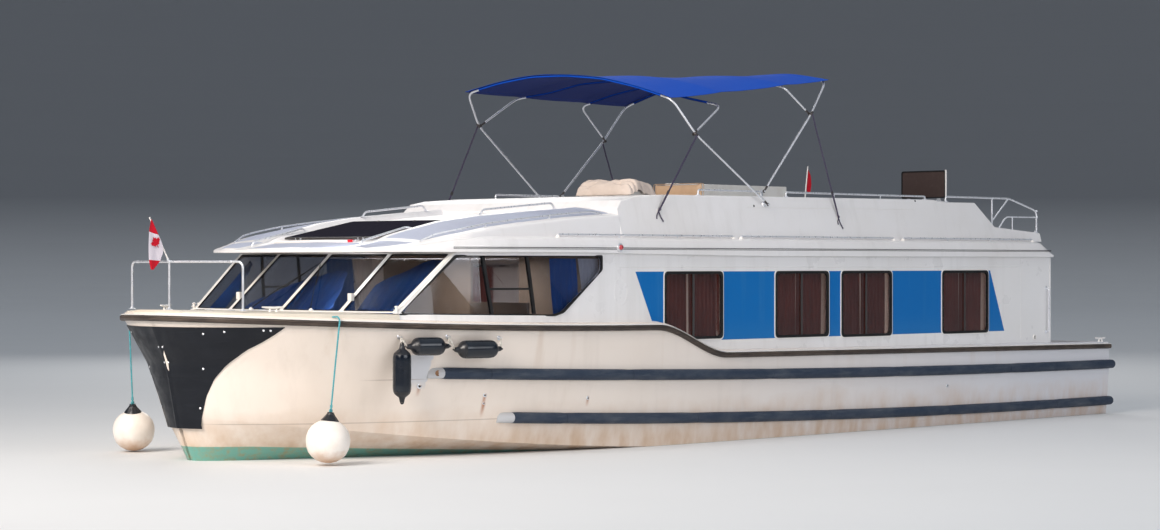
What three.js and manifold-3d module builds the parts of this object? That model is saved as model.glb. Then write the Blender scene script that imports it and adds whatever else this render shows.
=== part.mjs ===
// Rental canal cruiser (houseboat) afloat, in millimetres.
// +X points to the bow, +Y to port, +Z up. The origin lies on the waterline, at half length, on the centreline.
import * as THREE from 'three';
import { mergeVertices } from 'three/addons/utils/BufferGeometryUtils.js';
import Module from 'manifold-3d';

const wasm = await Module();
wasm.setup();

// Driving dimensions
const GAP = 0.3; // left between pieces that touch
const BOW = 7295;
const STERN = -7295;
const SIDES = [['port', 1], ['starboard', -1]];

// Hull plan curves: breadth is full aft of `from` and closes to zero at `tip`
const DECK_LINE = { from: 3000, tip: BOW, half: 2060, power: 2.2 };
const MIDDLE_LINE = { from: 2000, tip: 7080, half: 2050, power: 2.05 };
const CHINE_LINE = { from: 1000, tip: 6970, half: 2000, power: 1.9 };
const KEEL_TIP = 6620;
const KEEL_HALF = 60;
const STEM_HALF = 30;
const RIM = 55; // white moulding above the rub rail
const HULL_STATIONS = [STERN, -5600, -4000, -1000, 650, 850, 1050, 1250, 1450, 1650, 1850, 2400, 3000,
  3700, 4400, 5000, 5500, 5900, 6250, 6550, 6800, 7000, 7150, 7240, BOW];

// Sheer: high forward, low aft, joined by an S curve
const SHEER_AFT = { x: 650, z: 1000, slope: 0.0095 };
const SHEER_FORE = { x: 1850, z: 1335, low: 1200, curve: 4.2e-6 };

// Inside the hull
const SOLE_Z = 200;
const COCKPIT_SOLE_Z = 400;
const WALL = 70;
const CABIN_AFT = -5300;
const CABIN_FORE = 5000;
const COCKPIT_AFT = STERN + WALL;
const COCKPIT_HALF = 1930;
const SOLE_THICK = 25;
const ENGINE = { x0: -6080, x1: -5380, half: 270, z0: -120, z1: 360 };

// Cabin
const SIDE_INSET = 110; // cabin side stands inboard of the rub rail
const SIDE_FLARE = { from: 3000, out: 0.0167, lean: 6e-5, base: 1500 }; // forward it stands further out and leans in
const SIDE_THICK = 45;
const SIDE_AFT = -6055;
const SIDE_FORE = 5422;
const ROOF_UNDER = 2130;
const WINDOW = { top: 1940, width: 970, corner: 60 };
const WINDOWS = [{ x: 1116, low: 1200 }, { x: -830, low: 1185 }, { x: -2077, low: 1170 }, { x: -4122, low: 1170 }];
const BULKHEAD_X = -5400;
const DOOR = { half: 310, z0: 450, z1: 2050, thick: 35 };

// Windscreen: one raked surface, its plan a parabola
const SCREEN = { bowl: 5.4e-5, foot: 5591, footZ: 1535, head: 4866, headZ: 2162, halfLow: 1690, halfHigh: 1776, thick: 20 };
const PANE = { post: 58, mullion: 923, half: 26, sill: 14 };

// Roof
const ROOF_LINE = { from: 2500, tip: 5650, half: 2010, power: 3.6 };
const ROOF_AFT = -6040;
const ROOF_TOP = 2335;
const ROOF_EDGE = 2310;
const WEDGE_AFT = 2200;
// Roof slab: underside and upper edge, from the bow aft
const ROOF_UNDERSIDE = [[5700, 2164], [3000, 2164], [0, ROOF_UNDER], [-6100, ROOF_UNDER]];
const ROOF_RIM = [[5700, 2189], [5480, 2194], [5300, 2206], [5050, 2234], [4700, 2290], [4300, ROOF_EDGE], [-5770, ROOF_EDGE],
  [ROOF_AFT, 2175]];
// Raised front: x, ramp height, outer shoulder height, crest height, and the crest's distance from the centreline
const WEDGE = [
  { x: 5480, ramp: 2200, outer: 2197, inner: 2201, crest: 870 },
  { x: 5300, ramp: 2225, outer: 2217, inner: 2228, crest: 870 },
  { x: 5050, ramp: 2262, outer: 2252, inner: 2275, crest: 870 },
  { x: 4870, ramp: 2290.8, outer: 2294, inner: 2345, crest: 873 },
  { x: 4700, ramp: 2318, outer: 2330, inner: 2391, crest: 888 },
  { x: 4200, ramp: 2410, outer: 2412, inner: 2506, crest: 930 },
  { x: 3700, ramp: 2490, outer: 2468, inner: 2572, crest: 975 },
  { x: 3000, ramp: 2570, outer: 2535, inner: 2632, crest: 1035 },
  { x: WEDGE_AFT, ramp: 2625, outer: 2590, inner: 2692, crest: 1100 },
];
const SHOULDER_Y = 1800;
const CREST_FACE = 50;
const HATCH = { x0: 3850, x1: 4880, half: 800, thick: 26 };

// Flybridge
const COAMING = { foot: 1850, head: 1720, inner: 1600, front: 1050, aft: -5990 };
const COAMING_PROFILE = [
  [WEDGE_AFT - GAP, 2665], [2110, 2755], [1900, 2795], [1330, 2832], [-700, 2843], [-3760, 2860], [-3930, 2832],
  [-4650, 2835], [-4990, 2524], [-5990, 2451],
];

// Bimini frame: side view points of its four bows, x and z, with the twist the frame has
const BOW_TUBE = 12.5;

// Underwater gear
const SHAFT_Z = -560;
const SHAFT_RADIUS = 25;
const PROP = { x: -5760, radius: 225, blades: 3 };
const HEEL_TOP = -800;
const RUDDER = { axis: -6250, fore: -6130, aft: -6780, top: -330, bottom: -770, thick: 46, stock: 28 };

// Materials
const paint = (color, roughness = 0.45, metalness = 0) => new THREE.MeshStandardMaterial({ color, roughness, metalness });
const WHITE = paint(0xf0ece4);
const CREAM = paint(0xe6dccb);
const RUBBER = paint(0x1d2430, 0.7);
const STEEL = paint(0xc8ccd0, 0.25, 1);
const GLASS = new THREE.MeshStandardMaterial({ color: 0x2a2420, roughness: 0.1, transparent: true, opacity: 0.5 });
const BLUE_CLOTH = paint(0x1748b4, 0.9);
const CLOTH = paint(0xd8cdb8, 0.95);
const DARK = paint(0x24262c, 0.5);
const BRONZE = paint(0x9a7440, 0.35, 1);
const RED = paint(0xc01428, 0.8);
const WOOD = paint(0xb58a5a, 0.6);

// Solids: closed geometry in, closed geometry out
function toSolid(geometry) {
  const bare = geometry.clone();
  bare.deleteAttribute('normal');
  bare.deleteAttribute('uv');
  const merged = mergeVertices(bare, 1e-4);
  return new wasm.Manifold(new wasm.Mesh({
    numProp: 3,
    vertProperties: new Float32Array(merged.attributes.position.array),
    triVerts: new Uint32Array(merged.index.array),
  }));
}

function toGeometry(solid) {
  const mesh = solid.getMesh();
  const geometry = new THREE.BufferGeometry();
  geometry.setAttribute('position', new THREE.BufferAttribute(new Float32Array(mesh.vertProperties), 3));
  geometry.setIndex(new THREE.BufferAttribute(new Uint32Array(mesh.triVerts), 1));
  geometry.computeVertexNormals();
  return geometry;
}

function block(x0, x1, y0, y1, z0, z1) {
  const geometry = new THREE.BoxGeometry(x1 - x0, y1 - y0, z1 - z0);
  geometry.translate((x0 + x1) / 2, (y0 + y1) / 2, (z0 + z1) / 2);
  return toSolid(geometry);
}

function fuse(...solids) {
  return solids.reduce((a, b) => a.add(b));
}

function cut(body, ...tools) {
  return tools.reduce((a, b) => a.subtract(b), body);
}

// A prism: its outline lies across the named axis and it runs from `low` to `high` along it
function prism(axis, outline, low, high) {
  const shape = new THREE.Shape(outline.map(([a, b]) => new THREE.Vector2(a, b)));
  const geometry = new THREE.ExtrudeGeometry(shape, { depth: high - low, bevelEnabled: false, curveSegments: 6 });
  if (axis === 'z') geometry.translate(0, 0, low);
  if (axis === 'y') geometry.applyMatrix4(new THREE.Matrix4().set(1, 0, 0, 0, 0, 0, -1, high, 0, 1, 0, 0, 0, 0, 0, 1));
  if (axis === 'x') geometry.applyMatrix4(new THREE.Matrix4().set(0, 0, 1, low, 1, 0, 0, 0, 0, 1, 0, 0, 0, 0, 0, 1));
  return toSolid(geometry);
}

// Corners of an outline rounded to a radius, each with a few points
function rounded(outline, radius, steps = 3, closed = true) {
  const result = [];
  const count = outline.length;
  outline.forEach((point, i) => {
    if (!closed && (i === 0 || i === count - 1)) {
      result.push(point);
      return;
    }
    const here = new THREE.Vector3(...point);
    const before = new THREE.Vector3(...outline[(i + count - 1) % count]);
    const after = new THREE.Vector3(...outline[(i + 1) % count]);
    const reach = Math.min(radius, before.distanceTo(here) * 0.45, after.distanceTo(here) * 0.45);
    const start = here.clone().lerp(before, reach / before.distanceTo(here));
    const end = here.clone().lerp(after, reach / after.distanceTo(here));
    const bend = new THREE.QuadraticBezierCurve3(start, here, end);
    bend.getPoints(steps).forEach((p) => result.push(point.length === 2 ? [p.x, p.y] : [p.x, p.y, p.z]));
  });
  return result;
}

function rectangle(a, b, width, height) {
  const w = width / 2;
  const h = height / 2;
  return [[a - w, b - h], [a + w, b - h], [a + w, b + h], [a - w, b + h]];
}

// A skin through closed rings of equal length, capped by ladders between the two halves of the end rings.
// The second half of each ring is split along mirrored diagonals, so the two faces of a thin twisted sheet stay parallel
function loft(rings) {
  const count = rings[0].length;
  const points = rings.flat();
  const faces = [];
  for (let i = 0; i < rings.length - 1; i += 1) {
    for (let j = 0; j < count; j += 1) {
      const a = i * count + j;
      const b = i * count + ((j + 1) % count);
      const [c, d] = [a + count, b + count];
      const pair = j < count / 2 ? [[a, b, d], [a, d, c]] : [[a, b, c], [b, d, c]];
      faces.push(...pair);
    }
  }
  const last = (rings.length - 1) * count;
  for (let i = 0; i < count / 2 - 1; i += 1) {
    const [a, b, c, d] = [i, i + 1, count - 2 - i, count - 1 - i];
    const quad = b === c ? [[a, b, d]] : [[a, b, c], [a, c, d]];
    quad.forEach(([p, q, r]) => faces.push([r, q, p], [last + p, last + q, last + r]));
  }
  return closedBody(points, faces);
}

// The whole skin turned to face out
function closedBody(points, faces) {
  let volume = 0;
  faces.forEach(([a, b, c]) => {
    const [p, q, r] = [points[a], points[b], points[c]];
    volume += p[0] * (q[1] * r[2] - q[2] * r[1]) - p[1] * (q[0] * r[2] - q[2] * r[0]) + p[2] * (q[0] * r[1] - q[1] * r[0]);
  });
  const geometry = new THREE.BufferGeometry();
  geometry.setAttribute('position', new THREE.BufferAttribute(new Float32Array(points.flat()), 3));
  geometry.setIndex(faces.map(([a, b, c]) => (volume < 0 ? [a, c, b] : [a, b, c])).flat());
  return toSolid(geometry);
}

// A path made of straight runs, stepped at its own points
class Route extends THREE.Curve {
  constructor(points) {
    super();
    this.points = points.map((p) => new THREE.Vector3(...p));
  }

  getPoint(t, target = new THREE.Vector3()) {
    const runs = this.points.length - 1;
    const place = Math.min(t * runs, runs - 1e-9);
    const i = Math.floor(place);
    return target.copy(this.points[i]).lerp(this.points[i + 1], place - i);
  }

  getPointAt(u, target) {
    const runs = this.points.length - 1;
    return this.getPoint(Math.round(u * runs) / runs, target);
  }

  getTangentAt(u, target = new THREE.Vector3()) {
    const last = this.points.length - 1;
    const i = Math.round(u * last);
    const back = this.points[Math.max(i - 1, 0)];
    const here = this.points[i];
    const next = this.points[Math.min(i + 1, last)];
    const before = here.clone().sub(back);
    const after = next.clone().sub(here);
    return target.copy(before.normalize().add(after.normalize())).normalize();
  }
}

function disc(radius, sides) {
  return Array.from({ length: sides }, (_, i) => {
    const angle = (2 * Math.PI * (i + 0.5)) / sides;
    return [radius * Math.cos(angle), radius * Math.sin(angle)];
  });
}

function tube(points, radius, sides = 8, bend = 0) {
  const route = new Route(bend ? rounded(points, bend, 3, false) : points);
  const section = new THREE.Shape(disc(radius, sides).map(([a, b]) => new THREE.Vector2(a, b)));
  return toSolid(new THREE.ExtrudeGeometry(section, { steps: route.points.length - 1, extrudePath: route, bevelEnabled: false }));
}

// A flat strap between two points, its width along X
function strap(foot, head, width, thick) {
  const ring = ([x, y, z]) => rectangle(x, y, width, thick).map(([a, b]) => [a, b, z]);
  return loft([ring(foot), ring(head)]);
}

// A turned body: profile of radius and height, turned about a vertical line, then laid along `dir`
function turned(profile, centre, dir = [0, 0, 1], sides = 16) {
  const geometry = new THREE.LatheGeometry(profile.map(([r, h]) => new THREE.Vector2(r, h)), sides);
  geometry.applyQuaternion(new THREE.Quaternion().setFromUnitVectors(new THREE.Vector3(0, 1, 0), new THREE.Vector3(...dir).normalize()));
  geometry.translate(...centre);
  return toSolid(geometry);
}

// A height read off a short table, straight between its rows, which run aft
function along(rows, x) {
  const i = rows.findIndex(([station]) => station <= x);
  const [[x0, z0], [x1, z1]] = [rows[i - 1], rows[i]];
  return z1 + ((x - x1) * (z0 - z1)) / (x0 - x1);
}

const boat = new THREE.Group();

function add(name, solid, material) {
  const mesh = new THREE.Mesh(toGeometry(solid), material);
  mesh.name = name;
  boat.add(mesh);
}

function mirrored(points, side) {
  return points.map(([x, y, z]) => [x, y * side, z]);
}

// A pin hinge along an axis: `barrel` belongs to the moving piece, `lugs` and pin to the fixed one
const HINGE = { pin: 5, bore: 5.4, barrel: 10, length: 60, side: 2, lug: 14 };

function hingeSet(axis, centre, lugSize) {
  const lay = { x: [1, 0, 0], y: [0, 1, 0], z: [0, 0, 1] }[axis];
  const at = (offset) => centre.map((value, i) => value + lay[i] * offset);
  const half = HINGE.length / 2;
  const outer = half + HINGE.side + HINGE.lug;
  const barrel = tube([at(-half), at(half)], HINGE.barrel, 12);
  const bore = tube([at(-half - 1), at(half + 1)], HINGE.bore, 12);
  const pin = tube([at(-outer), at(outer)], HINGE.pin, 12);
  const lugs = [-1, 1].map((end) => {
    const middle = at(end * (half + HINGE.side + HINGE.lug / 2));
    const size = lugSize.map((value, i) => (lay[i] ? HINGE.lug : value));
    const low = middle.map((value, i) => value - (lay[i] ? HINGE.lug / 2 : size[i][0]));
    const high = middle.map((value, i) => value + (lay[i] ? HINGE.lug / 2 : size[i][1]));
    return block(low[0], high[0], low[1], high[1], low[2], high[2]);
  });
  return { barrel, bore, fixed: fuse(pin, ...lugs) };
}

// Hull form
function halfAt(line, x) {
  if (x <= line.from) return line.half;
  const u = Math.min((x - line.from) / (line.tip - line.from), 1);
  return line.half * (1 - u ** line.power) ** (1 / line.power);
}

function sheer(x) {
  const aft = SHEER_AFT.z + (Math.min(x, SHEER_AFT.x) - SHEER_AFT.x) * SHEER_AFT.slope;
  if (x <= SHEER_AFT.x) return aft;
  const fore = SHEER_FORE.z + SHEER_FORE.curve * (x - SHEER_FORE.low) ** 2;
  if (x >= SHEER_FORE.x) return fore;
  const t = (x - SHEER_AFT.x) / (SHEER_FORE.x - SHEER_AFT.x);
  return aft + (fore - aft) * t * t * (3 - 2 * t);
}

// The hull's top edge runs straight between stations
function rim(x) {
  const i = HULL_STATIONS.findIndex((station) => station >= x);
  if (i <= 0) return sheer(x) + RIM;
  const [a, b] = [HULL_STATIONS[i - 1], HULL_STATIONS[i]];
  return RIM + sheer(a) + ((sheer(b) - sheer(a)) * (x - a)) / (b - a);
}

function chineHeight(x) {
  return -60 + 9.5e-6 * Math.max(x + 600, 0) ** 2;
}

function keelHeight(x) {
  if (x < -4000) return -420 + 230 * ((-4000 - x) / (-4000 - STERN));
  return -420 + 70 * (Math.max(x - 3000, 0) / 3600) ** 2;
}

// Each plan curve is drawn in forward of the same station, so the stem rakes; `grow` offsets it outward
function onLine(line, x, grow = 0) {
  const drawn = x <= 3000 ? x : 3000 + ((x - 3000) * (line.tip - 3000)) / (BOW - 3000);
  const y = Math.max(halfAt(line, drawn), STEM_HALF);
  if (!grow) return [drawn, y];
  const slope = (halfAt(line, drawn - 2) - halfAt(line, drawn)) / 2;
  const long = Math.hypot(slope, 1);
  return [drawn + (grow * slope) / long, y + grow / long];
}

function hullRing(x, grow = 0) {
  const [deckX, deckY] = onLine(DECK_LINE, x, grow);
  const [midX, midY] = onLine(MIDDLE_LINE, x, grow);
  const [chineX, chineY] = onLine(CHINE_LINE, x, grow);
  const keelX = x <= 3000 ? x : 3000 + ((x - 3000) * (KEEL_TIP - 3000)) / (BOW - 3000) + grow;
  const chineZ = chineHeight(chineX);
  const half = [
    [deckX, Math.max(deckY - 25, STEM_HALF), rim(onLine(DECK_LINE, x)[0])],
    [deckX, deckY, sheer(deckX) - 10],
    [midX, midY, (sheer(midX) + chineZ) / 2 + 40],
    [chineX, chineY, chineZ],
    [keelX, Math.min(KEEL_HALF, chineY), keelHeight(keelX)],
  ];
  return half.concat(mirrored(half, -1).reverse());
}

function deckOutline(inset, from, to, line = DECK_LINE) {
  const xs = [from, ...HULL_STATIONS.filter((x) => x > from + 50 && x < to - 50), to];
  const half = xs.map((x) => [x, halfAt(line, x) - inset]);
  return half.concat(half.map(([x, y]) => [x, -y]).reverse());
}

const hullShell = loft(HULL_STATIONS.map((x) => hullRing(x)));

// Rubber sheet over the stem, following the hull
const GUARD_OUTLINE = [[7400, 1413], [6546, 1394], [6610, 1320], [6672, 1251], [6759, 1168], [6826, 1044], [6881, 866],
  [6892, 679], [6876, 459], [6864, 373], [6852, 343], [7400, 343]];
const GUARD_THICK = 6;

function makeStemGuard() {
  const bow = HULL_STATIONS.filter((x) => x >= 5900);
  const outer = loft(bow.map((x) => hullRing(x, GUARD_THICK + GAP)));
  const inner = loft(bow.map((x) => hullRing(x, GAP)));
  return cut(outer, inner).intersect(prism('y', GUARD_OUTLINE, -2000, 2000));
}

function makeHull() {
  const skeg = prism('y', [[-5300, -300], [-5300, -810], [-600, -760], [1800, -560], [2600, -380], [2600, -300]], -55, 55);
  const heel = block(-6500, -5280, -40, 40, HEEL_TOP - 60, HEEL_TOP);
  const floor = deckOutline(120, CABIN_AFT, CABIN_FORE, CHINE_LINE).map(([x, y]) => [x, y, SOLE_Z]);
  const top = deckOutline(WALL + 40, CABIN_AFT, CABIN_FORE).map(([x, y]) => [x, y, 2000]);
  const cabin = loft([floor, top]);
  const cockpit = block(COCKPIT_AFT, CABIN_AFT + 5, -COCKPIT_HALF, COCKPIT_HALF, COCKPIT_SOLE_Z - SOLE_THICK, 2000);
  const engineBay = block(ENGINE.x0 - 50, ENGINE.x1 + 50, -ENGINE.half - 60, ENGINE.half + 60, ENGINE.z0, COCKPIT_SOLE_Z);
  const sternTube = tube([[-5400, 0, SHAFT_Z], [-5000, 0, SHAFT_Z]], SHAFT_RADIUS + 0.5, 24);
  const rudderPort = tube([[RUDDER.axis, 0, -600], [RUDDER.axis, 0, 120]], RUDDER.stock + 8, 12);
  return cut(fuse(hullShell, skeg, heel), cabin, cockpit, engineBay, sternTube, rudderPort);
}

// A rail of constant section round the hull's plan, from the port quarter to the starboard quarter
const RAIL_SECTION = [[GAP, -38], [36, -35], [50, -14], [50, 14], [36, 35], [GAP, 38]];

function makeRubRail() {
  const port = HULL_STATIONS.map((x) => [onLine(DECK_LINE, x)[0], onLine(DECK_LINE, x)[1]]);
  const line = port.concat(port.map(([x, y]) => [x, -y]).reverse()).map(([x, y]) => new THREE.Vector2(x, y));
  const rings = line.map((here, i) => {
    const before = (i > 0 ? here.clone().sub(line[i - 1]) : line[1].clone().sub(here)).normalize();
    const after = (i < line.length - 1 ? line[i + 1].clone().sub(here) : here.clone().sub(line[i - 1])).normalize();
    const along = before.clone().add(after).normalize();
    const out = new THREE.Vector2(-along.y, along.x).divideScalar(Math.max(along.dot(before), 0.5));
    return RAIL_SECTION.map(([across, up]) => [here.x + out.x * across, here.y + out.y * across, sheer(here.x) + up]);
  });
  return loft(rings);
}

// Rubber strakes along the hull's side, cut back to its skin
const STRAKE_SECTION = [[-90, -62], [50, -55], [80, -25], [80, 25], [50, 55], [-90, 62]];
const STRAKES = {
  upper: { from: 5000, to: STERN - 60, z: (x) => 676 + 1.5e-6 * (x + 7380) ** 2 },
  lower: { from: 4062, to: STERN - 60, z: (x) => 178 + 2.25e-6 * Math.max(x + 6000, 0) ** 2 },
};

function makeStrake({ from, to, z }, side) {
  const xs = [to, ...HULL_STATIONS.filter((x) => x < from - 200 && (x > 2000 || x < 0)), from];
  const rings = xs.map((x) => {
    const y = sideAtHeight(x, z(x));
    return STRAKE_SECTION.map(([across, up]) => [x, (y + across) * side, z(x) + up]);
  });
  return cut(loft(rings), hullShell.translate([0, GAP * side, 0]), block(STERN - 100, STERN - GAP, -1900, 1900, 0, 1000));
}

// Half breadth of the hull's side at a height, between its plan curves
function sideAtHeight(x, z) {
  const chineZ = chineHeight(x);
  const midZ = (sheer(x) + chineZ) / 2 + 40;
  const [low, high] = z < midZ ? [CHINE_LINE, MIDDLE_LINE] : [MIDDLE_LINE, DECK_LINE];
  const [lowZ, highZ] = z < midZ ? [chineZ, midZ] : [midZ, sheer(x) - 10];
  const t = Math.min(Math.max((z - lowZ) / (highZ - lowZ), 0), 1);
  return halfAt(low, x) + (halfAt(high, x) - halfAt(low, x)) * t;
}

// The foredeck is level under the windscreen and rises to the bow
const deckTop = (x) => 1529 + Math.max(x - 5620, 0) * 0.0225;

function makeForedeck() {
  const xs = [4950, 5000, 5250, SIDE_FORE - 3, SIDE_FORE + 3, 5500, 5620, 5900, 6250, 6550, 6800, 7000, 7150, 7220];
  const rings = xs.map((x) => {
    const half = x < SIDE_FORE ? sideHalf(x) - SIDE_THICK - 12 : halfAt(DECK_LINE, x) - 40;
    const top = deckTop(x);
    const low = rim(x) + GAP;
    const ring = [[x, half, low], [x, half - 8, Math.max(top - 12, low + 4)], [x, half * 0.7, top + 4], [x, 0, top + 6]];
    return ring.concat(mirrored(ring.slice(0, 3), -1).reverse());
  });
  return loft(rings);
}

// Cabin sides: one wall from the windscreen's corner to the aft wing
const sideHalf = (x) => halfAt(DECK_LINE, x) - SIDE_INSET + Math.max(x - SIDE_FLARE.from, 0) * SIDE_FLARE.out;
const sideFace = (x, z) => sideHalf(x) - Math.max(x - SIDE_FLARE.from, 0) * (z - SIDE_FLARE.base) * SIDE_FLARE.lean;
const SIDE_STATIONS = [SIDE_AFT, -5600, -4000, -1000, 0, ...HULL_STATIONS.filter((x) => x > 0 && x < SIDE_FORE), SIDE_FORE - 4];
const SALOON_WINDOW = [[2635, 2131], [2635, 1966], [3245, 1518], [3385, 1484], [5408, 1520], [4690, 2131]];

function wallSheet(xs, low, high, outer, thick, side) {
  return loft(xs.map((x) => {
    const [bottom, top] = [low(x), high(x)];
    const corners = [[outer, bottom], [outer, top], [outer + thick, top], [outer + thick, bottom]];
    return corners.map(([inset, z]) => [x, (sideFace(x, z) - inset) * side, z]);
  }));
}

function saloonOutline(inset) {
  const corners = rounded(SALOON_WINDOW, 70);
  return corners.map(([x, z]) => [x + (x > 4000 ? -1.5 : 1.5) * inset, z + (z > 1800 ? -1 : 1) * inset]);
}

function windowOutline({ x, low }, grow) {
  const height = WINDOW.top - low;
  return rounded(rectangle(x, low + height / 2, WINDOW.width + 2 * grow, height + 2 * grow), WINDOW.corner + grow);
}

function makeCabinSide(side) {
  const wall = wallSheet(SIDE_STATIONS, (x) => rim(x) + GAP, (x) => along(ROOF_UNDERSIDE, x) - GAP, 0, SIDE_THICK, side);
  const low = side > 0 ? 1000 : -2200;
  const holes = [saloonOutline(0), ...WINDOWS.map((row) => windowOutline(row, 0))].map((outline) => prism('y', outline, low, low + 1200));
  return cut(wall, aheadOf(SCREEN.thick + GAP), ...holes);
}

function makeSaloonWindow(side) {
  const sheet = wallSheet(SIDE_STATIONS.filter((x) => x > 1900), () => 1470, () => 2140, 12, 10, side);
  const low = side > 0 ? 1000 : -2200;
  return sheet.intersect(prism('y', saloonOutline(GAP), low, low + 1200));
}

function makeCabinWindow(row, side) {
  const y = sideHalf(0);
  const pane = prism('y', windowOutline(row, -GAP), y - 30, y + 1);
  const flange = prism('y', windowOutline(row, 25), y + GAP, y + 10);
  const recess = prism('y', windowOutline(row, -35), y - 10, y + 20);
  const unit = cut(fuse(pane, flange), recess, hullShell.translate([0, 0, GAP]));
  return side > 0 ? unit : unit.mirror([0, 1, 0]);
}

// Curtains hang from one track along each side's windows
function makeCurtains(side) {
  const wall = sideHalf(0) - SIDE_THICK;
  const y = wall - 60;
  const track = block(WINDOWS[3].x - 600, WINDOWS[0].x + 600, y - 15, wall - GAP, 2000, 2030);
  const drops = WINDOWS.map(({ x }) => block(x - 500, x + 500, y - 20, y + 20, 1120, 2001));
  const all = fuse(track, ...drops);
  return side > 0 ? all : all.mirror([0, 1, 0]);
}

const DOOR_AXIS = { x: BULKHEAD_X - 13, y: DOOR.half - 4, z: [650, 1850] };
const doorHinges = DOOR_AXIS.z.map((z) => hingeSet('z', [DOOR_AXIS.x, DOOR_AXIS.y, z], [[6, 13 + GAP], [3, 26], 0]));

function makeAftBulkhead() {
  const half = sideHalf(0) - SIDE_THICK - GAP;
  const wall = block(BULKHEAD_X, BULKHEAD_X + 40, -half, half, COCKPIT_SOLE_Z - SOLE_THICK + GAP, ROOF_UNDER - GAP);
  const opened = cut(wall, block(BULKHEAD_X - 50, BULKHEAD_X + 90, -DOOR.half, DOOR.half, DOOR.z0, DOOR.z1));
  return fuse(opened, ...doorHinges.map((hinge) => hinge.fixed));
}

function makeAftDoor() {
  const margin = 8;
  const x = BULKHEAD_X - 2;
  const leaf = block(x, x + DOOR.thick, -DOOR.half + margin, DOOR.half - margin, DOOR.z0 + margin, DOOR.z1 - margin);
  const recess = block(x - 10, x + 10, -DOOR.half + 90, DOOR.half - 90, 1250, DOOR.z1 - 110);
  const knob = turned([[0, 0], [9, 0], [9, 30], [22, 34], [22, 52], [0, 56]], [x + 2, -DOOR.half + 55, 1150], [-1, 0, 0], 12);
  const arms = DOOR_AXIS.z.map((z) => block(DOOR_AXIS.x - 4, x + 2, DOOR_AXIS.y - 40, DOOR_AXIS.y, z - HINGE.length / 2, z + HINGE.length / 2));
  const body = fuse(cut(leaf, recess), knob, ...arms, ...doorHinges.map((hinge) => hinge.barrel));
  return cut(body, ...doorHinges.map((hinge) => hinge.bore));
}

// Windscreen: a point at a share `s` of its half width and `t` of its height, `depth` behind its face
function screenPoint(s, t, depth) {
  const y = s * (SCREEN.halfLow + (SCREEN.halfHigh - SCREEN.halfLow) * t);
  const x = SCREEN.foot + (SCREEN.head - SCREEN.foot) * t - SCREEN.bowl * y * y;
  return [x - depth, y, SCREEN.footZ + GAP + (SCREEN.headZ - SCREEN.footZ - 2 * GAP) * t];
}

function screenSheet({ low = 0, high = 1, outer = 0, inner, share = 1 }) {
  const rings = [];
  for (let i = 0; i <= 12; i += 1) {
    const corners = [[low, outer], [high, outer], [high, inner], [low, inner]];
    rings.push(corners.map(([t, depth]) => screenPoint((i / 6 - 1) * share, t, depth)));
  }
  return loft(rings);
}

// All that lies ahead of a surface the given depth behind the windscreen's face
function aheadOf(depth) {
  return screenSheet({ low: -0.4, high: 1.2, outer: -900, inner: depth, share: 1.2 });
}

function makeWindscreenFrame() {
  const [z0, z1] = [SCREEN.footZ + PANE.sill, SCREEN.headZ - PANE.sill];
  const inner = PANE.mullion - PANE.half;
  const outer = PANE.mullion + PANE.half;
  const corner = [SCREEN.halfLow - PANE.post, SCREEN.halfHigh - PANE.post];
  const middle = [[PANE.half, z0], [inner, z0], [inner, z1], [PANE.half, z1]];
  const side = [[outer, z0], [corner[0], z0], [corner[1], z1], [outer, z1]];
  const holes = [middle, side].flatMap((outline) => SIDES.map(([, hand]) => prism('x', rounded(outline.map(([y, z]) => [y * hand, z]), 20), 4000, 6200)));
  return cut(screenSheet({ inner: SCREEN.thick }), ...holes);
}

function makeWindscreenGlass() {
  const inset = SIDE_THICK + 6;
  const outline = [[SCREEN.halfLow - inset, SCREEN.footZ + 3], [SCREEN.halfHigh - inset, SCREEN.headZ - 3]];
  const sheet = screenSheet({ outer: SCREEN.thick + 2.5 * GAP, inner: SCREEN.thick + 10 });
  return sheet.intersect(prism('x', outline.concat(outline.map(([y, z]) => [-y, z]).reverse()), 4000, 6200));
}

// Roof
function roofHalf(x) {
  return halfAt(ROOF_LINE, x);
}

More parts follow.
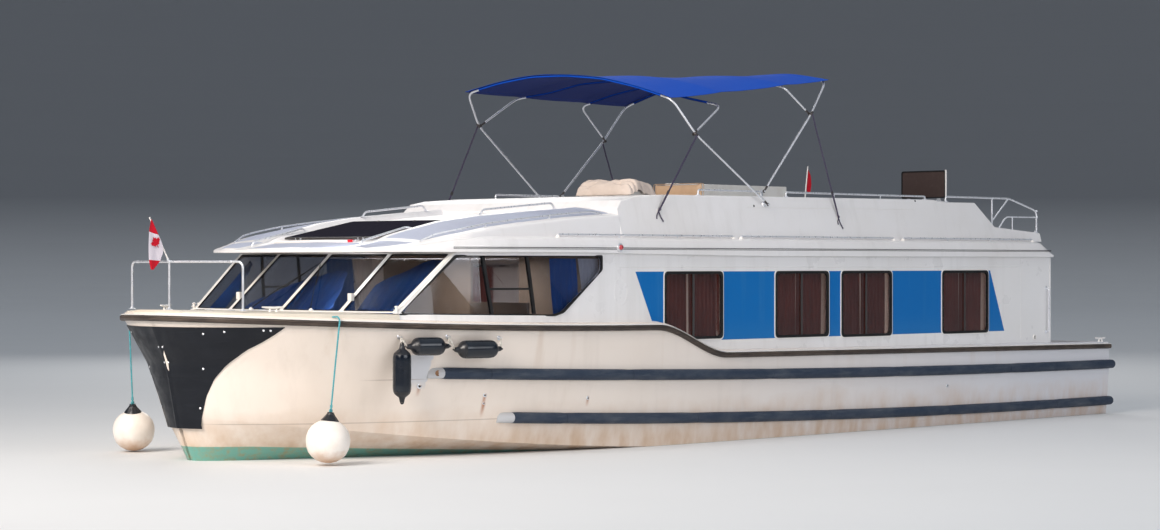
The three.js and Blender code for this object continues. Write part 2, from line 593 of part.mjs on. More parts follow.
function makeRoof() {
  const slabStations = [ROOF_AFT, -5770, -3000, 0, 2500, 3000, 3400, 3800, 4300, 4700, 5050, 5300, 5480, 5580, 5625];
  const slab = loft(slabStations.map((x) => {
    const half = roofHalf(x);
    const [under, edge] = [along(ROOF_UNDERSIDE, x), along(ROOF_RIM, x)];
    const top = edge + Math.min(ROOF_TOP - ROOF_EDGE, (edge - under) * 0.2);
    const ring = [[x, half, under], [x, half, (under + edge) / 2], [x, half - 30, edge], [x, half - 130, top]];
    return ring.concat(mirrored(ring, -1).reverse());
  }));
  const wedge = loft(WEDGE.map(({ x, ramp, outer, inner, crest }) => {
    const edge = Math.min(SHOULDER_Y, roofHalf(x) - 90);
    const base = along(ROOF_UNDERSIDE, x) + 10;
    const half = [[edge + 60, base + 4], [edge, outer], [crest, inner], [crest - CREST_FACE, ramp]];
    const top = half.concat([[0, ramp + 12]], half.map(([y, z]) => [-y, z]).reverse());
    return top.map(([y, z]) => [x, y, z]).concat(top.map(([y]) => [x, y, base]).reverse());
  }));
  const under = prism('y', [[2500, 2120], [2500, 2540], [3000, 2505], [3700, 2440], [4200, 2368], [4700, 2278], [4900, 2120]], -1230, 1230);
  const ceiling = block(-5350, 4900, -1230, 1230, 2100, ROOF_UNDER);
  const hatchway = block(HATCH.x0 + 120, HATCH.x1 - 120, -HATCH.half + 120, HATCH.half - 120, 2100, 2700);
  const hatchCurb = prism('y', hatchLine(-60, -GAP), -HATCH.half + 40, HATCH.half - 40);
  const skylight = block(SKYLIGHT.x0 + 40, SKYLIGHT.x1 - 40, SKYLIGHT.y0 + 40, SKYLIGHT.y1 - 40, 2100, 2400);
  const rails = SIDES.flatMap(([, side]) => SIDE_RAILS.map(([x0, x1]) => tube(
    mirrored([[x0, 1905, 2290], [x0, 1905, 2362], [x1, 1905, 2362], [x1, 1905, 2290]], side), 12, 8, 40)));
  const body = fuse(slab, wedge, hatchCurb, ...rails, ...hatchHinges.map((hinge) => hinge.fixed));
  return cut(body, under, ceiling, hatchway, skylight);
}

const SIDE_RAILS = [[3279, 371], [229, -2683], [-2879, -5688]];
const SKYLIGHT = { x0: -5270, x1: -4830, y0: 60, y1: 800, top: 2880, lid: 20 };

const HATCH_SLOPE = 0.1917;
const HATCH_LOW = along(WEDGE.map(({ x, ramp }) => [x, ramp]), HATCH.x1) + 20;
const hatchHeight = (x) => HATCH_LOW + HATCH_SLOPE * (HATCH.x1 - x);
const HATCH_AXIS = { x: HATCH.x1 + 14, z: HATCH_LOW + 12, y: [-520, 520] };
const hatchHinges = HATCH_AXIS.y.map((y) => hingeSet('y', [HATCH_AXIS.x, y, HATCH_AXIS.z], [[8, 10], 0, [60, 6]]));

// A slab that follows the hatch's underside between two heights above it
function hatchLine(low, high) {
  const [a, b] = [HATCH.x1 - 40, HATCH.x0 + 40];
  return [[a, hatchHeight(a) + low], [b, hatchHeight(b) + low], [b, hatchHeight(b) + high], [a, hatchHeight(a) + high]];
}

function makeRoofHatch() {
  const { x0, x1, half, thick } = HATCH;
  const outline = [[x1, hatchHeight(x1)], [x0, hatchHeight(x0)], [x0, hatchHeight(x0) + thick], [x1, hatchHeight(x1) + thick]];
  const barrels = HATCH_AXIS.y.map((y, i) => fuse(
    hatchHinges[i].barrel, block(x1 - 5, HATCH_AXIS.x, y - 30, y + 30, HATCH_LOW + 5, HATCH_LOW + 20)));
  return cut(fuse(prism('y', outline, -half, half), ...barrels), ...hatchHinges.map((hinge) => hinge.bore));
}

// Flybridge
function makeCoaming() {
  const outline = (half, front) => rounded([[COAMING.aft, half], [front, half], [front, -half], [COAMING.aft, -half]], 5, 1);
  const foot = outline(COAMING.foot, WEDGE_AFT - GAP);
  const head = outline(COAMING.head, WEDGE_AFT - GAP);
  const outer = loft([foot.map(([x, y]) => [x, y, ROOF_TOP + GAP]), head.map(([x, y]) => [x, y, 2870])]);
  const well = block(COAMING.aft - 100, COAMING.front, -COAMING.inner, COAMING.inner, 2200, 3000);
  const profile = COAMING_PROFILE.concat([[COAMING.aft, 2300], [WEDGE_AFT - GAP, 2300]]);
  const body = cut(outer.intersect(prism('y', profile, -2000, 2000)), well);
  const rails = SIDES.flatMap(([, side]) => [[733, -392], [-857, -3628]].map(([x0, x1]) => tube(
    mirrored([[x0, 1680, 2800], [x0, 1680, 2900], [x1, 1680, 2900], [x1, 1680, 2820]], side), 12, 8, 40)));
  const pinA = pins(FOOT_A, FOOT_A.y - 90, FOOT_A.y + 12);
  const boss = pins(FOOT_A, FOOT_A.y - 90, FOOT_A.y - 25, 26);
  const plates = SIDES.map(([, side]) => block(FOOT_B.x - 22, FOOT_B.x + 22, Math.min(1650 * side, 1672 * side),
    Math.max(1650 * side, 1672 * side), 2800, FOOT_B.port + 22));
  const pinB = pins(FOOT_B, 1660, FOOT_B.y + 12);
  const pads = SIDES.flatMap(([, side]) => Object.values(STRAP_FEET).map(({ x, z }) => {
    const face = coamingSide(z) + 3.2;
    return block(x - 25, x + 25, Math.min((face - 30) * side, face * side), Math.max((face - 30) * side, face * side), z - 25, z + 25);
  }));
  return fuse(body, ...rails, ...pinA, ...boss, ...plates, ...pinB, ...pads);
}

const LID_AXIS = { x: SKYLIGHT.x0 - 15, z: SKYLIGHT.top + 16, y: [180, 680] };
const lidHinges = LID_AXIS.y.map((y) => hingeSet('y', [LID_AXIS.x, y, LID_AXIS.z], [[8, 20], 0, [60, 7]]));

function makeSkylightBox() {
  const { x0, x1, y0, y1, top } = SKYLIGHT;
  const outer = block(x0, x1, y0, y1, ROOF_TOP + GAP, top);
  const box = cut(outer, block(x0 + 40, x1 - 40, y0 + 40, y1 - 40, 2300, 2900));
  return fuse(box, ...lidHinges.map((hinge) => hinge.fixed));
}

function makeSkylightLid() {
  const { y0, y1, top } = SKYLIGHT;
  const panel = block(LID_AXIS.x - 10, LID_AXIS.x + 10, y0, y1, LID_AXIS.z + 26, top + 420);
  const post = tube([[LID_AXIS.x, y1, LID_AXIS.z + 26], [LID_AXIS.x, y1, top + 425]], 13, 8);
  const arms = LID_AXIS.y.map((y) => block(LID_AXIS.x - 6, LID_AXIS.x + 6, y - 30, y + 30, LID_AXIS.z, LID_AXIS.z + 34));
  return cut(fuse(panel, post, ...arms, ...lidHinges.map((hinge) => hinge.barrel)), ...lidHinges.map((hinge) => hinge.bore));
}

function makeHelmConsole() {
  return prism('y', [[600, ROOF_TOP + GAP], [1020, ROOF_TOP + GAP], [1020, 2900], [900, 2960], [600, 2860]], 40, 850);
}

function makeConsoleCover() {
  const outline = rounded([[560, 2840], [700, 2885], [900, 2950], [1030, 2885], [1060, 2950], [920, 3050], [720, 3010], [560, 2930]], 20, 2);
  return cut(prism('y', outline, 0, 890), makeHelmConsole().translate([0, 0, GAP]));
}

function makeHelmWheel() {
  const ring = new THREE.TorusGeometry(190, 14, 8, 24);
  ring.rotateY(Math.PI / 2);
  ring.translate(500, 445, 2700);
  const hub = tube([[470, 445, 2700], [600 - GAP, 445, 2700]], 30, 10);
  const spokes = [90, 210, 330].map((deg) => {
    const a = (deg * Math.PI) / 180;
    return tube([[500, 445, 2700], [500, 445 + 190 * Math.cos(a), 2700 + 190 * Math.sin(a)]], 10, 6);
  });
  return fuse(toSolid(ring), hub, ...spokes);
}

function makeHelmSeat() {
  const base = block(-380, 0, -60, 720, ROOF_TOP + GAP, 2760);
  const cushion = block(-400, 20, -80, 740, 2760, 2850);
  const back = block(-470, -380, -80, 740, 2700, 3035);
  return fuse(base, cushion, back);
}

function makeBench(side) {
  const tall = side < 0;
  const x0 = tall ? -4700 : -3600;
  const x1 = tall ? -2300 : -1200;
  const seat = block(x0, x1, 1000 * side < 0 ? -1590 : 1000, 1000 * side < 0 ? -1000 : 1590, ROOF_TOP + GAP, 2740);
  if (!tall) return seat;
  return fuse(seat, block(x0, x1, -1590, -1480, 2700, 3110));
}

// Bimini
const bothSides = (height) => ({ port: height, starboard: height });
const FOOT_A = { x: -361, y: 1815, ...bothSides(2745) };
const FOOT_B = { x: -440, y: 1690, ...bothSides(2905) };
const CORNERS = {
  a: { x: 1195, y: 1694, port: 3927, starboard: 4142, crown: 240, rise: [0.55, 0.9] },
  a2: { x: 350, y: 1702, port: 3890, starboard: 4110, crown: 255, rise: [0.32, 0.8] },
  b: { x: -1626, y: 1678, port: 4273, starboard: 4088, crown: 180, rise: [0.72, 0.95] },
  b2: { x: -805, y: 1690, port: 4165, starboard: 4060, crown: 180, rise: [0.6, 0.92] },
};
const JOINT_A = { x: 909, y: 1802, pinned: 1755, port: 3532, starboard: 3760 };
const JOINT_B = { x: -1275, y: 1735, pinned: 1690, port: 3861, starboard: 3631 };
const SECOND_END = { y: 1764 };
const THIRD_END = { y: 1698 };

function archPoints(corner) {
  const [low, high] = corner.rise;
  const shares = [[0.66, low], [0.34, high], [0, 1], [-0.34, high], [-0.66, low]];
  const mean = (corner.port + corner.starboard) / 2;
  const tilt = (corner.port - corner.starboard) / 2;
  return shares.map(([s, rise]) => [corner.x, corner.y * s, mean + tilt * s + corner.crown * rise]);
}

// Bows turn on pins: an eye ends each leg, and the pin belongs to what carries it
const EYE = { radius: 20, half: 6, bore: 8.5, pin: 8 };

// A point on the hinge line through a joint's port and starboard heights
function onHinge(joint, y) {
  return [joint.x, y, (joint.port + joint.starboard) / 2 + (((joint.port - joint.starboard) / 2) * y) / joint.y];
}

function pins(joint, y0, y1, radius = EYE.pin) {
  return SIDES.map(([, side]) => tube([onHinge(joint, y0 * side), onHinge(joint, y1 * side)], radius, 14));
}

function makeBow({ corner, end, hinge = end, joint }) {
  const leg = (side, name) => {
    const line = [onHinge(hinge, end.y * side)];
    if (joint) line.push([joint.x, joint.y * side, joint[name]]);
    return line.concat([[corner.x, corner.y * side, corner[name]]]);
  };
  const line = leg(1, 'port').concat(archPoints(corner), leg(-1, 'starboard').reverse());
  const solid = fuse(tube(line, BOW_TUBE, 8, 60), ...pins(hinge, end.y - EYE.half, end.y + EYE.half, EYE.radius));
  const carried = joint ? pins(joint, joint.y, joint.pinned) : [];
  return cut(fuse(solid, ...carried), ...pins(hinge, end.y - 30, end.y + 30, EYE.bore));
}

// The canopy is ruled between the front and aft bows, clear above the two others
function makeCanopy() {
  const [front, aft] = [['a', 30], ['b', -30]].map(([name, over]) => {
    const { x, y, port, starboard } = CORNERS[name];
    return [[x, y + 20, port], ...archPoints(CORNERS[name]), [x, -y - 20, starboard]].map(([px, py, pz]) => [px + over, py, pz]);
  });
  const rings = [0, 0.3, 0.7, 1].map((share) => {
    const line = front.map((point, i) => point.map((value, k) => value + (aft[i][k] - value) * share));
    const [top, under] = [12, 3].map((lift) => line.map(([x, y, z]) => [x, y, z + BOW_TUBE + lift]));
    return top.concat(under.reverse());
  });
  return loft(rings);
}

// Webbing straps run from the bows down to pads on the coaming
const STRAP = { width: 30, thick: 4 };
const STRAP_FEET = { front: { x: 1523, z: 2640, stand: 3.5 }, aft: { x: -1730, z: 2600, stand: 4.4 } };
const coamingSide = (z) => COAMING.foot - ((COAMING.foot - COAMING.head) * (z - ROOF_TOP)) / (2870 - ROOF_TOP);

function makeStraps() {
  SIDES.forEach(([name, side]) => {
    [['front', JOINT_A], ['aft', JOINT_B]].forEach(([place, joint]) => {
      const { x, z, stand } = STRAP_FEET[place];
      const foot = [x, (coamingSide(z) + STRAP.thick / 2 + stand) * side, z];
      const head = [joint.x, (joint.y + BOW_TUBE + STRAP.thick / 2 + GAP) * side, joint[name]];
      add(`strap_${place}_${name}`, strap(foot, head, STRAP.width, STRAP.thick), DARK);
    });
  });
}

// Deck gear
function makePulpit() {
  const deck = 1570;
  const top = 2065;
  const hoop = tube([[6840, 930, deck], [6840, 930, top], [7058, 0, top], [6840, -930, top], [6840, -930, deck]], 13, 8, 80);
  const post = tube([[7058, 0, deckTop(7058) + 12], [7058, 0, top]], 13, 8);
  const staff = tube([[7058, 0, top - 5], [7310, 0, 2520]], 9, 8);
  const feet = [[6840, 930], [7058, 0], [6840, -930]].map(([x, y]) => turned([[0, 0], [38, 0], [38, 8], [0, 8]], [x, y, deckTop(x + 38) + 6 + GAP], [0, 0, 1], 10));
  return fuse(hoop, post, staff, ...feet);
}

function makeBowFlag() {
  return prism('y', [[7285, 2500], [7130, 2215], [7180, 1990], [7285, 1975], [7340, 2200], [7330, 2480]], 9 + GAP, 27);
}

function makeSternFlag() {
  const y = -AFT_RAIL.y;
  const foot = AFT_RAIL.top + AFT_RAIL.tube + GAP;
  const staff = tube([[-5350, y, foot], [-5420, y, 3420]], 9, 8);
  const flag = prism('y', [[-5410, 3390], [-5370, 3090], [-5470, 3010], [-5500, 3300]], y - 6, y + 6);
  return fuse(staff, flag);
}

const AFT_RAIL = { y: 1690, top: 2905, tube: 13, fore: -4060, turn: -5470, aft: -5975, aftY: 1780 };

function makeAftRail(side) {
  const { y, top, fore, turn, aft, aftY } = AFT_RAIL;
  const foot = (x) => Math.max(along(COAMING_PROFILE, x - AFT_RAIL.tube), along(COAMING_PROFILE, x + AFT_RAIL.tube)) + GAP;
  const line = [[fore, y, foot(fore)], [fore, y, top], [turn, y, top], [aft, aftY, 2745], [aft, aftY, foot(aft)]];
  const rail = tube(mirrored(line, side), AFT_RAIL.tube, 8, 70);
  const post = tube(mirrored([[-5083, y, foot(-5083)], [-5083, y, top]], side), 12, 8);
  const brace = tube(mirrored([[-5450, y, top - 10], [-5083, y, 2600]], side), 10, 8);
  return fuse(rail, post, brace);
}

const STEPS = { x: -7150, tread: 170, count: 6, y0: -1880, y1: -1250 };

function makeSole() {
  const low = COCKPIT_SOLE_Z - SOLE_THICK;
  const sole = block(COCKPIT_AFT + GAP, BULKHEAD_X - GAP, -COCKPIT_HALF + GAP, COCKPIT_HALF - GAP, low + GAP, COCKPIT_SOLE_Z);
  const aft = STEPS.x + STEPS.count * STEPS.tread;
  return cut(sole, block(STEPS.x - GAP, aft + GAP, STEPS.y0 - GAP, STEPS.y1 + GAP, low - 10, COCKPIT_SOLE_Z + 10));
}

function makeSteps() {
  const { x, tread, count, y0, y1 } = STEPS;
  const rise = (ROOF_TOP - COCKPIT_SOLE_Z) / (count + 1);
  const steps = Array.from({ length: count }, (_, i) => block(x + i * tread, x + count * tread, y0, y1,
    COCKPIT_SOLE_Z - SOLE_THICK + GAP, COCKPIT_SOLE_Z + rise * (i + 1)));
  return fuse(...steps);
}

// Underwater gear
function makePropeller() {
  const hub = turned([[0, -70], [42, -70], [52, 0], [40, 70], [14, 110], [0, 112]], [PROP.x, 0, SHAFT_Z], [-1, 0, 0], 12);
  const shaft = tube([[PROP.x + 20, 0, SHAFT_Z], [-5080, 0, SHAFT_Z]], SHAFT_RADIUS, 24);
  const blades = Array.from({ length: PROP.blades }, (_, i) => {
    const blade = new THREE.BoxGeometry(14, 130, PROP.radius - 30);
    blade.translate(0, 0, (PROP.radius - 30) / 2 + 30);
    blade.rotateZ(0.6);
    blade.rotateX((i * 2 * Math.PI) / PROP.blades);
    blade.translate(PROP.x, 0, SHAFT_Z);
    return toSolid(blade);
  });
  return fuse(hub, shaft, ...blades);
}

function makeRudder() {
  const blade = block(RUDDER.aft, RUDDER.fore, -RUDDER.thick / 2, RUDDER.thick / 2, RUDDER.bottom, RUDDER.top);
  const stock = tube([[RUDDER.axis, 0, RUDDER.top - 200], [RUDDER.axis, 0, 100]], RUDDER.stock, 12);
  const pintle = tube([[RUDDER.axis, 0, HEEL_TOP + GAP], [RUDDER.axis, 0, RUDDER.bottom + 10]], 20, 12);
  return fuse(blade, stock, pintle);
}

// Black fenders on ropes between eyes on the port topside
const FENDER_EYES = [[5430, 1290], [4885, 1285], [4240, 1262]];
const FENDER_RADIUS = 95;

function fender(start, dir, length) {
  const r = FENDER_RADIUS;
  const profile = [[0, 0], [24, 0], [34, 40], [r * 0.8, 75], [r, 130], [r, length - 130], [r * 0.8, length - 75],
    [34, length - 40], [24, length], [0, length]];
  return turned(profile, start, dir, 16);
}

function makeSideFenders() {
  const eyesAt = FENDER_EYES.map(([x, z]) => [x, sideAtHeight(x, z) + 30, z]);
  const lugs = eyesAt.map(([x, y, z]) => cut(tube([[x, y - 50, z], [x, y + 12, z]], 14, 8), hullShell.translate([0, GAP, 0])));
  const spans = [[0, 1, 1190], [1, 2, 1150]].map(([i, j, z]) => {
    const low = (x) => [x, Math.max(sideAtHeight(x, z + 60), sideAtHeight(x, z - 60)) + FENDER_RADIUS + 10, z];
    const [a, b] = [low(eyesAt[i][0] - 30), low(eyesAt[j][0] + 50)];
    const dir = b.map((value, k) => value - a[k]);
    const length = Math.hypot(...dir);
    const ropes = [[eyesAt[i], a], [b, eyesAt[j]]].map((line) => tube(line, 7, 6));
    return fuse(fender(a, dir, length), ...ropes);
  });
  const top = [5450, sideAtHeight(5450, 1200) + FENDER_RADIUS + 25, 1215];
  const hung = fender([top[0], top[1], 620], [0, 0, 1], 595);
  const line = tube([eyesAt[0], [top[0], top[1], top[2] - 10]], 7, 6);
  return fuse(...lugs, ...spans, hung, line);
}

// Ball fenders hang outboard of the rub rail on ropes led over the rim
function makeBall(centre, hang) {
  const radius = 228;
  const profile = [[0, -radius], [radius * 0.5, -radius * 0.87], [radius * 0.87, -radius * 0.5], [radius, 0],
    [radius * 0.87, radius * 0.5], [95, radius * 0.9], [45, radius + 60], [0, radius + 62]];
  const side = Math.sign(centre[1]);
  const over = rim(hang) + 9 + GAP;
  const half = halfAt(DECK_LINE, hang);
  const bend = [hang, (half + 82) * side, over];
  const dir = new THREE.Vector3(...bend).sub(new THREE.Vector3(...centre)).normalize().toArray();
  const neck = centre.map((value, i) => value + dir[i] * radius);
  const rope = tube([neck, bend, [hang, (half - 32) * side, over]], 9, 8);
  return fuse(turned(profile, centre, dir, 16), rope);
}

add('hull', makeHull(), WHITE);
add('rub_rail', makeRubRail(), RUBBER);
add('stem_guard', makeStemGuard(), RUBBER);
SIDES.forEach(([name, side]) => {
  add(`strake_upper_${name}`, makeStrake(STRAKES.upper, side), RUBBER);
  add(`strake_lower_${name}`, makeStrake(STRAKES.lower, side), RUBBER);
});
add('foredeck', makeForedeck(), WHITE);
SIDES.forEach(([name, side]) => {
  add(`cabin_side_${name}`, makeCabinSide(side), WHITE);
  add(`saloon_window_${name}`, makeSaloonWindow(side), GLASS);
  WINDOWS.forEach((row, i) => add(`cabin_window_${name}_${i + 1}`, makeCabinWindow(row, side), GLASS));
  add(`cabin_curtains_${name}`, makeCurtains(side), CLOTH);
});
add('aft_bulkhead', makeAftBulkhead(), WHITE);
add('aft_door', makeAftDoor(), WHITE);
add('windscreen_frame', makeWindscreenFrame(), WHITE);
add('windscreen_glass', makeWindscreenGlass(), GLASS);
add('roof', makeRoof(), WHITE);
add('roof_hatch', makeRoofHatch(), DARK);
add('flybridge_coaming', makeCoaming(), WHITE);
add('skylight_box', makeSkylightBox(), WHITE);
add('skylight_lid', makeSkylightLid(), GLASS);
add('helm_console', makeHelmConsole(), WHITE);
add('console_cover', makeConsoleCover(), CLOTH);
add('helm_wheel', makeHelmWheel(), STEEL);
add('helm_seat', makeHelmSeat(), CREAM);
SIDES.forEach(([name, side]) => add(`bench_${name}`, makeBench(side), WHITE));
add('bimini_bow_front', makeBow({ corner: CORNERS.a, end: FOOT_A, joint: JOINT_A }), STEEL);
add('bimini_bow_second', makeBow({ corner: CORNERS.a2, end: SECOND_END, hinge: JOINT_A }), STEEL);
add('bimini_bow_aft', makeBow({ corner: CORNERS.b, end: FOOT_B, joint: JOINT_B }), STEEL);
add('bimini_bow_third', makeBow({ corner: CORNERS.b2, end: THIRD_END, hinge: JOINT_B }), STEEL);
add('bimini_canopy', makeCanopy(), BLUE_CLOTH);
makeStraps();
add('pulpit', makePulpit(), STEEL);
add('bow_flag', makeBowFlag(), RED);
add('stern_flag', makeSternFlag(), RED);
SIDES.forEach(([name, side]) => add(`aft_rail_${name}`, makeAftRail(side), STEEL));
add('cockpit_sole', makeSole(), WHITE);
add('cockpit_steps', makeSteps(), WHITE);
add('propeller', makePropeller(), BRONZE);
add('rudder', makeRudder(), DARK);
add('engine', block(ENGINE.x0, ENGINE.x1, -ENGINE.half, ENGINE.half, ENGINE.z0 + GAP, ENGINE.z1), DARK);
add('galley_unit', block(1950, 3350, 1060, 1640, SOLE_Z + GAP, 1350), WOOD);
add('side_fenders', makeSideFenders(), RUBBER);
add('ball_fender_port', makeBall([6250, 1560, 250], 6120), CREAM);
add('ball_fender_starboard', makeBall([6410, -1483, 235], 6600), CREAM);

export default boat;
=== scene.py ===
"""Looks of a rental canal cruiser afloat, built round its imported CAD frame.

Metres throughout, in the frame's axes: +X to the bow, +Y to port, +Z up, the waterline at Z = 0.
"""
import math
from contextlib import contextmanager

import bmesh
import bpy
from mathutils import Matrix, Vector, noise


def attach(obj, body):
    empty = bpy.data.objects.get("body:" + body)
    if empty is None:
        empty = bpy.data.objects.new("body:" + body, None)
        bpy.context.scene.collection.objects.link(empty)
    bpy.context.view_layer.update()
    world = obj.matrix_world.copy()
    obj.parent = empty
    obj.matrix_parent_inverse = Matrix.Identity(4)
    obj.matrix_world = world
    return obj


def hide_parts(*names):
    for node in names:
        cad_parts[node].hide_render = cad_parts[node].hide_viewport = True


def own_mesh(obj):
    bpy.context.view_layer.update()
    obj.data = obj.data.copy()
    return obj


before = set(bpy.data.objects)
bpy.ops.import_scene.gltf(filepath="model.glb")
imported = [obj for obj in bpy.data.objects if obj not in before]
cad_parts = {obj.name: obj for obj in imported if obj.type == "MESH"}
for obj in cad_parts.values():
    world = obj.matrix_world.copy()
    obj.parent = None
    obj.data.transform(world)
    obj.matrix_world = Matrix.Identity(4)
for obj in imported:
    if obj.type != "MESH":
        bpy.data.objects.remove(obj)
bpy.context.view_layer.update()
SIDES = (("port", 1), ("starboard", -1))
GAP = 0.0003
UP = Vector((0, 0, 1))
# Turned bodies keep this small radius on their axis, so that no face closes to nothing
AXIS_HOLE = 0.0005

# Camera and light
CAMERA_AT = (23.935, 22.17, 2.05)
CAMERA_DIRECTION = (-0.7196, -0.6944, 0.0)
LENS = 82.9
SENSOR = 36.0
SHIFT_Y = -0.0016

# Hull plan curves: full breadth aft of `start`, closed at `tip`
DECK_LINE = {"start": 3.0, "tip": 7.295, "half": 2.06, "power": 2.2}
MIDDLE_LINE = {"start": 2.0, "tip": 7.08, "half": 2.05, "power": 2.05}
CHINE_LINE = {"start": 1.0, "tip": 6.97, "half": 2.0, "power": 1.9}
BOW = 7.295
STERN = -7.295
KEEL_TIP = 6.62
KEEL_HALF = 0.06
STEM_HALF = 0.03
RIM = 0.055
SHEER_AFT = {"x": 0.65, "z": 1.0, "slope": 0.0095}
SHEER_FORE = {"x": 1.85, "z": 1.335, "low": 1.2, "curve": 0.0042}
BOOT_TOP = 0.15

# Inside the hull
CABIN_AFT = -5.3
CABIN_FORE = 5.0
CABIN_SOLE = 0.2
COCKPIT_AFT = -7.225
COCKPIT_HALF = 1.93
COCKPIT_LOW = 0.375
COCKPIT_FLOOR = 0.4

# Cabin sides and windows
SIDE_INSET = 0.11
SIDE_FLARE = {"start": 3.0, "out": 0.0167, "lean": 0.06, "base": 1.5}
WALL_FACE = 1.95
WALL_THICK = 0.045
WINDOW = {"top": 1.94, "width": 0.97, "corner": 0.06}
WINDOWS = ((1.116, 1.2), (-0.83, 1.185), (-2.077, 1.17), (-4.122, 1.17))
STRIPE = {"top": 1.955, "low": 1.167, "fore": 2.093, "aft_top": -4.672, "aft_low": -4.99}
SALOON_WINDOW = ((2.635, 2.131), (2.635, 1.966), (3.245, 1.518), (3.385, 1.484), (5.408, 1.52), (4.69, 2.131))

# Bimini frame
TUBE = 0.0125


# Small tools
def tone(red, green, blue):
    """An sRGB colour, 0 to 255, as linear light."""
    return tuple(((c / 255 + 0.055) / 1.055) ** 2.4 for c in (red, green, blue)) + (1.0,)


def along(rows, x):
    """A value read off a table whose rows run aft, straight between them."""
    x = min(max(x, rows[-1][0]), rows[0][0])
    for (x0, z0), (x1, z1) in zip(rows, rows[1:]):
        if x >= x1:
            return z1 + (x - x1) * (z0 - z1) / (x0 - x1)
    return rows[-1][1]


def steps(low, high, count):
    """Evenly spaced values from low to high, both included: count + 1 of them."""
    return [low + (high - low) * i / count for i in range(count + 1)]


def rounded(points, radius, count=5, closed=False):
    """A line or outline with its corners rounded to a radius."""
    line = [Vector(p) for p in points]
    made = []
    for i, here in enumerate(line):
        if not closed and i in (0, len(line) - 1):
            made.append(here)
            continue
        before, after = line[i - 1], line[(i + 1) % len(line)]
        reach = min(radius, (before - here).length * 0.45, (after - here).length * 0.45)
        start = here + (before - here).normalized() * reach
        end = here + (after - here).normalized() * reach
        for t in steps(0, 1, count):
            made.append(start * (1 - t) ** 2 + here * 2 * t * (1 - t) + end * t * t)
    return made


def spaced(path, gap):
    """Points at an even spacing along a line."""
    line = [Vector(p) for p in path]
    made, left = [line[0]], gap
    for a, b in zip(line, line[1:]):
        length = (b - a).length
        while left <= length:
            made.append(a.lerp(b, left / length))
            left += gap
        left -= length
    return made + [line[-1]]


def rectangle(x, z, width, height):
    """Corners of a rectangle round a middle point."""
    w, h = width / 2, height / 2
    return corners(x - w, x + w, z - h, z + h)


def corners(a0, a1, b0, b1):
    """Corners of a rectangle between two limits each way."""
    return [(a0, b0), (a1, b0), (a1, b1), (a0, b1)]


def pane(a0, a1, b0, b1, radius, count=5):
    """A rectangle between two limits each way, with round corners."""
    return rounded(corners(a0, a1, b0, b1), radius, count, True)


def circle(count):
    """Angles evenly round a circle."""
    return [2 * math.pi * k / count for k in range(count)]


def span(a, b, side):
    """Two distances out from the middle, as limits on one side of the boat, the lower first."""
    return sorted((a * side, b * side))


def linked(name, data):
    """A new object in the scene."""
    made = bpy.data.objects.new(name, data)
    bpy.context.scene.collection.objects.link(made)
    return made


@contextmanager
def editing(mesh):
    """Opens a mesh for editing and puts the result back into it."""
    work = bmesh.new()
    work.from_mesh(mesh)
    yield work
    work.to_mesh(mesh)
    work.free()


def sided(points, side):
    """The same points on the port (1) or starboard (-1) side."""
    return [Vector((p[0], p[1] * side, p[2])) for p in points]


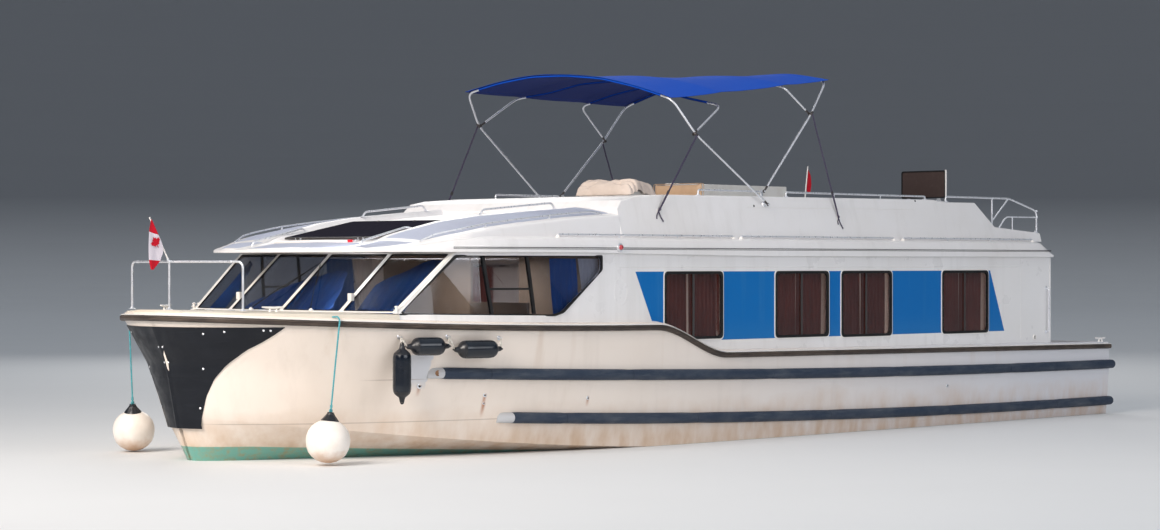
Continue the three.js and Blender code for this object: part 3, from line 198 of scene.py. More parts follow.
class Paint:
    """A node material round one Principled shader. Its coordinates are the boat's own metres."""

    def __init__(self, name, roughness=0.5, **values):
        self.data = bpy.data.materials.new(name)
        self.data.use_nodes = True
        self.tree = self.data.node_tree
        self.shader = self.tree.nodes["Principled BSDF"]
        self.place = self.node("TexCoord").outputs["Object"]
        self.normal = None
        self.set(Roughness=roughness, **values)

    def node(self, kind, **settings):
        made = self.tree.nodes.new("ShaderNode" + kind)
        for name, value in settings.items():
            setattr(made, name, value)
        return made

    def feed(self, socket, value):
        if isinstance(value, bpy.types.NodeSocket):
            self.tree.links.new(value, socket)
        else:
            socket.default_value = value

    def set(self, **values):
        """Feeds the shader's sockets, whose spaces are written as underscores."""
        for name, value in values.items():
            self.feed(self.shader.inputs[name.replace("_", " ")], value)

    def stretched(self, scale):
        made = self.node("Mapping")
        self.feed(made.inputs["Vector"], self.place)
        made.inputs["Scale"].default_value = scale
        return made.outputs[0]

    def noise(self, scale, stretch=(1, 1, 1), detail=4.0, rough=0.55):
        made = self.node("TexNoise")
        self.feed(made.inputs["Vector"], self.stretched(stretch))
        made.inputs["Scale"].default_value = scale
        made.inputs["Detail"].default_value = detail
        made.inputs["Roughness"].default_value = rough
        return made.outputs["Fac"]

    def cells(self, scale, stretch=(1, 1, 1), feature="F1"):
        made = self.node("TexVoronoi", feature=feature)
        self.feed(made.inputs["Vector"], self.stretched(stretch))
        made.inputs["Scale"].default_value = scale
        return made.outputs["Distance"]

    def waves(self, scale, direction="X", distortion=0.0):
        made = self.node("TexWave", bands_direction=direction)
        self.feed(made.inputs["Vector"], self.place)
        made.inputs["Scale"].default_value = scale
        made.inputs["Distortion"].default_value = distortion
        return made.outputs["Fac"]

    def axis(self, index):
        made = self.node("SeparateXYZ")
        self.feed(made.inputs[0], self.place)
        return made.outputs[index]

    def ramp(self, value, low, high, start=0.0, end=1.0):
        made = self.node("MapRange")
        for name, given in (("Value", value), ("From Min", low), ("From Max", high), ("To Min", start),
                            ("To Max", end)):
            self.feed(made.inputs[name], given)
        return made.outputs[0]

    def maths(self, operation, a, b=0.5):
        made = self.node("Math", operation=operation)
        self.feed(made.inputs[0], a)
        self.feed(made.inputs[1], b)
        return made.outputs[0]

    def mix(self, share, a, b):
        made = self.node("Mix", data_type="RGBA")
        self.feed(made.inputs[0], share)
        self.feed(made.inputs[6], a)
        self.feed(made.inputs[7], b)
        return made.outputs[2]

    def bump(self, height, distance=0.001, strength=1.0):
        made = self.node("Bump")
        self.feed(made.inputs["Height"], height)
        made.inputs["Distance"].default_value = distance
        made.inputs["Strength"].default_value = strength
        if self.normal:
            self.feed(made.inputs["Normal"], self.normal)
        self.normal = made.outputs[0]
        self.set(Normal=self.normal)
        return self


class Shape:
    """Points and faces gathered for one piece. Each face keeps the number of its material."""

    def __init__(self):
        self.points, self.faces, self.marks = [], [], []

    def put(self, points, faces, marks=0):
        start = len(self.points)
        self.points += [Vector(p) for p in points]
        self.faces += [tuple(start + i for i in face) for face in faces]
        self.marks += marks if isinstance(marks, list) else [marks] * len(faces)
        return self

    def loft(self, rings, mark=0, looped=False, sides=None):
        """A skin through closed rings of equal length. `sides` may give each side its material number."""
        count, total = len(rings[0]), len(rings) * len(rings[0])
        faces, marks = [], []
        for i in range(len(rings) - (0 if looped else 1)):
            for j in range(count):
                a, b = i * count + j, i * count + (j + 1) % count
                faces.append((a, b, (b + count) % total, (a + count) % total))
                marks.append(sides[j] if sides else mark)
        if not looped:
            faces += [tuple(range(count))[::-1], tuple(range(total - count, total))]
            marks += [mark, mark]
        return self.put([p for ring in rings for p in ring], faces, marks)

    def tube(self, path, radius, sides=12, mark=0, looped=False):
        """A round tube along points, carried without twist. `radius` may be a list, one for each point."""
        line = [Vector(p) for p in path]
        radii = radius if isinstance(radius, (list, tuple)) else [radius] * len(line)
        last = len(line) - 1
        rings, out = [], None
        for i, here in enumerate(line):
            before = line[i - 1] if i or looped else here
            after = line[(i + 1) % len(line)] if i < last or looped else here
            run = (after - before).normalized()
            out = (out - run * out.dot(run)).normalized() if out else run.orthogonal().normalized()
            side = run.cross(out)
            rings.append([here + (out * math.cos(a) + side * math.sin(a)) * radii[i] for a in circle(sides)])
        return self.loft(rings, mark, looped)

    def rope(self, path, radius, mark=0):
        """A rope of three strands laid round a line."""
        line = spaced(path, radius * 0.9)
        strands, out = ([], [], []), None
        for i, here in enumerate(line):
            run = (line[min(i + 1, len(line) - 1)] - line[max(i - 1, 0)]).normalized()
            out = (out - run * out.dot(run)).normalized() if out else run.orthogonal().normalized()
            side = run.cross(out)
            for k, strand in enumerate(strands):
                a = 2 * math.pi * (i / 8 + k / 3)
                strand.append(here + (out * math.cos(a) + side * math.sin(a)) * radius * 0.46)
        for strand in strands:
            self.tube(strand, radius * 0.54, 7, mark)
        return self

    def slab(self, rows, thick, mark=0, lift=0.0):
        """A closed sheet over a grid of points: it starts `lift` above the grid and is `thick` through."""
        grid = [[Vector(p) for p in row] for row in rows]
        high, wide = len(grid), len(grid[0])
        top, under = [], []
        for i in range(high):
            for j in range(wide):
                down = grid[min(i + 1, high - 1)][j] - grid[max(i - 1, 0)][j]
                across = grid[i][min(j + 1, wide - 1)] - grid[i][max(j - 1, 0)]
                normal = down.cross(across).normalized()
                top.append(grid[i][j] + normal * (lift + thick))
                under.append(grid[i][j] + normal * lift)
        count = high * wide
        faces = []
        for i in range(high - 1):
            for j in range(wide - 1):
                a, b, c, d = i * wide + j, i * wide + j + 1, (i + 1) * wide + j + 1, (i + 1) * wide + j
                faces += [(a, b, c, d), (count + d, count + c, count + b, count + a)]
        edge = list(range(wide)) + [i * wide + wide - 1 for i in range(1, high)]
        edge += [(high - 1) * wide + j for j in range(wide - 2, -1, -1)]
        edge += [i * wide for i in range(high - 2, 0, -1)]
        for a, b in zip(edge, edge[1:] + edge[:1]):
            faces.append((b, a, count + a, count + b))
        return self.put(top + under, faces, mark)

    def box(self, low, high, mark=0):
        (x0, y0, z0), (x1, y1, z1) = low, high
        return self.loft([[(x, y, z) for x, y in corners(x0, x1, y0, y1)] for z in (z0, z1)], mark)

    def turned(self, profile, centre, direction=(0, 0, 1), sides=24, mark=0):
        """A body turned about a line, from (radius, height) points whose ends lie near the axis."""
        turn = UP.rotation_difference(Vector(direction).normalized())
        rings = []
        for radius, height in profile:
            r = max(radius, AXIS_HOLE)
            ring = [Vector((r * math.cos(a), r * math.sin(a), height)) for a in circle(sides)]
            rings.append([turn @ p + Vector(centre) for p in ring])
        return self.loft(rings, mark)

    def barrel(self, centre, section, count, mark=0):
        """A hollow turned about a line along Y, from (radius, along) points."""
        rings = []
        for a in circle(count):
            out = Vector((math.cos(a), 0, math.sin(a)))
            rings.append([Vector(centre) + out * r + Vector((0, h, 0)) for r, h in section])
        return self.loft(rings, mark, looped=True)

    def plate(self, outline, place, mark=0):
        """A flat plate: `place(a, b)` gives the two points, on its two faces, of each outline point."""
        return self.loft([list(ring) for ring in zip(*[place(*p) for p in outline])], mark)

    def frame(self, outer, inner, place, mark=0):
        """A flat ring between two outlines of equal length."""
        rings = [[*place(*a), *place(*b)[::-1]] for a, b in zip(outer, inner)]
        return self.loft(rings, mark, looped=True)

    def mesh(self, name, materials, bevel=0.0):
        """The shape as a mesh whose faces look outwards and whose sharp edges may be bevelled."""
        mesh = bpy.data.meshes.new(name)
        mesh.from_pydata([tuple(p) for p in self.points], [], self.faces)
        for material in materials:
            mesh.materials.append(material.data)
        mesh.polygons.foreach_set("material_index", self.marks)
        with editing(mesh) as work:
            bmesh.ops.recalc_face_normals(work, faces=work.faces)
            if bevel:
                sharp = [e for e in work.edges if e.is_manifold and e.calc_face_angle(0) > math.radians(40)]
                bmesh.ops.bevel(work, geom=sharp, offset=bevel, segments=2, profile=0.7, affect="EDGES",
                                clamp_overlap=True)
        return mesh

    def build(self, name, materials, body="boat", replaces=(), slot=None, smooth=35.0, bevel=0.0):
        return finished(name, self.mesh(name, materials, bevel), body, replaces, smooth)


def finished(name, mesh, body, replaces=(), smooth=35.0):
    """A mesh made into a shown piece that rides on a body."""
    mesh.polygons.foreach_set("use_smooth", [True] * len(mesh.polygons))
    mesh.set_sharp_from_angle(angle=math.radians(smooth))
    piece = linked(name, mesh)
    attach(piece, body)
    if replaces:
        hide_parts(*replaces)
    return piece


def evaluated(thing):
    """A mesh of the object as its modifiers leave it at the present frame."""
    return bpy.data.meshes.new_from_object(thing.evaluated_get(bpy.context.evaluated_depsgraph_get()))


def carve(shape, materials, cutters, joins=()):
    """A shape's mesh with others joined to it and others cut out of it."""
    body = linked("carving", shape.mesh("carving", materials))
    tools = []
    for operation, shapes in (("UNION", joins), ("DIFFERENCE", cutters)):
        tools += [(linked("carving", each.mesh("carving", materials)), operation) for each in shapes]
    for tool, operation in tools:
        step = body.modifiers.new("carve", "BOOLEAN")
        step.operation = operation
        step.solver = "EXACT"
        step.object = tool
    mesh = evaluated(body)
    for made in [body] + [tool for tool, _ in tools]:
        bpy.data.objects.remove(made)
    return mesh


# Materials
def gelcoat(name, colour, grime, roughness=0.3, streaks=0.25):
    """Glassfibre skin: slow changes of tint, thin rain streaks down it and a little waviness."""
    paint = Paint(name, roughness, Coat_Weight=0.25, Coat_Roughness=0.2)
    tint = paint.mix(paint.ramp(paint.noise(0.55), 0.3, 0.75, 0, 0.55), colour, grime)
    runs = paint.ramp(paint.noise(7, (1, 1, 0.09), detail=6), 0.52, 0.78, 0, streaks)
    colour_out = paint.mix(runs, tint, tuple(c * 0.72 for c in grime[:3]) + (1,))
    specks = paint.ramp(paint.noise(60, detail=8, rough=0.7), 0.68, 0.8, 0, 0.2)
    colour_out = paint.mix(specks, colour_out, tone(110, 96, 80))
    paint.set(Base_Color=colour_out,
              Roughness=paint.ramp(paint.noise(3.5), 0.3, 0.7, roughness - 0.06, roughness + 0.12))
    paint.bump(paint.noise(2.2, detail=2), 0.004, 0.25)
    paint.bump(paint.noise(220, detail=2), 0.0002, 0.25)
    return paint, colour_out


def hull_paint():
    """Gelcoat that browns towards the water and is painted cooler and greyer aft as shade, with a teal boot
    stripe forward and rust under the rub rail.
    """
    paint, colour = gelcoat("hull_gelcoat", tone(247, 236, 226), tone(232, 216, 200), 0.34, 0.16)
    height, length = paint.axis(2), paint.axis(0)
    # Painted shade: from x = 2.5 aft the white is mixed towards a cooler, greyer tone.
    colour = paint.mix(paint.ramp(length, 2.5, -5.5, 0, 0.85), colour, tone(222, 224, 232))
    wobble = paint.ramp(paint.noise(1.6, (1, 1, 2), detail=6), 0.25, 0.75, -0.1, 0.1)
    low = paint.maths("ADD", height, wobble)
    stain = paint.ramp(low, 0.1, 0.55, 0.75, 0.0)
    patchy = paint.maths("MULTIPLY", stain,
                         paint.ramp(paint.noise(5, (1, 1, 0.35), detail=8), 0.3, 0.7, 0.15, 1.0))
    colour = paint.mix(patchy, colour, tone(196, 152, 104))
    runs = paint.ramp(paint.noise(3.2, (1, 1, 0.05), detail=8), 0.6, 0.78)
    under_rail = paint.ramp(height, 0.5, 1.35, 0.0, 0.35)
    colour = paint.mix(paint.maths("MULTIPLY", runs, under_rail), colour, tone(188, 150, 112))
    ragged = paint.ramp(paint.noise(14, detail=4), 0.2, 0.8, -0.02, 0.02)
    across = paint.maths("ADD", length, ragged)
    patch = paint.maths("MULTIPLY", paint.ramp(across, 4.985, 5.0), paint.ramp(across, 5.235, 5.25, 1.0, 0.0))
    tall = paint.maths("MULTIPLY", paint.ramp(height, 0.72, 0.84), paint.ramp(height, 1.09, 1.11, 1.0, 0.0))
    colour = paint.mix(paint.maths("MULTIPLY", paint.maths("MULTIPLY", patch, tall), 0.8), colour,
                       tone(206, 212, 222))
    for level, fore, aft in ((0.838, 5.7, 4.93), (0.39, 6.9, 2.6)):
        band = paint.maths("MULTIPLY", paint.ramp(height, level - 0.006, level, 0.0, 1.0),
                           paint.ramp(height, level, level + 0.01, 1.0, 0.0))
        reach = paint.maths("MULTIPLY", paint.ramp(length, aft, aft + 0.2),
                            paint.ramp(length, fore - 0.2, fore, 0.55, 0.0))
        colour = paint.mix(paint.maths("MULTIPLY", band, reach), colour, tone(150, 128, 112))
    for x, z, fall in ((4.274, 0.654, 0.22), (4.265, 0.567, 0.16), (5.055, 0.77, 0.12), (2.9, 0.58, 0.1)):
        near = paint.maths("SUBTRACT", 1.0,
                           paint.ramp(paint.maths("ABSOLUTE", paint.maths("SUBTRACT", length, x)), 0.0,
                                      0.028))
        drop = paint.maths("MULTIPLY", paint.ramp(height, z - fall, z),
                           paint.ramp(height, z, z + 0.01, 1.0, 0.0))
        colour = paint.mix(paint.maths("MULTIPLY", near, drop), colour, tone(176, 104, 52))
    top = paint.ramp(length, 3.0, 6.4, 0.0, BOOT_TOP)
    edge = paint.maths("SUBTRACT", top, height)
    teal = paint.mix(paint.ramp(paint.noise(12, detail=6), 0.45, 0.7), tone(112, 172, 158),
                     tone(150, 150, 118))
    colour = paint.mix(paint.ramp(edge, -0.004, 0.004), colour, teal)
    weed = paint.mix(paint.ramp(paint.noise(20, detail=6), 0.3, 0.7), tone(58, 62, 48), tone(84, 74, 52))
    colour = paint.mix(paint.ramp(height, -0.01, -0.05), colour, weed)
    paint.set(Base_Color=colour)
    return paint


def nonslip(name, colour, dark):
    """Moulded non-slip: a fine raised grain, dirtier between the grains."""
    paint = Paint(name, 0.62)
    grain = paint.cells(260)
    tint = paint.mix(paint.ramp(paint.noise(1.3, detail=5), 0.3, 0.7, 0, 0.6), colour, dark)
    paint.set(Base_Color=paint.mix(paint.ramp(grain, 0.2, 0.6, 0, 0.25), tint, dark))
    paint.bump(paint.ramp(grain, 0.1, 0.5), 0.0008, 0.6)
    return paint


def rubber(name, colour, dust, roughness=0.6, wear=0.5):
    """Weathered rubber: dusty patches, long scuffs and a fine pitting."""
    paint = Paint(name, roughness, Specular_IOR_Level=0.3)
    patches = paint.ramp(paint.noise(2.6, (1, 1, 3), detail=8), 0.42, 0.72, 0, wear)
    scuffs = paint.ramp(paint.noise(26, (0.12, 0.12, 1), detail=5), 0.58, 0.72, 0, wear * 0.8)
    shade = paint.mix(patches, colour, dust)
    paint.set(Base_Color=paint.mix(scuffs, shade, dust))
    paint.set(Roughness=paint.ramp(paint.noise(9), 0.3, 0.7, roughness - 0.12, roughness + 0.12))
    paint.bump(paint.noise(90, detail=6), 0.0008, 0.5)
    return paint


def metal(name, colour, roughness=0.2, spots=0.15):
    """Bright or cast metal with faint brown spots."""
    paint = Paint(name, roughness, Metallic=0.75)
    paint.set(Base_Color=paint.mix(paint.ramp(paint.noise(14, detail=6), 0.5, 0.8, 0, spots), colour,
                                   tone(120, 96, 78)))
    paint.set(Roughness=paint.ramp(paint.noise(40, (1, 1, 0.2)), 0.3, 0.7, roughness - 0.07,
                                   roughness + 0.12))
    paint.bump(paint.noise(300, (1, 1, 0.1)), 0.0001, 0.3)
    return paint


def glass(name, colour, roughness=0.03, bend=1.45):
    """Tinted glass, smeared a little."""
    paint = Paint(name, roughness, Transmission_Weight=1.0, IOR=bend)
    smears = paint.ramp(paint.noise(6, (1, 1, 0.4), detail=6), 0.4, 0.8, roughness, roughness + 0.07)
    paint.set(Base_Color=paint.mix(paint.ramp(paint.noise(2), 0.3, 0.7, 0, 0.2), colour, tone(90, 90, 86)),
              Roughness=smears)
    return paint


def acrylic(name, colour, haze):
    """Dark acrylic, almost opaque, with dust in its scratches."""
    paint = Paint(name, 0.5, Specular_IOR_Level=0.0)
    dust = paint.ramp(paint.noise(18, (1, 1, 1), detail=8), 0.5, 0.8, 0, 0.35)
    paint.set(Base_Color=paint.mix(dust, colour, haze),
              Roughness=paint.ramp(paint.noise(5), 0.3, 0.7, 0.3, 0.5))
    paint.bump(paint.noise(3, detail=2), 0.002, 0.2)
    return paint


def cloth(name, colour, faded, weave=420.0, crease=1.0, sheen=0.15, roughness=0.85):
    """Woven cloth: crossed threads, fading and soft creases."""
    paint = Paint(name, roughness, Sheen_Weight=sheen, Sheen_Roughness=0.5, Specular_IOR_Level=0.2)
    tint = paint.mix(paint.ramp(paint.noise(1.8, detail=5), 0.3, 0.72, 0, 0.7), colour, faded)
    threads = paint.maths("MULTIPLY", paint.waves(weave, "X"), paint.waves(weave, "Y"))
    threads = paint.maths("ADD", threads, paint.waves(weave, "Z"))
    paint.set(Base_Color=paint.mix(paint.ramp(threads, 0.4, 1.2, 0, 0.16), tint,
                                   tuple(c * 0.6 for c in colour[:3]) + (1,)))
    paint.bump(paint.noise(5, detail=5), 0.006 * crease, 0.5)
    paint.bump(threads, 0.0004, 0.5)
    return paint


def vinyl(name, colour, dirt, roughness=0.45):
    """Moulded plastic or padded vinyl, scuffed and dusty."""
    paint = Paint(name, roughness, Coat_Weight=0.1)
    tint = paint.mix(paint.ramp(paint.noise(4, detail=7), 0.42, 0.75, 0, 0.6), colour, dirt)
    paint.set(Base_Color=tint,
              Roughness=paint.ramp(paint.noise(11), 0.3, 0.7, roughness - 0.08, roughness + 0.12))
    paint.bump(paint.cells(320), 0.0004, 0.4)
    paint.bump(paint.noise(9, detail=3), 0.002, 0.3)
    return paint


def ball_paint():
    """White vinyl, browned where it sits in the water."""
    paint = Paint("ball_vinyl", 0.4, Coat_Weight=0.1)
    clean = paint.mix(paint.ramp(paint.noise(6, detail=6), 0.4, 0.75, 0, 0.5), tone(248, 241, 234),
                      tone(226, 214, 200))
    level = paint.maths("ADD", paint.axis(2), paint.ramp(paint.noise(9, detail=6), 0.2, 0.8, -0.05, 0.05))
    stain = paint.ramp(level, 0.02, 0.16, 0.85, 0.0)
    paint.set(Base_Color=paint.mix(stain, clean, tone(190, 138, 84)))
    paint.bump(paint.noise(30, detail=5), 0.0008, 0.4)
    return paint


def rope_paint(name, colour, dirt):
    """Laid rope: slanting strands round the line."""
    paint = Paint(name, 0.8)
    strands = paint.waves(38, "DIAGONAL", 0.4)
    tint = paint.mix(paint.ramp(paint.noise(30, detail=5), 0.4, 0.7, 0, 0.6), colour, dirt)
    paint.set(Base_Color=paint.mix(paint.ramp(strands, 0.0, 0.4, 0.5, 0.0), tint,
                                   tuple(c * 0.45 for c in colour[:3]) + (1,)))
    paint.bump(strands, 0.002, 0.8)
    return paint


def wood(name, light, dark):
    """Wood with an upright grain."""
    paint = Paint(name, 0.35, Coat_Weight=0.3)
    grain = paint.noise(9, (1, 1, 0.06), detail=8, rough=0.7)
    paint.set(Base_Color=paint.mix(paint.ramp(grain, 0.35, 0.65), light, dark))
    paint.bump(grain, 0.0006, 0.3)
    return paint


def stripe_paint():
    """Blue vinyl film, slightly faded and dusty towards its lower edge."""
    paint = Paint("stripe_film", 0.4, Specular_IOR_Level=0.25)
    blue = paint.mix(paint.ramp(paint.noise(0.8, detail=5), 0.3, 0.7, 0, 0.5), tone(2, 106, 180),
                     tone(8, 112, 184))
    dusty = paint.ramp(paint.axis(2), STRIPE["low"], STRIPE["low"] + 0.25, 0.18, 0.0)
    runs = paint.ramp(paint.noise(9, (1, 1, 0.07), detail=6), 0.5, 0.75, 0, 0.2)
    colour = paint.mix(paint.maths("MAXIMUM", dusty, runs), blue, tone(70, 134, 182))
    paint.set(Base_Color=colour, Roughness=paint.ramp(paint.noise(6), 0.3, 0.7, 0.28, 0.45))
    paint.bump(paint.noise(25, detail=3), 0.0006, 0.3)
    return paint


def canvas_paint():
    """The bimini's blue cloth, with painted shade where it faces down."""
    paint = cloth("blue_canvas", tone(0, 70, 176), tone(6, 80, 188), 300, 0.5, 0.0)
    facing = paint.node("SeparateXYZ")
    paint.feed(facing.inputs[0], paint.node("NewGeometry").outputs["Normal"])
    # Painted shade: faces that look down are mixed to a dark navy.
    facing_down_shade = paint.ramp(facing.outputs[2], -0.45, -0.1, 1.0, 0.0)
    blue = paint.mix(paint.noise(2, detail=4), tone(0, 72, 186), tone(4, 84, 196))
    paint.set(Base_Color=paint.mix(facing_down_shade, blue, tone(6, 34, 104)))
    return paint


HULL = hull_paint()
CABIN, _ = gelcoat("cabin_gelcoat", tone(243, 242, 243), tone(228, 224, 220), 0.3, 0.22)
ROOF, _ = gelcoat("roof_gelcoat", tone(241, 240, 242), tone(224, 219, 214), 0.36, 0.2)
LIP, _ = gelcoat("lip_gelcoat", tone(246, 243, 240), tone(232, 226, 218), 0.34, 0.12)
INSIDE = Paint("inner_lining", 0.6)
INSIDE.set(Base_Color=INSIDE.mix(INSIDE.noise(3), tone(150, 132, 112), tone(120, 104, 88)))
INSIDE.bump(INSIDE.noise(50), 0.0006, 0.4)
# Grey-lavender non-slip. On the roof's shoulders and brow this tint is painted shade on faces that look up
# and forward. On the step treads it is plain grey tread.
NONSLIP_AND_SHADE = nonslip("roof_nonslip_painted_shade", tone(186, 194, 214), tone(160, 164, 184))
DECK = nonslip("deck_nonslip", tone(226, 220, 208), tone(190, 180, 164))
STRAKE = rubber("strake_rubber", tone(46, 58, 76), tone(98, 104, 112), 0.6, 0.45)
RAIL = rubber("rail_rubber", tone(66, 58, 54), tone(116, 102, 90), 0.5, 0.5)
GUARD = rubber("guard_rubber", tone(12, 17, 26), tone(40, 44, 54), 0.45, 0.25)
PAD = rubber("pad_rubber", tone(196, 198, 202), tone(150, 138, 126), 0.6, 0.5)
WORN = rubber("worn_end", tone(132, 96, 70), tone(186, 146, 112), 0.7, 0.8)
GASKET = rubber("gasket", tone(22, 22, 24), tone(58, 56, 54), 0.5, 0.2)
STEEL = metal("stainless", tone(236, 238, 243), 0.3, 0.05)
ALLOY = metal("window_alloy", tone(92, 88, 88), 0.4, 0.2)
CABIN_GLASS = glass("cabin_glass", tone(214, 200, 198))
SALOON_GLASS = glass("saloon_glass", tone(206, 210, 222), 0.03, 1.4)
SCREEN_GLASS = glass("screen_glass", tone(186, 188, 194), 0.02, 1.16)
HATCH_GLASS = acrylic("hatch_acrylic", tone(40, 39, 48), tone(60, 58, 68))
SMOKED = acrylic("smoked_acrylic", tone(78, 66, 64), tone(96, 84, 80))
CURTAIN = cloth("curtain_brown", tone(150, 84, 76), tone(120, 62, 58))
PALE_CURTAIN = cloth("curtain_pale", tone(214, 212, 216), tone(190, 186, 186))
BLUE_CURTAIN = cloth("curtain_blue", tone(34, 96, 178), tone(24, 76, 150))
CANVAS = canvas_paint()
COVER = cloth("cream_cover", tone(228, 213, 202), tone(200, 184, 172), 300, 1.6)
WEBBING = cloth("webbing", tone(66, 60, 84), tone(96, 88, 106), 700, 0.2)
FLAG_RED = cloth("flag_red", tone(214, 20, 44), tone(190, 16, 36), 500, 0.6, 0.1)
FLAG_WHITE = cloth("flag_white", tone(240, 232, 240), tone(214, 206, 220), 500, 0.6, 0.1)
TAN = vinyl("tan_vinyl", tone(202, 172, 142), tone(168, 138, 110))
SEAT = vinyl("seat_gelcoat", tone(236, 233, 228), tone(214, 206, 196))
BALL = ball_paint()
FENDER = vinyl("fender_vinyl", tone(10, 18, 30), tone(34, 42, 52), 0.16)
NECK = vinyl("fender_neck", tone(22, 24, 30), tone(46, 48, 56), 0.35)
BRONZE = metal("bronze", tone(178, 140, 84), 0.35, 0.5)
ANTIFOUL = rubber("antifouling", tone(44, 46, 50), tone(82, 78, 64), 0.7, 0.6)
ENGINE = rubber("engine_enamel", tone(34, 74, 104), tone(70, 86, 92), 0.4, 0.3)
CABINET = wood("cabinet_wood", tone(206, 170, 128), tone(178, 140, 100))
TEAL_ROPE = rope_paint("teal_rope", tone(90, 178, 188), tone(66, 140, 152))
WHITE_ROPE = rope_paint("white_rope", tone(226, 222, 214), tone(176, 166, 150))
RED_LENS = Paint("red_lens", 0.1, Coat_Weight=1.0)
RED_LENS.set(Base_Color=RED_LENS.mix(RED_LENS.cells(160), tone(150, 16, 34), tone(196, 60, 70)))
RED_LENS.bump(RED_LENS.waves(120, "Z"), 0.0006, 0.6)
STRIPE_FILM = stripe_paint()

NODE_PAINTS = {
    "aft_bulkhead": CABIN, "aft_door": CABIN, "cabin_side_port": CABIN, "cabin_side_starboard": CABIN,
    "foredeck": DECK, "windscreen_frame": LIP, "windscreen_glass": SCREEN_GLASS,
    "saloon_window_port": SALOON_GLASS, "saloon_window_starboard": SALOON_GLASS,
    "flybridge_coaming": ROOF, "skylight_box": ROOF, "skylight_lid": SMOKED,
    "roof": ROOF, "roof_hatch": HATCH_GLASS, "helm_console": SEAT, "console_cover": COVER, "helm_seat": TAN,
    "bench_port": SEAT, "bench_starboard": SEAT, "hull": HULL, "rub_rail": RAIL, "stem_guard": GUARD,
    "cockpit_sole": DECK, "cockpit_steps": DECK, "engine": ENGINE, "galley_unit": CABINET,
    "propeller": BRONZE, "rudder": ANTIFOUL, "helm_wheel": STEEL, "side_fenders": FENDER,
    "ball_fender_port": BALL, "ball_fender_starboard": BALL, "bimini_canopy": CANVAS,
    "bow_flag": FLAG_RED, "stern_flag": FLAG_RED,
}
PREFIX_PAINTS = (("strake", STRAKE), ("cabin_window", CABIN_GLASS), ("cabin_curtains", CURTAIN),
                 ("strap", WEBBING))


def dress_nodes():
    """Every CAD node gets a material and smooth shading between its shallow facets."""
    for name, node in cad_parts.items():
        paint = NODE_PAINTS.get(name)
        for prefix, given in PREFIX_PAINTS:
            if name.startswith(prefix):
                paint = given
        mesh = node.data
        mesh.materials.clear()
        mesh.materials.append((paint or STEEL).data)
        mesh.polygons.foreach_set("use_smooth", [True] * len(mesh.polygons))
        mesh.set_sharp_from_angle(angle=math.radians(33))


# Camera, light and floor
def make_camera():
    """The camera of the photograph: its place, direction and lens as solved from it."""
    data = bpy.data.cameras.new("camera")
    data.lens = LENS
    data.sensor_width = SENSOR
    data.shift_y = SHIFT_Y
    data.clip_end = 300
    camera = linked("camera", data)
    camera.location = CAMERA_AT
    camera.rotation_euler = Vector(CAMERA_DIRECTION).to_track_quat("-Z", "Y").to_euler()
    bpy.context.scene.camera = camera


def area_light(name, location, target, size, power, colour, spread=180):
    """A rectangular lamp that looks at a target."""
    data = bpy.data.lights.new(name, "AREA")
    data.shape = "RECTANGLE"
    data.size = size[0]
    data.size_y = size[1]
    data.energy = power
    data.color = colour
    data.spread = math.radians(spread)
    light = linked(name, data)
    light.location = location
    light.rotation_euler = (Vector(target) - Vector(location)).to_track_quat("-Z", "Y").to_euler()


def make_lights():
    """A pale sky, a low warm sun from ahead, soft fills, and lamps in the saloon and the berths."""
    bpy.context.scene.view_settings.view_transform = "Standard"
    world = bpy.data.worlds.new("studio")
    bpy.context.scene.world = world
    world.use_nodes = True
    back = world.node_tree.nodes["Background"]
    back.inputs["Color"].default_value = (0.86, 0.92, 1.0, 1)
    back.inputs["Strength"].default_value = 0.5
    area_light("key", (24, 4, 13), (3, 0, 1), (14, 10), 1350, (1.0, 0.92, 0.84), 80)
    area_light("fill", (2, 26, 10), (-1, 0, 1.5), (20, 10), 2000, (0.94, 0.96, 1.0))
    area_light("rim", (-16, -18, 12), (0, 0, 2), (12, 10), 1200, (1.0, 0.98, 0.95))
    area_light("saloon_lamp", (3.3, 0, 2.1), (3.3, 0, 0), (1.2, 1.6), 30, (1.0, 0.93, 0.88))
    area_light("screen_lamp", (5.38, 0.7, 1.62), (4.6, 0.5, 1.7), (0.3, 2.0), 9, (0.94, 0.96, 1.0))
    area_light("berth_lamp", (-1.6, 0, 2.1), (-1.6, 0, 0), (6.0, 1.6), 60, (1.0, 0.93, 0.88))


FLOOR = {"flat": 100, "sweep": 60, "squash": 0.7, "top": 110, "around": 72}


def make_floor():
    """A pale floor at the waterline, swept up into a far wall that darkens with height."""
    flat, sweep, around = FLOOR["flat"], FLOOR["sweep"], FLOOR["around"]
    arc = [(flat + sweep * math.sin(a), sweep * (1 - math.cos(a)) * FLOOR["squash"])
           for a in steps(0, math.pi / 2, 24)]
    profile = [(0.5, 0), (20, 0), (60, 0), *arc, (flat + sweep, FLOOR["top"])]
    paint = Paint("floor", 0.7, Specular_IOR_Level=0.2)
    pale = paint.mix(paint.noise(0.4), (0.8, 0.81, 0.82, 1), (0.77, 0.78, 0.79, 1))
    paint.set(Base_Color=paint.mix(paint.ramp(paint.axis(2), 0.05, 6.0), pale, (0.3, 0.31, 0.33, 1)))
    rings = [[(r * math.cos(a), r * math.sin(a), z) for a in circle(around)] for r, z in profile]
    shape = Shape().put(rings[0], [tuple(range(around))])
    for low, high in zip(rings, rings[1:]):
        pairs = [(i, (i + 1) % around) for i in range(around)]
        shape.put(low + high, [(a, b, around + b, around + a) for a, b in pairs])
    mesh = bpy.data.meshes.new("floor")
    mesh.from_pydata([tuple(p) for p in shape.points], [], shape.faces)
    mesh.polygons.foreach_set("use_smooth", [True] * len(mesh.polygons))
    mesh.materials.append(paint.data)
    linked("floor", mesh)


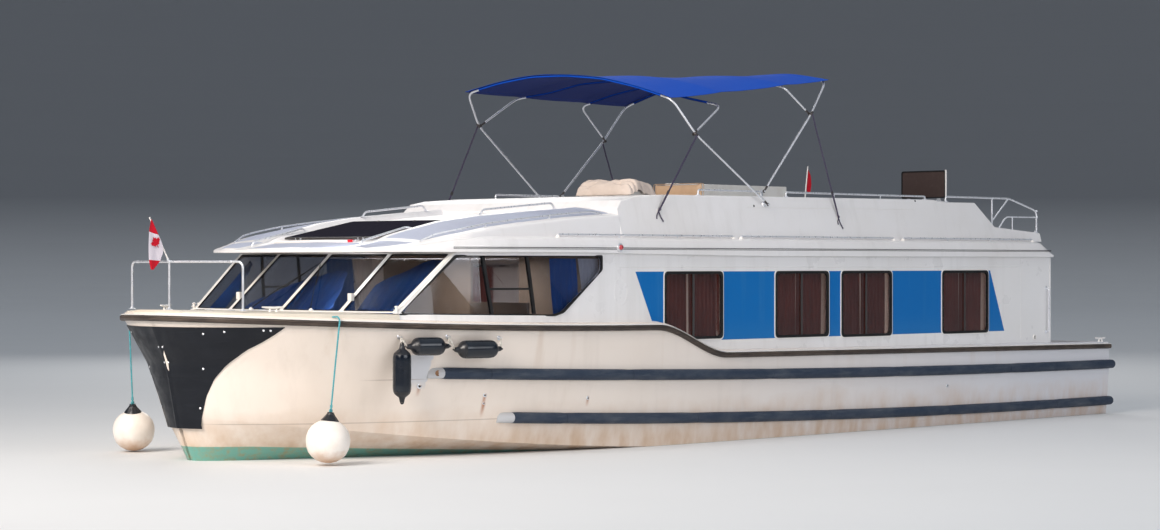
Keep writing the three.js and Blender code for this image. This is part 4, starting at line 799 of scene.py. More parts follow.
# Hull
def half_at(line, x):
    """Half width of a plan curve: straight aft of its start, then a superellipse to the tip."""
    if x <= line["start"]:
        return line["half"]
    u = min((x - line["start"]) / (line["tip"] - line["start"]), 1)
    return line["half"] * (1 - u ** line["power"]) ** (1 / line["power"])


def sheer(x):
    """Height of the deck's edge, eased between a sloping aft run and a rising fore run."""
    aft = SHEER_AFT["z"] + (min(x, SHEER_AFT["x"]) - SHEER_AFT["x"]) * SHEER_AFT["slope"]
    if x <= SHEER_AFT["x"]:
        return aft
    fore = SHEER_FORE["z"] + SHEER_FORE["curve"] * (x - SHEER_FORE["low"]) ** 2
    if x >= SHEER_FORE["x"]:
        return fore
    t = (x - SHEER_AFT["x"]) / (SHEER_FORE["x"] - SHEER_AFT["x"])
    return aft + (fore - aft) * t * t * (3 - 2 * t)


def chine_height(x):
    """Height of the bilge's turn."""
    return -0.06 + 0.0095 * max(x + 0.6, 0) ** 2


def keel_height(x):
    """Height of the bottom, which rises to the stern and a little to the stem."""
    if x < -4:
        return -0.42 + 0.23 * (-4 - x) / (-4 - STERN)
    return -0.42 + 0.07 * (max(x - 3, 0) / 3.6) ** 2


def on_line(line, x):
    """A station's point on a plan curve. All are drawn in forward of one station, so the stem rakes."""
    drawn = x if x <= 3 else 3 + (x - 3) * (line["tip"] - 3) / (BOW - 3)
    return drawn, max(half_at(line, drawn), STEM_HALF)


def hull_side(x):
    """A station's three corners on the port side: deck edge, middle and chine."""
    deck, middle, chine = on_line(DECK_LINE, x), on_line(MIDDLE_LINE, x), on_line(CHINE_LINE, x)
    low = chine_height(chine[0])
    return (Vector((*deck, sheer(deck[0]) - 0.01)), Vector((*middle, (sheer(middle[0]) + low) / 2 + 0.04)),
            Vector((*chine, low)))


def side_half(x, z):
    """Half breadth of the hull's side at a height."""
    low = chine_height(x)
    middle = (sheer(x) + low) / 2 + 0.04
    if z < middle:
        lines, ends = (CHINE_LINE, MIDDLE_LINE), (low, middle)
    else:
        lines, ends = (MIDDLE_LINE, DECK_LINE), (middle, sheer(x) - 0.01)
    t = min(max((z - ends[0]) / (ends[1] - ends[0]), 0), 1)
    return half_at(lines[0], x) * (1 - t) + half_at(lines[1], x) * t


STATIONS = steps(STERN, 0.5, 14) + steps(0.6, 2, 14) + steps(2.2, 6, 19)
STATIONS += [6 + (BOW - 6) * math.sin(math.pi / 2 * t) for t in steps(0, 1, 16)[1:]]


def hull_ring(x):
    """A closed section of the hull."""
    deck, middle, chine = hull_side(x)
    keel_x = x if x <= 3 else 3 + (x - 3) * (KEEL_TIP - 3) / (BOW - 3)
    keel = Vector((keel_x, min(KEEL_HALF, chine.y), keel_height(keel_x)))
    top = sheer(deck.x) + RIM
    half = [Vector((deck.x, max(deck.y - 0.025, STEM_HALF * 0.8), top)),
            Vector((deck.x, max(deck.y - 0.008, STEM_HALF * 0.9), top - 0.006)),
            Vector((deck.x, deck.y, top - 0.024))]
    for high, low in ((deck, middle), (middle, chine)):
        half += [high.lerp(low, t) + Vector((0, 0.006 * math.sin(math.pi * t), 0))
                 for t in (0, 0.25, 0.5, 0.75)]
    half.append(chine)
    half += [chine.lerp(keel, t) - Vector((0, 0, 0.01 * math.sin(math.pi * t)))
             for t in (0.03, 0.35, 0.7, 0.97)]
    half.append(keel)
    return half + sided(half[::-1], -1)


def make_hull():
    """The hull as one skin through its sections, with the hollows that hold cabin and cockpit cut out."""
    outer = Shape().loft([hull_ring(x) for x in STATIONS])
    skeg = Shape().loft([
        [Vector((x, y * half, z)) for y, z in ((-1, low), (1, low), (1, -0.25), (-1, -0.25))]
        for x, low, half in ((-5.3, -0.81, 0.05), (-0.6, -0.76, 0.05), (1.8, -0.56, 0.04),
                             (2.6, -0.38, 0.012))])
    heel = Shape().box((-6.5, -0.04, -0.86), (-5.28, 0.04, -0.8))
    floor = [(x, half_at(CHINE_LINE, x) - 0.12) for x in steps(CABIN_AFT, 3, 6) + steps(3.4, CABIN_FORE, 4)]
    top = [(x, half_at(DECK_LINE, x) - 0.11) for x, _ in floor]
    rings = [[(x, y, z) for x, y in line] + [(x, -y, z) for x, y in line[::-1]]
             for line, z in ((floor, CABIN_SOLE), (top, 2.0))]
    cabin = Shape().loft(rings, 1)
    cockpit = Shape().box((COCKPIT_AFT, -COCKPIT_HALF, COCKPIT_LOW), (CABIN_AFT + 0.005, COCKPIT_HALF, 2))
    bay = Shape().box((-6.13, -0.33, -0.12), (-5.33, 0.33, 0.4), 1)
    tube = Shape().tube([(-5.4, 0, -0.56), (-5.0, 0, -0.56)], 0.026, 20)
    port = Shape().tube([(-6.25, 0, -0.6), (-6.25, 0, 0.12)], 0.036, 20)
    mesh = carve(outer, (HULL, INSIDE), (cabin, cockpit, bay, tube, port), (skeg, heel))
    finished("hull_shell", mesh, "boat", ("hull",), 30)


def rail_rings(section, xs):
    """A section of (out, up) offsets carried round the hull's plan, from quarter to quarter."""
    port = [Vector((*on_line(DECK_LINE, x), 0)) for x in xs]
    line = port + sided(port[::-1], -1)
    rings = []
    for i, here in enumerate(line):
        run = (line[min(i + 1, len(line) - 1)] - line[max(i - 1, 0)]).normalized()
        out = Vector((-run.y, run.x, 0))
        if out.dot(Vector((max(here.x, 0), here.y, 0))) < 0:
            out = -out
        level = Vector((here.x, here.y, sheer(here.x)))
        rings.append([level + out * across + UP * up for across, up in section])
    return rings


def make_rub_rail():
    """A dark rubber strip with a pressed groove, under a white bead that hides its upper edge."""
    section = [(0.001, -0.036), (0.026, -0.035), (0.042, -0.022), (0.046, -0.008), (0.041, -0.002),
               (0.046, 0.004),
               (0.043, 0.016), (0.028, 0.022), (0.001, 0.022)]
    bead = [(0.001, 0.0225), (0.03, 0.0225), (0.037, 0.028), (0.03, 0.036), (0.001, 0.038)]
    shape = Shape().loft(rail_rings(section, STATIONS)).loft(rail_rings(bead, STATIONS), 1)
    shape.build("rub_rail_strip", (RAIL, LIP), replaces=("rub_rail",), slot="black_rubber", smooth=50)


def skin(s, z):
    """The port skin at a station and a height."""
    deck, middle, chine = hull_side(s)
    high, low = (deck, middle) if z > middle.z else (middle, chine)
    t = (z - low.z) / (high.z - low.z)
    return low.lerp(high, min(max(t, -0.3), 1.2))


GUARD_EDGE = ((1.4, 6.546), (1.32, 6.61), (1.251, 6.672), (1.168, 6.759), (1.044, 6.826), (0.866, 6.881),
              (0.679, 6.892),
              (0.459, 6.876), (0.373, 6.864), (0.343, 6.852))
GUARD_SEAM = 0.877
GUARD_BOLTS = ((7.081, 1.332), (6.959, 0.969), (6.969, 1.354), (6.703, 1.368), (6.648, 1.366), (7.16, 1.19),
               (7.09, 1.03), (6.9, 0.56))


def station_at(x, z):
    """The station whose skin point at height z lies at x."""
    low, high = 5.5, BOW
    for _ in range(24):
        middle = (low + high) / 2
        if skin(middle, z).x < x:
            low = middle
        else:
            high = middle
    return low


def make_stem_guard():
    """Two rubber plates over the stem, the upper lapping the lower, held by round-headed bolts."""
    shape = Shape()
    for top, low, thick in ((GUARD_SEAM + 0.004, 0.345, 0.006), (1.4, GUARD_SEAM, 0.0085)):
        rows = []
        for z in steps(low, top, 14):
            first = station_at(along(GUARD_EDGE, z), z)
            line = [skin(first + (BOW - first) * math.sin(math.pi / 2 * t), z) for t in steps(0, 1, 14)]
            rows.append(line + [Vector((line[-1].x + 0.012, 0, z))] + sided(line[::-1], -1))
        shape.slab(rows, thick, 0, 0.002)
    for x, z in GUARD_BOLTS:
        station = station_at(x, z)
        at, ahead = skin(station, z), skin(station - 0.02, z)
        out = (ahead - at).cross(UP).normalized()
        out = out if out.y > 0 else -out
        for side in (1, -1):
            head = [(0, 0), (0.012, 0), (0.013, 0.003), (0.009, 0.007), (0, 0.008)]
            place = Vector((at.x + out.x * 0.01, (at.y + out.y * 0.01) * side, z))
            shape.turned(head, place, (out.x, out.y * side, 0), 10, 1)
    shape.build("stem_guard_plates", (GUARD, STEEL), replaces=("stem_guard",), slot="navy_rubber", smooth=40,
                bevel=0.0015)


STRAKE_SECTION = ((-0.02, -0.062), (0.03, -0.06), (0.052, -0.052), (0.07, -0.034), (0.08, -0.014),
                  (0.08, 0.014), (0.07, 0.034),
                  (0.052, 0.052), (0.03, 0.06), (-0.02, 0.062))
STRAKES = {
    "upper": (4.86, 5.0, lambda x: 0.676 + 0.0015 * (x + 7.38) ** 2, (4.3, 2.3, -0.1, -2.5, -4.9)),
    "lower": (3.9, 4.062, lambda x: 0.178 + 0.00225 * max(x + 6, 0) ** 2, (3.2, 1.2, -1.2, -3.6, -6.0)),
}


def make_strakes():
    """Fendering along the side: butted lengths of D-shaped rubber, a chamfered pad ahead of each."""
    for level, (fore, tip, height, joints) in STRAKES.items():
        for name, side in SIDES:
            shape = Shape()
            ends = (fore, *joints, STERN - 0.055)
            for start, end in zip(ends, ends[1:]):
                rings = []
                for x in steps(start - 0.003, end + 0.003, 10):
                    y, z = side_half(x, height(x)), height(x)
                    near = min(abs(x - start), abs(x - end))
                    shrink = 0.94 if near < 0.01 else 1.0
                    rings.append([Vector((x, (y + across * shrink) * side, z + up * shrink))
                                  for across, up in STRAKE_SECTION])
                shape.loft(rings)
            pad = []
            for x, depth in ((fore + 0.001, 1.0), (fore + 0.05, 0.86), (tip - 0.03, 0.4), (tip, 0.1)):
                y, z = side_half(x, height(x)), height(x)
                pad.append([Vector((x, (y + (across * depth if across > 0 else across)) * side,
                                    z + up * 0.94)) for across, up in STRAKE_SECTION])
            shape.loft(pad, 1)
            if level == "upper":
                x = (fore + tip) / 2 - 0.01
                y = side_half(x, height(x)) + 0.05
                shape.turned([(0, -0.02), (0.034, -0.012), (0.03, 0.008), (0, 0.012)],
                             (x, y * side, height(x)), (0.35, side, 0), 20, 2)
            shape.build(f"strake_{level}_{name}_lengths", (STRAKE, PAD, WORN),
                        replaces=(f"strake_{level}_{name}",),
                        slot="black_rubber", smooth=38)


# Cabin sides
def wall_at(x, z):
    """The port cabin side's face."""
    flare = max(x - SIDE_FLARE["start"], 0)
    lean = flare * (z - SIDE_FLARE["base"]) * SIDE_FLARE["lean"]
    return half_at(DECK_LINE, x) - SIDE_INSET + flare * SIDE_FLARE["out"] - lean


def rim_top(x):
    """Height of the rub rail's upper edge."""
    return sheer(x) + RIM


def wall_place(low, high, side):
    """Turns an outline point (x, z) into its points on two faces, both measured out from the cabin side."""
    return lambda x, z: [(x, (wall_at(x, z) + depth) * side, z) for depth in (low, high)]


def make_stripe():
    """The blue band between the windows, cut along the rising rub rail at its fore end."""
    top, low = STRIPE["top"], STRIPE["low"]
    edges = [(x - WINDOW["width"] / 2, x + WINDOW["width"] / 2) for x, _ in WINDOWS]
    fore = [(edges[0][1], top), (STRIPE["fore"], top)]
    fore += [(x, rim_top(x) + 0.012) for x in steps(1.822, edges[0][1], 4)]
    under = [(edges[0][1], 1.2)] + [(x, rim_top(x) + 0.012)
                                    for x in steps(edges[0][1], 1.3, 5)] + [(1.3, 1.2)]
    panels = [fore, under]
    for (back, _), (_, ahead) in zip(edges, edges[1:]):
        panels.append([(ahead, low), (back, low), (back, top), (ahead, top)])
    last = edges[-1][0]
    panels.append([(last, top), (STRIPE["aft_top"], top), (STRIPE["aft_low"], low), (last, low)])
    panels += [corners(a, b, low, z) for (a, b), (_, z) in zip(edges[1:], WINDOWS[1:])]
    panels += [corners(a, b, WINDOW["top"], top) for a, b in edges]
    for name, side in SIDES:
        shape = Shape()
        for panel in panels:
            shape.plate(panel, wall_place(GAP, 0.0014, side))
        shape.build(f"stripe_{name}", (STRIPE_FILM,), smooth=20)


def divided(outline, gap):
    """A closed outline with its long sides cut into short ones."""
    made = []
    for a, b in zip(outline, outline[1:] + outline[:1]):
        parts = max(round((b - a).length / gap), 1)
        made += [a.lerp(b, i / parts) for i in range(parts)]
    return made


def window_outline(x, low, grow):
    """A cabin window's rounded outline. It stops just above the rub rail, which rises past the first one."""
    height = WINDOW["top"] - low
    outline = rounded(rectangle(x, low + height / 2, WINDOW["width"], height), WINDOW["corner"], 5, True)
    centre = Vector((x, low + height / 2))
    grown = []
    for p in divided(outline, 0.08):
        share = Vector((grow / (WINDOW["width"] / 2), grow / (height / 2)))
        q = centre + Vector(((p - centre).x * (1 + share.x), (p - centre).y * (1 + share.y)))
        grown.append((q.x, max(q.y, rim_top(q.x) + 0.006 - 0.1 * grow)))
    return grown


def make_windows():
    """Each window: a white outer bead, a black frame, and two panes of which one slides."""
    for name, side in SIDES:
        for i, (x, low) in enumerate(WINDOWS):
            shape = Shape()
            outlines = {grow: window_outline(x, low, grow) for grow in (0.03, 0.018, 0.017, -0.014, -0.008)}
            shape.frame(outlines[0.03], outlines[0.018], wall_place(GAP, 0.01, side), 0)
            shape.frame(outlines[0.017], outlines[-0.014], wall_place(-0.012, 0.014, side), 1)
            z1, middle = WINDOW["top"] - 0.01, x - 0.015
            for centre, width, face in ((middle + 0.01, 0.022, -0.006), (middle - 0.014, 0.012, -0.014)):
                z0 = max(low + 0.01, rim_top(centre) + 0.01)
                bar = corners(centre - width / 2, centre + width / 2, z0, z1)
                shape.plate(bar, wall_place(face - 0.01, face, side), 3)
            shape.plate(outlines[-0.008], wall_place(-0.026, -0.021, side), 2)
            shape.build(f"window_{name}_{i + 1}", (LIP, GASKET, CABIN_GLASS, ALLOY),
                        replaces=(f"cabin_window_{name}_{i + 1}",),
                        slot="tinted_glass", smooth=30)


def make_curtains():
    """Two gathered curtains behind each cabin window, on one track along each side."""
    y_middle = WALL_FACE - WALL_THICK - 0.06
    head, hem = 2.0, 1.12
    for name, side in SIDES:
        y0, y1 = span(y_middle, y_middle + 0.05, side)
        track = Shape().box((WINDOWS[3][0] - 0.6, y0, head), (WINDOWS[0][0] + 0.6, y1, head + 0.03))
        track.build(f"curtain_track_{name}", (ALLOY,), bevel=0.003)
        cloths = Shape()
        for k, (x, _) in enumerate(WINDOWS):
            for start, end in ((x - 0.5, x - 0.02), (x + 0.01, x + 0.5)):
                rows = []
                for z in steps(head, hem, 12):
                    loose = 0.4 + 0.6 * (head - z) / (head - hem)
                    row = []
                    for cx in steps(start, end, 56):
                        fold = math.sin(cx * 92 + k) * 0.6 + math.sin(cx * 51 + 2 * k + z * 1.7) * 0.4
                        row.append((cx, (y_middle + 0.016 * loose * fold) * side, z))
                    rows.append(row)
                cloths.slab(rows, 0.0015)
        piece = cloths.build(f"curtains_{name}", (CURTAIN,), replaces=(f"cabin_curtains_{name}",),
                             slot="curtain_brown", smooth=60)


def saloon_outline(inset, radius=0.07):
    """The long forward window's outline, drawn in by an inset."""
    line = rounded(SALOON_WINDOW, radius, 5, True)
    return [(p[0] + (-1.5 if p[0] > 4 else 1.5) * inset, p[1] + (-1 if p[1] > 1.8 else 1) * inset)
            for p in line]


SALOON_BARS = ((4.345, 4.262), (3.75, 3.668))
SALOON_CROSS = 1.775


def make_saloon_trim():
    """Gasket round the long forward window, and the dark frame of its opening pane behind the glass."""
    for name, side in SIDES:
        shape = Shape()
        shape.frame(saloon_outline(-0.007, 0.025), saloon_outline(0.008), wall_place(GAP, 0.005, side), 0)
        shape.frame(saloon_outline(-0.001), saloon_outline(0.012), wall_place(-0.007, 0.0, side), 0)
        for head, foot in SALOON_BARS:
            bar = [(head - 0.018, 2.118), (foot - 0.018, 1.505), (foot + 0.018, 1.505), (head + 0.018, 2.118)]
            shape.plate(bar, wall_place(-0.036, -0.0225, side), 0)
            shape.plate([(x * 0.999, z) for x, z in bar], wall_place(-0.0115, -0.008, side), 0)
        (a, b), (c, d) = SALOON_BARS
        share = (2.118 - SALOON_CROSS) / (2.118 - 1.505)
        fore, aft = a + (b - a) * share, c + (d - c) * share
        cross = [(fore, SALOON_CROSS - 0.011), (fore, SALOON_CROSS + 0.011), (aft, SALOON_CROSS + 0.011),
                 (aft, SALOON_CROSS - 0.011)]
        shape.plate(cross, wall_place(-0.036, -0.024, side), 0)
        shape.plate(cross, wall_place(-0.0115, -0.008, side), 0)
        shape.build(f"saloon_trim_{name}", (GASKET,), smooth=40)


# Roof
ROOF_LINE = {"start": 2.5, "tip": 5.65, "half": 2.01, "power": 3.6}
ROOF_UNDER = ((5.7, 2.164), (3.0, 2.164), (0.0, 2.13), (-6.1, 2.13))
ROOF_RIM = ((5.7, 2.189), (5.48, 2.194), (5.3, 2.206), (5.05, 2.234), (4.7, 2.29), (4.3, 2.31), (-5.77, 2.31),
            (-6.04, 2.175))
WEDGE_RAMP = ((5.48, 2.2), (5.3, 2.225), (5.05, 2.262), (4.7, 2.318), (4.2, 2.41), (3.7, 2.49), (3.0, 2.57),
              (2.2, 2.625))
WEDGE_OUTER = ((5.48, 2.197), (5.3, 2.217), (5.05, 2.252), (4.87, 2.294), (4.7, 2.33), (4.2, 2.412),
               (3.7, 2.468), (3.0, 2.535), (2.2, 2.59))
WEDGE_CREST = ((5.48, 2.201), (5.3, 2.228), (5.05, 2.275), (4.87, 2.345), (4.7, 2.391), (4.2, 2.506),
               (3.7, 2.572), (3.0, 2.632), (2.2, 2.692))
CREST_Y = ((5.48, 0.87), (5.05, 0.87), (4.87, 0.873), (4.7, 0.888), (4.2, 0.93), (3.7, 0.975), (3.0, 1.035),
           (2.2, 1.1))
WEDGE_AFT = 2.2
SHOULDER_Y = 1.8
HATCH = {"fore": 4.88, "aft": 3.85, "half": 0.8, "low": 2.3092, "slope": 0.1917}
HATCH_PINS = {"x": 4.894, "z": 2.3212, "y": (-0.52, 0.52)}
SKYLIGHT = {"aft": -5.27, "fore": -4.83, "low": 0.06, "high": 0.8}
SIDE_RAILS = ((3.279, 0.371), (0.229, -2.683), (-2.879, -5.688))
SHADED_NONSLIP_BROW = (5.0, 5.4)
SHADED_NONSLIP_BAND = (2.2, 4.93)


def roof_half(x):
    """Half width of the roof."""
    return half_at(ROOF_LINE, x)


def slab_ring(x):
    """A closed section of the roof's thin-edged slab."""
    half, under, edge = roof_half(x), along(ROOF_UNDER, x), along(ROOF_RIM, x)
    middle = (under + edge) / 2
    top = edge + min(0.025, (edge - under) * 0.2)
    line = [(half - 0.012, under), (half - 0.002, under + 0.004), (half, middle),
            (half - 0.008, middle + (edge - middle) * 0.4),
            (half - 0.03, edge), (half - 0.07, edge + (top - edge) * 0.6), (half - 0.13, top)]
    return [Vector((x, y, z)) for y, z in line] + [Vector((x, -y, z)) for y, z in line[::-1]]


def wedge_ring(x):
    """The raised roof front's section: skirt, outer shoulder, slope to the crest, and the ramp inside."""
    edge, crest = min(SHOULDER_Y, roof_half(x) - 0.09), along(CREST_Y, x)
    base, ramp = along(ROOF_UNDER, x) + 0.01, along(WEDGE_RAMP, x)
    section = [(edge + 0.06, base + 0.004), (edge, along(WEDGE_OUTER, x)), (crest, along(WEDGE_CREST, x)),
               (crest - 0.05, ramp)]
    line = rounded(section + [(0, ramp + 0.012)], 0.022, 4)
    bulge = [line[5].lerp(line[6], t) + Vector((0, 0.012 * math.sin(math.pi * t) ** 0.8))
             for t in (0.05, 0.12, 0.3, 0.5, 0.7, 0.9, 0.96)]
    line = line[:6] + bulge + line[6:-1] + [line[-2].lerp(line[-1], 0.06), line[-1]]
    top = [(x, y, z) for y, z in line] + [(x, -y, z) for y, z in line[-2::-1]]
    return [Vector(p) for p in top] + [Vector((x, y, base)) for _, y, _ in top[::-1]]


def roof_prism(outline, half, mark=0):
    """A side outline in x and z, stretched across the boat."""
    return Shape().loft([[(x, y, z) for x, z in outline] for y in (-half, half)], mark)


def make_roof():
    """The whole roof: a thin-edged slab, its raised front with non-slip bands tinted grey-lavender as painted
    shade, and the hatch's curb.
    """
    xs = sorted(steps(-6.04, -5.77, 6) + steps(-5.5, 2.4, 16) + steps(2.5, 5.3, 28) + steps(5.36, 5.64, 14))
    slab = Shape().loft([slab_ring(x) for x in xs])
    stations = steps(WEDGE_AFT, 4.8, 44) + steps(4.82, 5.48, 22)
    rings = [wedge_ring(x) for x in stations]
    wedge = Shape().loft(rings)
    count = len(rings[0])
    top = count // 2
    # Mark 1 on the shoulder bands and the brow: non-slip grain whose grey-lavender tint is painted shade.
    for i, x in enumerate(stations[:-1]):
        for j in range(top - 1):
            k = min(j, top - 2 - j)
            band = 7 <= k <= 10 and SHADED_NONSLIP_BAND[0] < x < SHADED_NONSLIP_BAND[1]
            brow = (k >= 23 or 7 <= k <= 10) and SHADED_NONSLIP_BROW[0] < x < SHADED_NONSLIP_BROW[1]
            if band or brow:
                wedge.marks[i * count + j] = 1
    curb_line = [(x, HATCH["low"] + HATCH["slope"] * (HATCH["fore"] - x))
                 for x in (HATCH["fore"] - 0.04, HATCH["aft"] + 0.04)]
    (x0, z0), (x1, z1) = curb_line
    curb = roof_prism([(x0, z0 - 0.06), (x1, z1 - 0.06), (x1, z1 - GAP), (x0, z0 - GAP)],
                      HATCH["half"] - 0.04)
    under = roof_prism([(2.5, 2.12), (2.5, 2.54), (3.0, 2.505), (3.7, 2.44), (4.2, 2.368), (4.7, 2.278),
                        (4.9, 2.12)], 1.23, 2)
    ceiling = Shape().box((-5.35, -1.23, 2.1), (4.9, 1.23, 2.13), 2)
    hatchway = Shape().box((HATCH["aft"] + 0.12, -HATCH["half"] + 0.12, 2.1),
                           (HATCH["fore"] - 0.12, HATCH["half"] - 0.12, 2.7))
    well = Shape().box((SKYLIGHT["aft"] + 0.04, SKYLIGHT["low"] + 0.04, 2.1),
                       (SKYLIGHT["fore"] - 0.04, SKYLIGHT["high"] - 0.04, 2.4))
    mesh = carve(slab, (ROOF, NONSLIP_AND_SHADE, INSIDE), (under, ceiling, hatchway, well), (wedge, curb))
    finished("roof_moulding", mesh, "boat", ("roof",), 28)
    hinges = Shape()
    for y in HATCH_PINS["y"]:
        hinges.tube([(HATCH_PINS["x"], y - 0.046, HATCH_PINS["z"]),
                     (HATCH_PINS["x"], y + 0.046, HATCH_PINS["z"])], 0.005, 14)
        for end in (-1, 1):
            a, b = sorted((y + end * 0.032, y + end * 0.046))
            low = along(WEDGE_RAMP, HATCH_PINS["x"] + 0.01) - 0.002
            hinges.box((HATCH_PINS["x"] - 0.008, a, low),
                       (HATCH_PINS["x"] + 0.01, b, HATCH_PINS["z"] + 0.006))
    hinges.build("hatch_hinge_lugs", (STEEL,), bevel=0.001)


def make_side_rails():
    """Hand rails along the roof's edge, on white end brackets with a stud between them."""
    shape = Shape()
    for _, side in SIDES:
        for fore, aft in SIDE_RAILS:
            line = rounded([(fore, 1.905, 2.312), (fore, 1.905, 2.362), (aft, 1.905, 2.362),
                            (aft, 1.905, 2.312)], 0.03, 5)
            shape.tube(sided(line, side), 0.0115, 12, 0)
            for x in (fore, aft):
                shape.turned([(0, 0), (0.03, 0), (0.032, 0.004), (0.026, 0.012), (0.017, 0.03), (0, 0.032)],
                             (x, 1.905 * side, 2.3255), (0, 0, 1), 16, 1)
            for x in steps(aft, fore, 3)[1:-1]:
                shape.tube([(x, 1.905 * side, 2.325), (x, 1.905 * side, 2.352)], 0.007, 10, 0)
    shape.build("side_rails", (STEEL, LIP), smooth=50)


# A pressed oval ahead of the first cabin window: its middle as (x, z), and its half width and height
OVAL = {"at": (2.33, 1.74), "half": (0.11, 0.16)}


def make_eaves():
    """Two rubbing lines and a drip bead along the roof's edge, a pressed oval, and the round side lamp."""
    shape = Shape()
    for _, side in SIDES:
        for low, high, out in ((2.2, 2.206, 0.004), (2.214, 2.222, 0.005)):
            rings = []
            for x in steps(-5.98, 4.75, 60):
                y = roof_half(x) - 0.003
                rings.append([(x, (y + across) * side, z)
                              for across, z in ((0, low), (out, low), (out, high), (0, high))])
            shape.loft(rings)
        rings = []
        for x in steps(-5.3, 2.35, 30):
            face = wall_at(x, 2.0)
            rings.append([(x, (face + across) * side, z)
                          for across, z in ((-0.001, 2.0), (0.006, 2.003), (0.006, 2.009), (-0.001, 2.012))])
        shape.loft(rings, 1)
        (x, z), (wide, high) = OVAL["at"], OVAL["half"]
        oval, inner = [[(x + (wide - inset) * math.cos(a), z + (high - inset) * math.sin(a))
                        for a in circle(28)]
                       for inset in (0, 0.008)]
        shape.frame(oval, inner, wall_place(-0.001, 0.0022, side), 1)
        centre = Vector((2.414, (roof_half(2.414) + 0.001) * side, 2.222))
        shape.turned([(0, 0), (0.048, 0), (0.05, 0.01), (0.042, 0.02), (0.03, 0.021), (0.03, 0.016),
                      (0, 0.016)], centre, (0, side, 0.05), 28, 2)
        shape.turned([(0, 0.015), (0.029, 0.017), (0.027, 0.034), (0.016, 0.043), (0, 0.045)], centre,
                     (0, side, 0.05), 24, 3)
    shape.build("eave_trim", (ALLOY, CABIN, STEEL, RED_LENS), smooth=45)


# Bimini
FOOT_A = {"x": -0.361, "y": 1.815, "port": 2.745, "starboard": 2.745}
FOOT_B = {"x": -0.44, "y": 1.69, "port": 2.905, "starboard": 2.905}
JOINT_A = {"x": 0.909, "y": 1.802, "port": 3.532, "starboard": 3.76}
JOINT_B = {"x": -1.275, "y": 1.735, "port": 3.861, "starboard": 3.631}
BOW_A = {"x": 1.195, "y": 1.694, "port": 3.927, "starboard": 4.142, "crown": 0.24, "rise": (0.55, 0.9)}
BOW_A2 = {"x": 0.35, "y": 1.702, "port": 3.89, "starboard": 4.11, "crown": 0.255, "rise": (0.32, 0.8)}
BOW_B = {"x": -1.626, "y": 1.678, "port": 4.273, "starboard": 4.088, "crown": 0.18, "rise": (0.72, 0.95)}
BOW_B2 = {"x": -0.805, "y": 1.69, "port": 4.165, "starboard": 4.06, "crown": 0.18, "rise": (0.6, 0.92)}
SECOND_END = 1.764
THIRD_END = 1.698


def on_hinge(joint, y):
    """A point of a bow's hinge line, which tilts with the ends' two heights."""
    mean, tilt = (joint["port"] + joint["starboard"]) / 2, (joint["port"] - joint["starboard"]) / 2
    return Vector((joint["x"], y, mean + tilt * y / joint["y"]))


def arch_points(bow):
    """Points along a bow's crown from port to starboard."""
    low, high = bow["rise"]
    mean, tilt = (bow["port"] + bow["starboard"]) / 2, (bow["port"] - bow["starboard"]) / 2
    shares = ((0.66, low), (0.34, high), (0, 1), (-0.34, high), (-0.66, low))
    return [Vector((bow["x"], bow["y"] * s, mean + tilt * s + bow["crown"] * rise)) for s, rise in shares]


def bow_line(bow, hinge, end, joint=None):
    """A bow's centreline, from its port eye over the crown to the starboard one."""
    legs = []
    for name, side in SIDES:
        leg = [on_hinge(hinge, end * side)]
        if joint:
            leg.append(Vector((joint["x"], joint["y"] * side, joint[name])))
        legs.append(leg + [Vector((bow["x"], bow["y"] * side, bow[name]))])
    line = legs[0] + arch_points(bow) + legs[1][::-1]
    return rounded(line, 0.11, 6)


EYE = ((0.0086, -0.006), (0.0165, -0.006), (0.0195, -0.004), (0.0195, 0.004), (0.0165, 0.006),
       (0.0086, 0.006))


def make_bows():
    """Stainless tubes with flattened eyes at their feet, and jaw collars where the shorter bows join."""
    rows = (
        ("front", "bimini_front", BOW_A, FOOT_A, FOOT_A["y"], JOINT_A),
        ("second", "bimini_second", BOW_A2, JOINT_A, SECOND_END, None),
        ("aft", "bimini_aft", BOW_B, FOOT_B, FOOT_B["y"], JOINT_B),
        ("third", "bimini_third", BOW_B2, JOINT_B, THIRD_END, None),
    )
    for name, body, bow, hinge, end, joint in rows:
        line = bow_line(bow, hinge, end, joint)
        ends = [(line[0], line[1]), (line[-1], line[-2])]
        first, last = [here + (there - here).normalized() * 0.04 for here, there in ends]
        shape = Shape().tube([first, *line[1:-1], last], TUBE, 16)
        sleeve = [p for p in spaced(line, 0.05) if abs(p.y) < 0.9 * bow["y"]
                  and p.z > min(bow["port"], bow["starboard"])]
        shape.tube(sleeve, TUBE + 0.0016, 16, 2)
        for side, (here, there) in ((1, (line[0], line[1])), (-1, (line[-1], line[-2]))):
            away = (there - here).normalized()
            shape.tube([here + away * 0.012, here + away * 0.05, here + away * 0.08], [0.011, 0.0135, 0.0135],
                       14, 1)
            shape.barrel(here, EYE, 20, 1)
            if joint:
                centre = Vector((joint["x"], joint["y"] * side, joint["port" if side > 0 else "starboard"]))
                run = (centre - here).normalized()
                shape.tube([centre - run * t for t in (0.03, 0.026, 0, -0.026, -0.03)],
                           [0.013, 0.017, 0.0175, 0.017, 0.013], 14, 1)
                pinned = on_hinge(joint, (joint["y"] - 0.047) * side)
                shape.tube([on_hinge(joint, (joint["y"] - 0.01) * side), pinned], 0.0078, 12, 1)
        shape.build(f"bow_{name}_tube", (STEEL, ALLOY, CANVAS), body, (f"bimini_bow_{name}",), "stainless",
                    50)


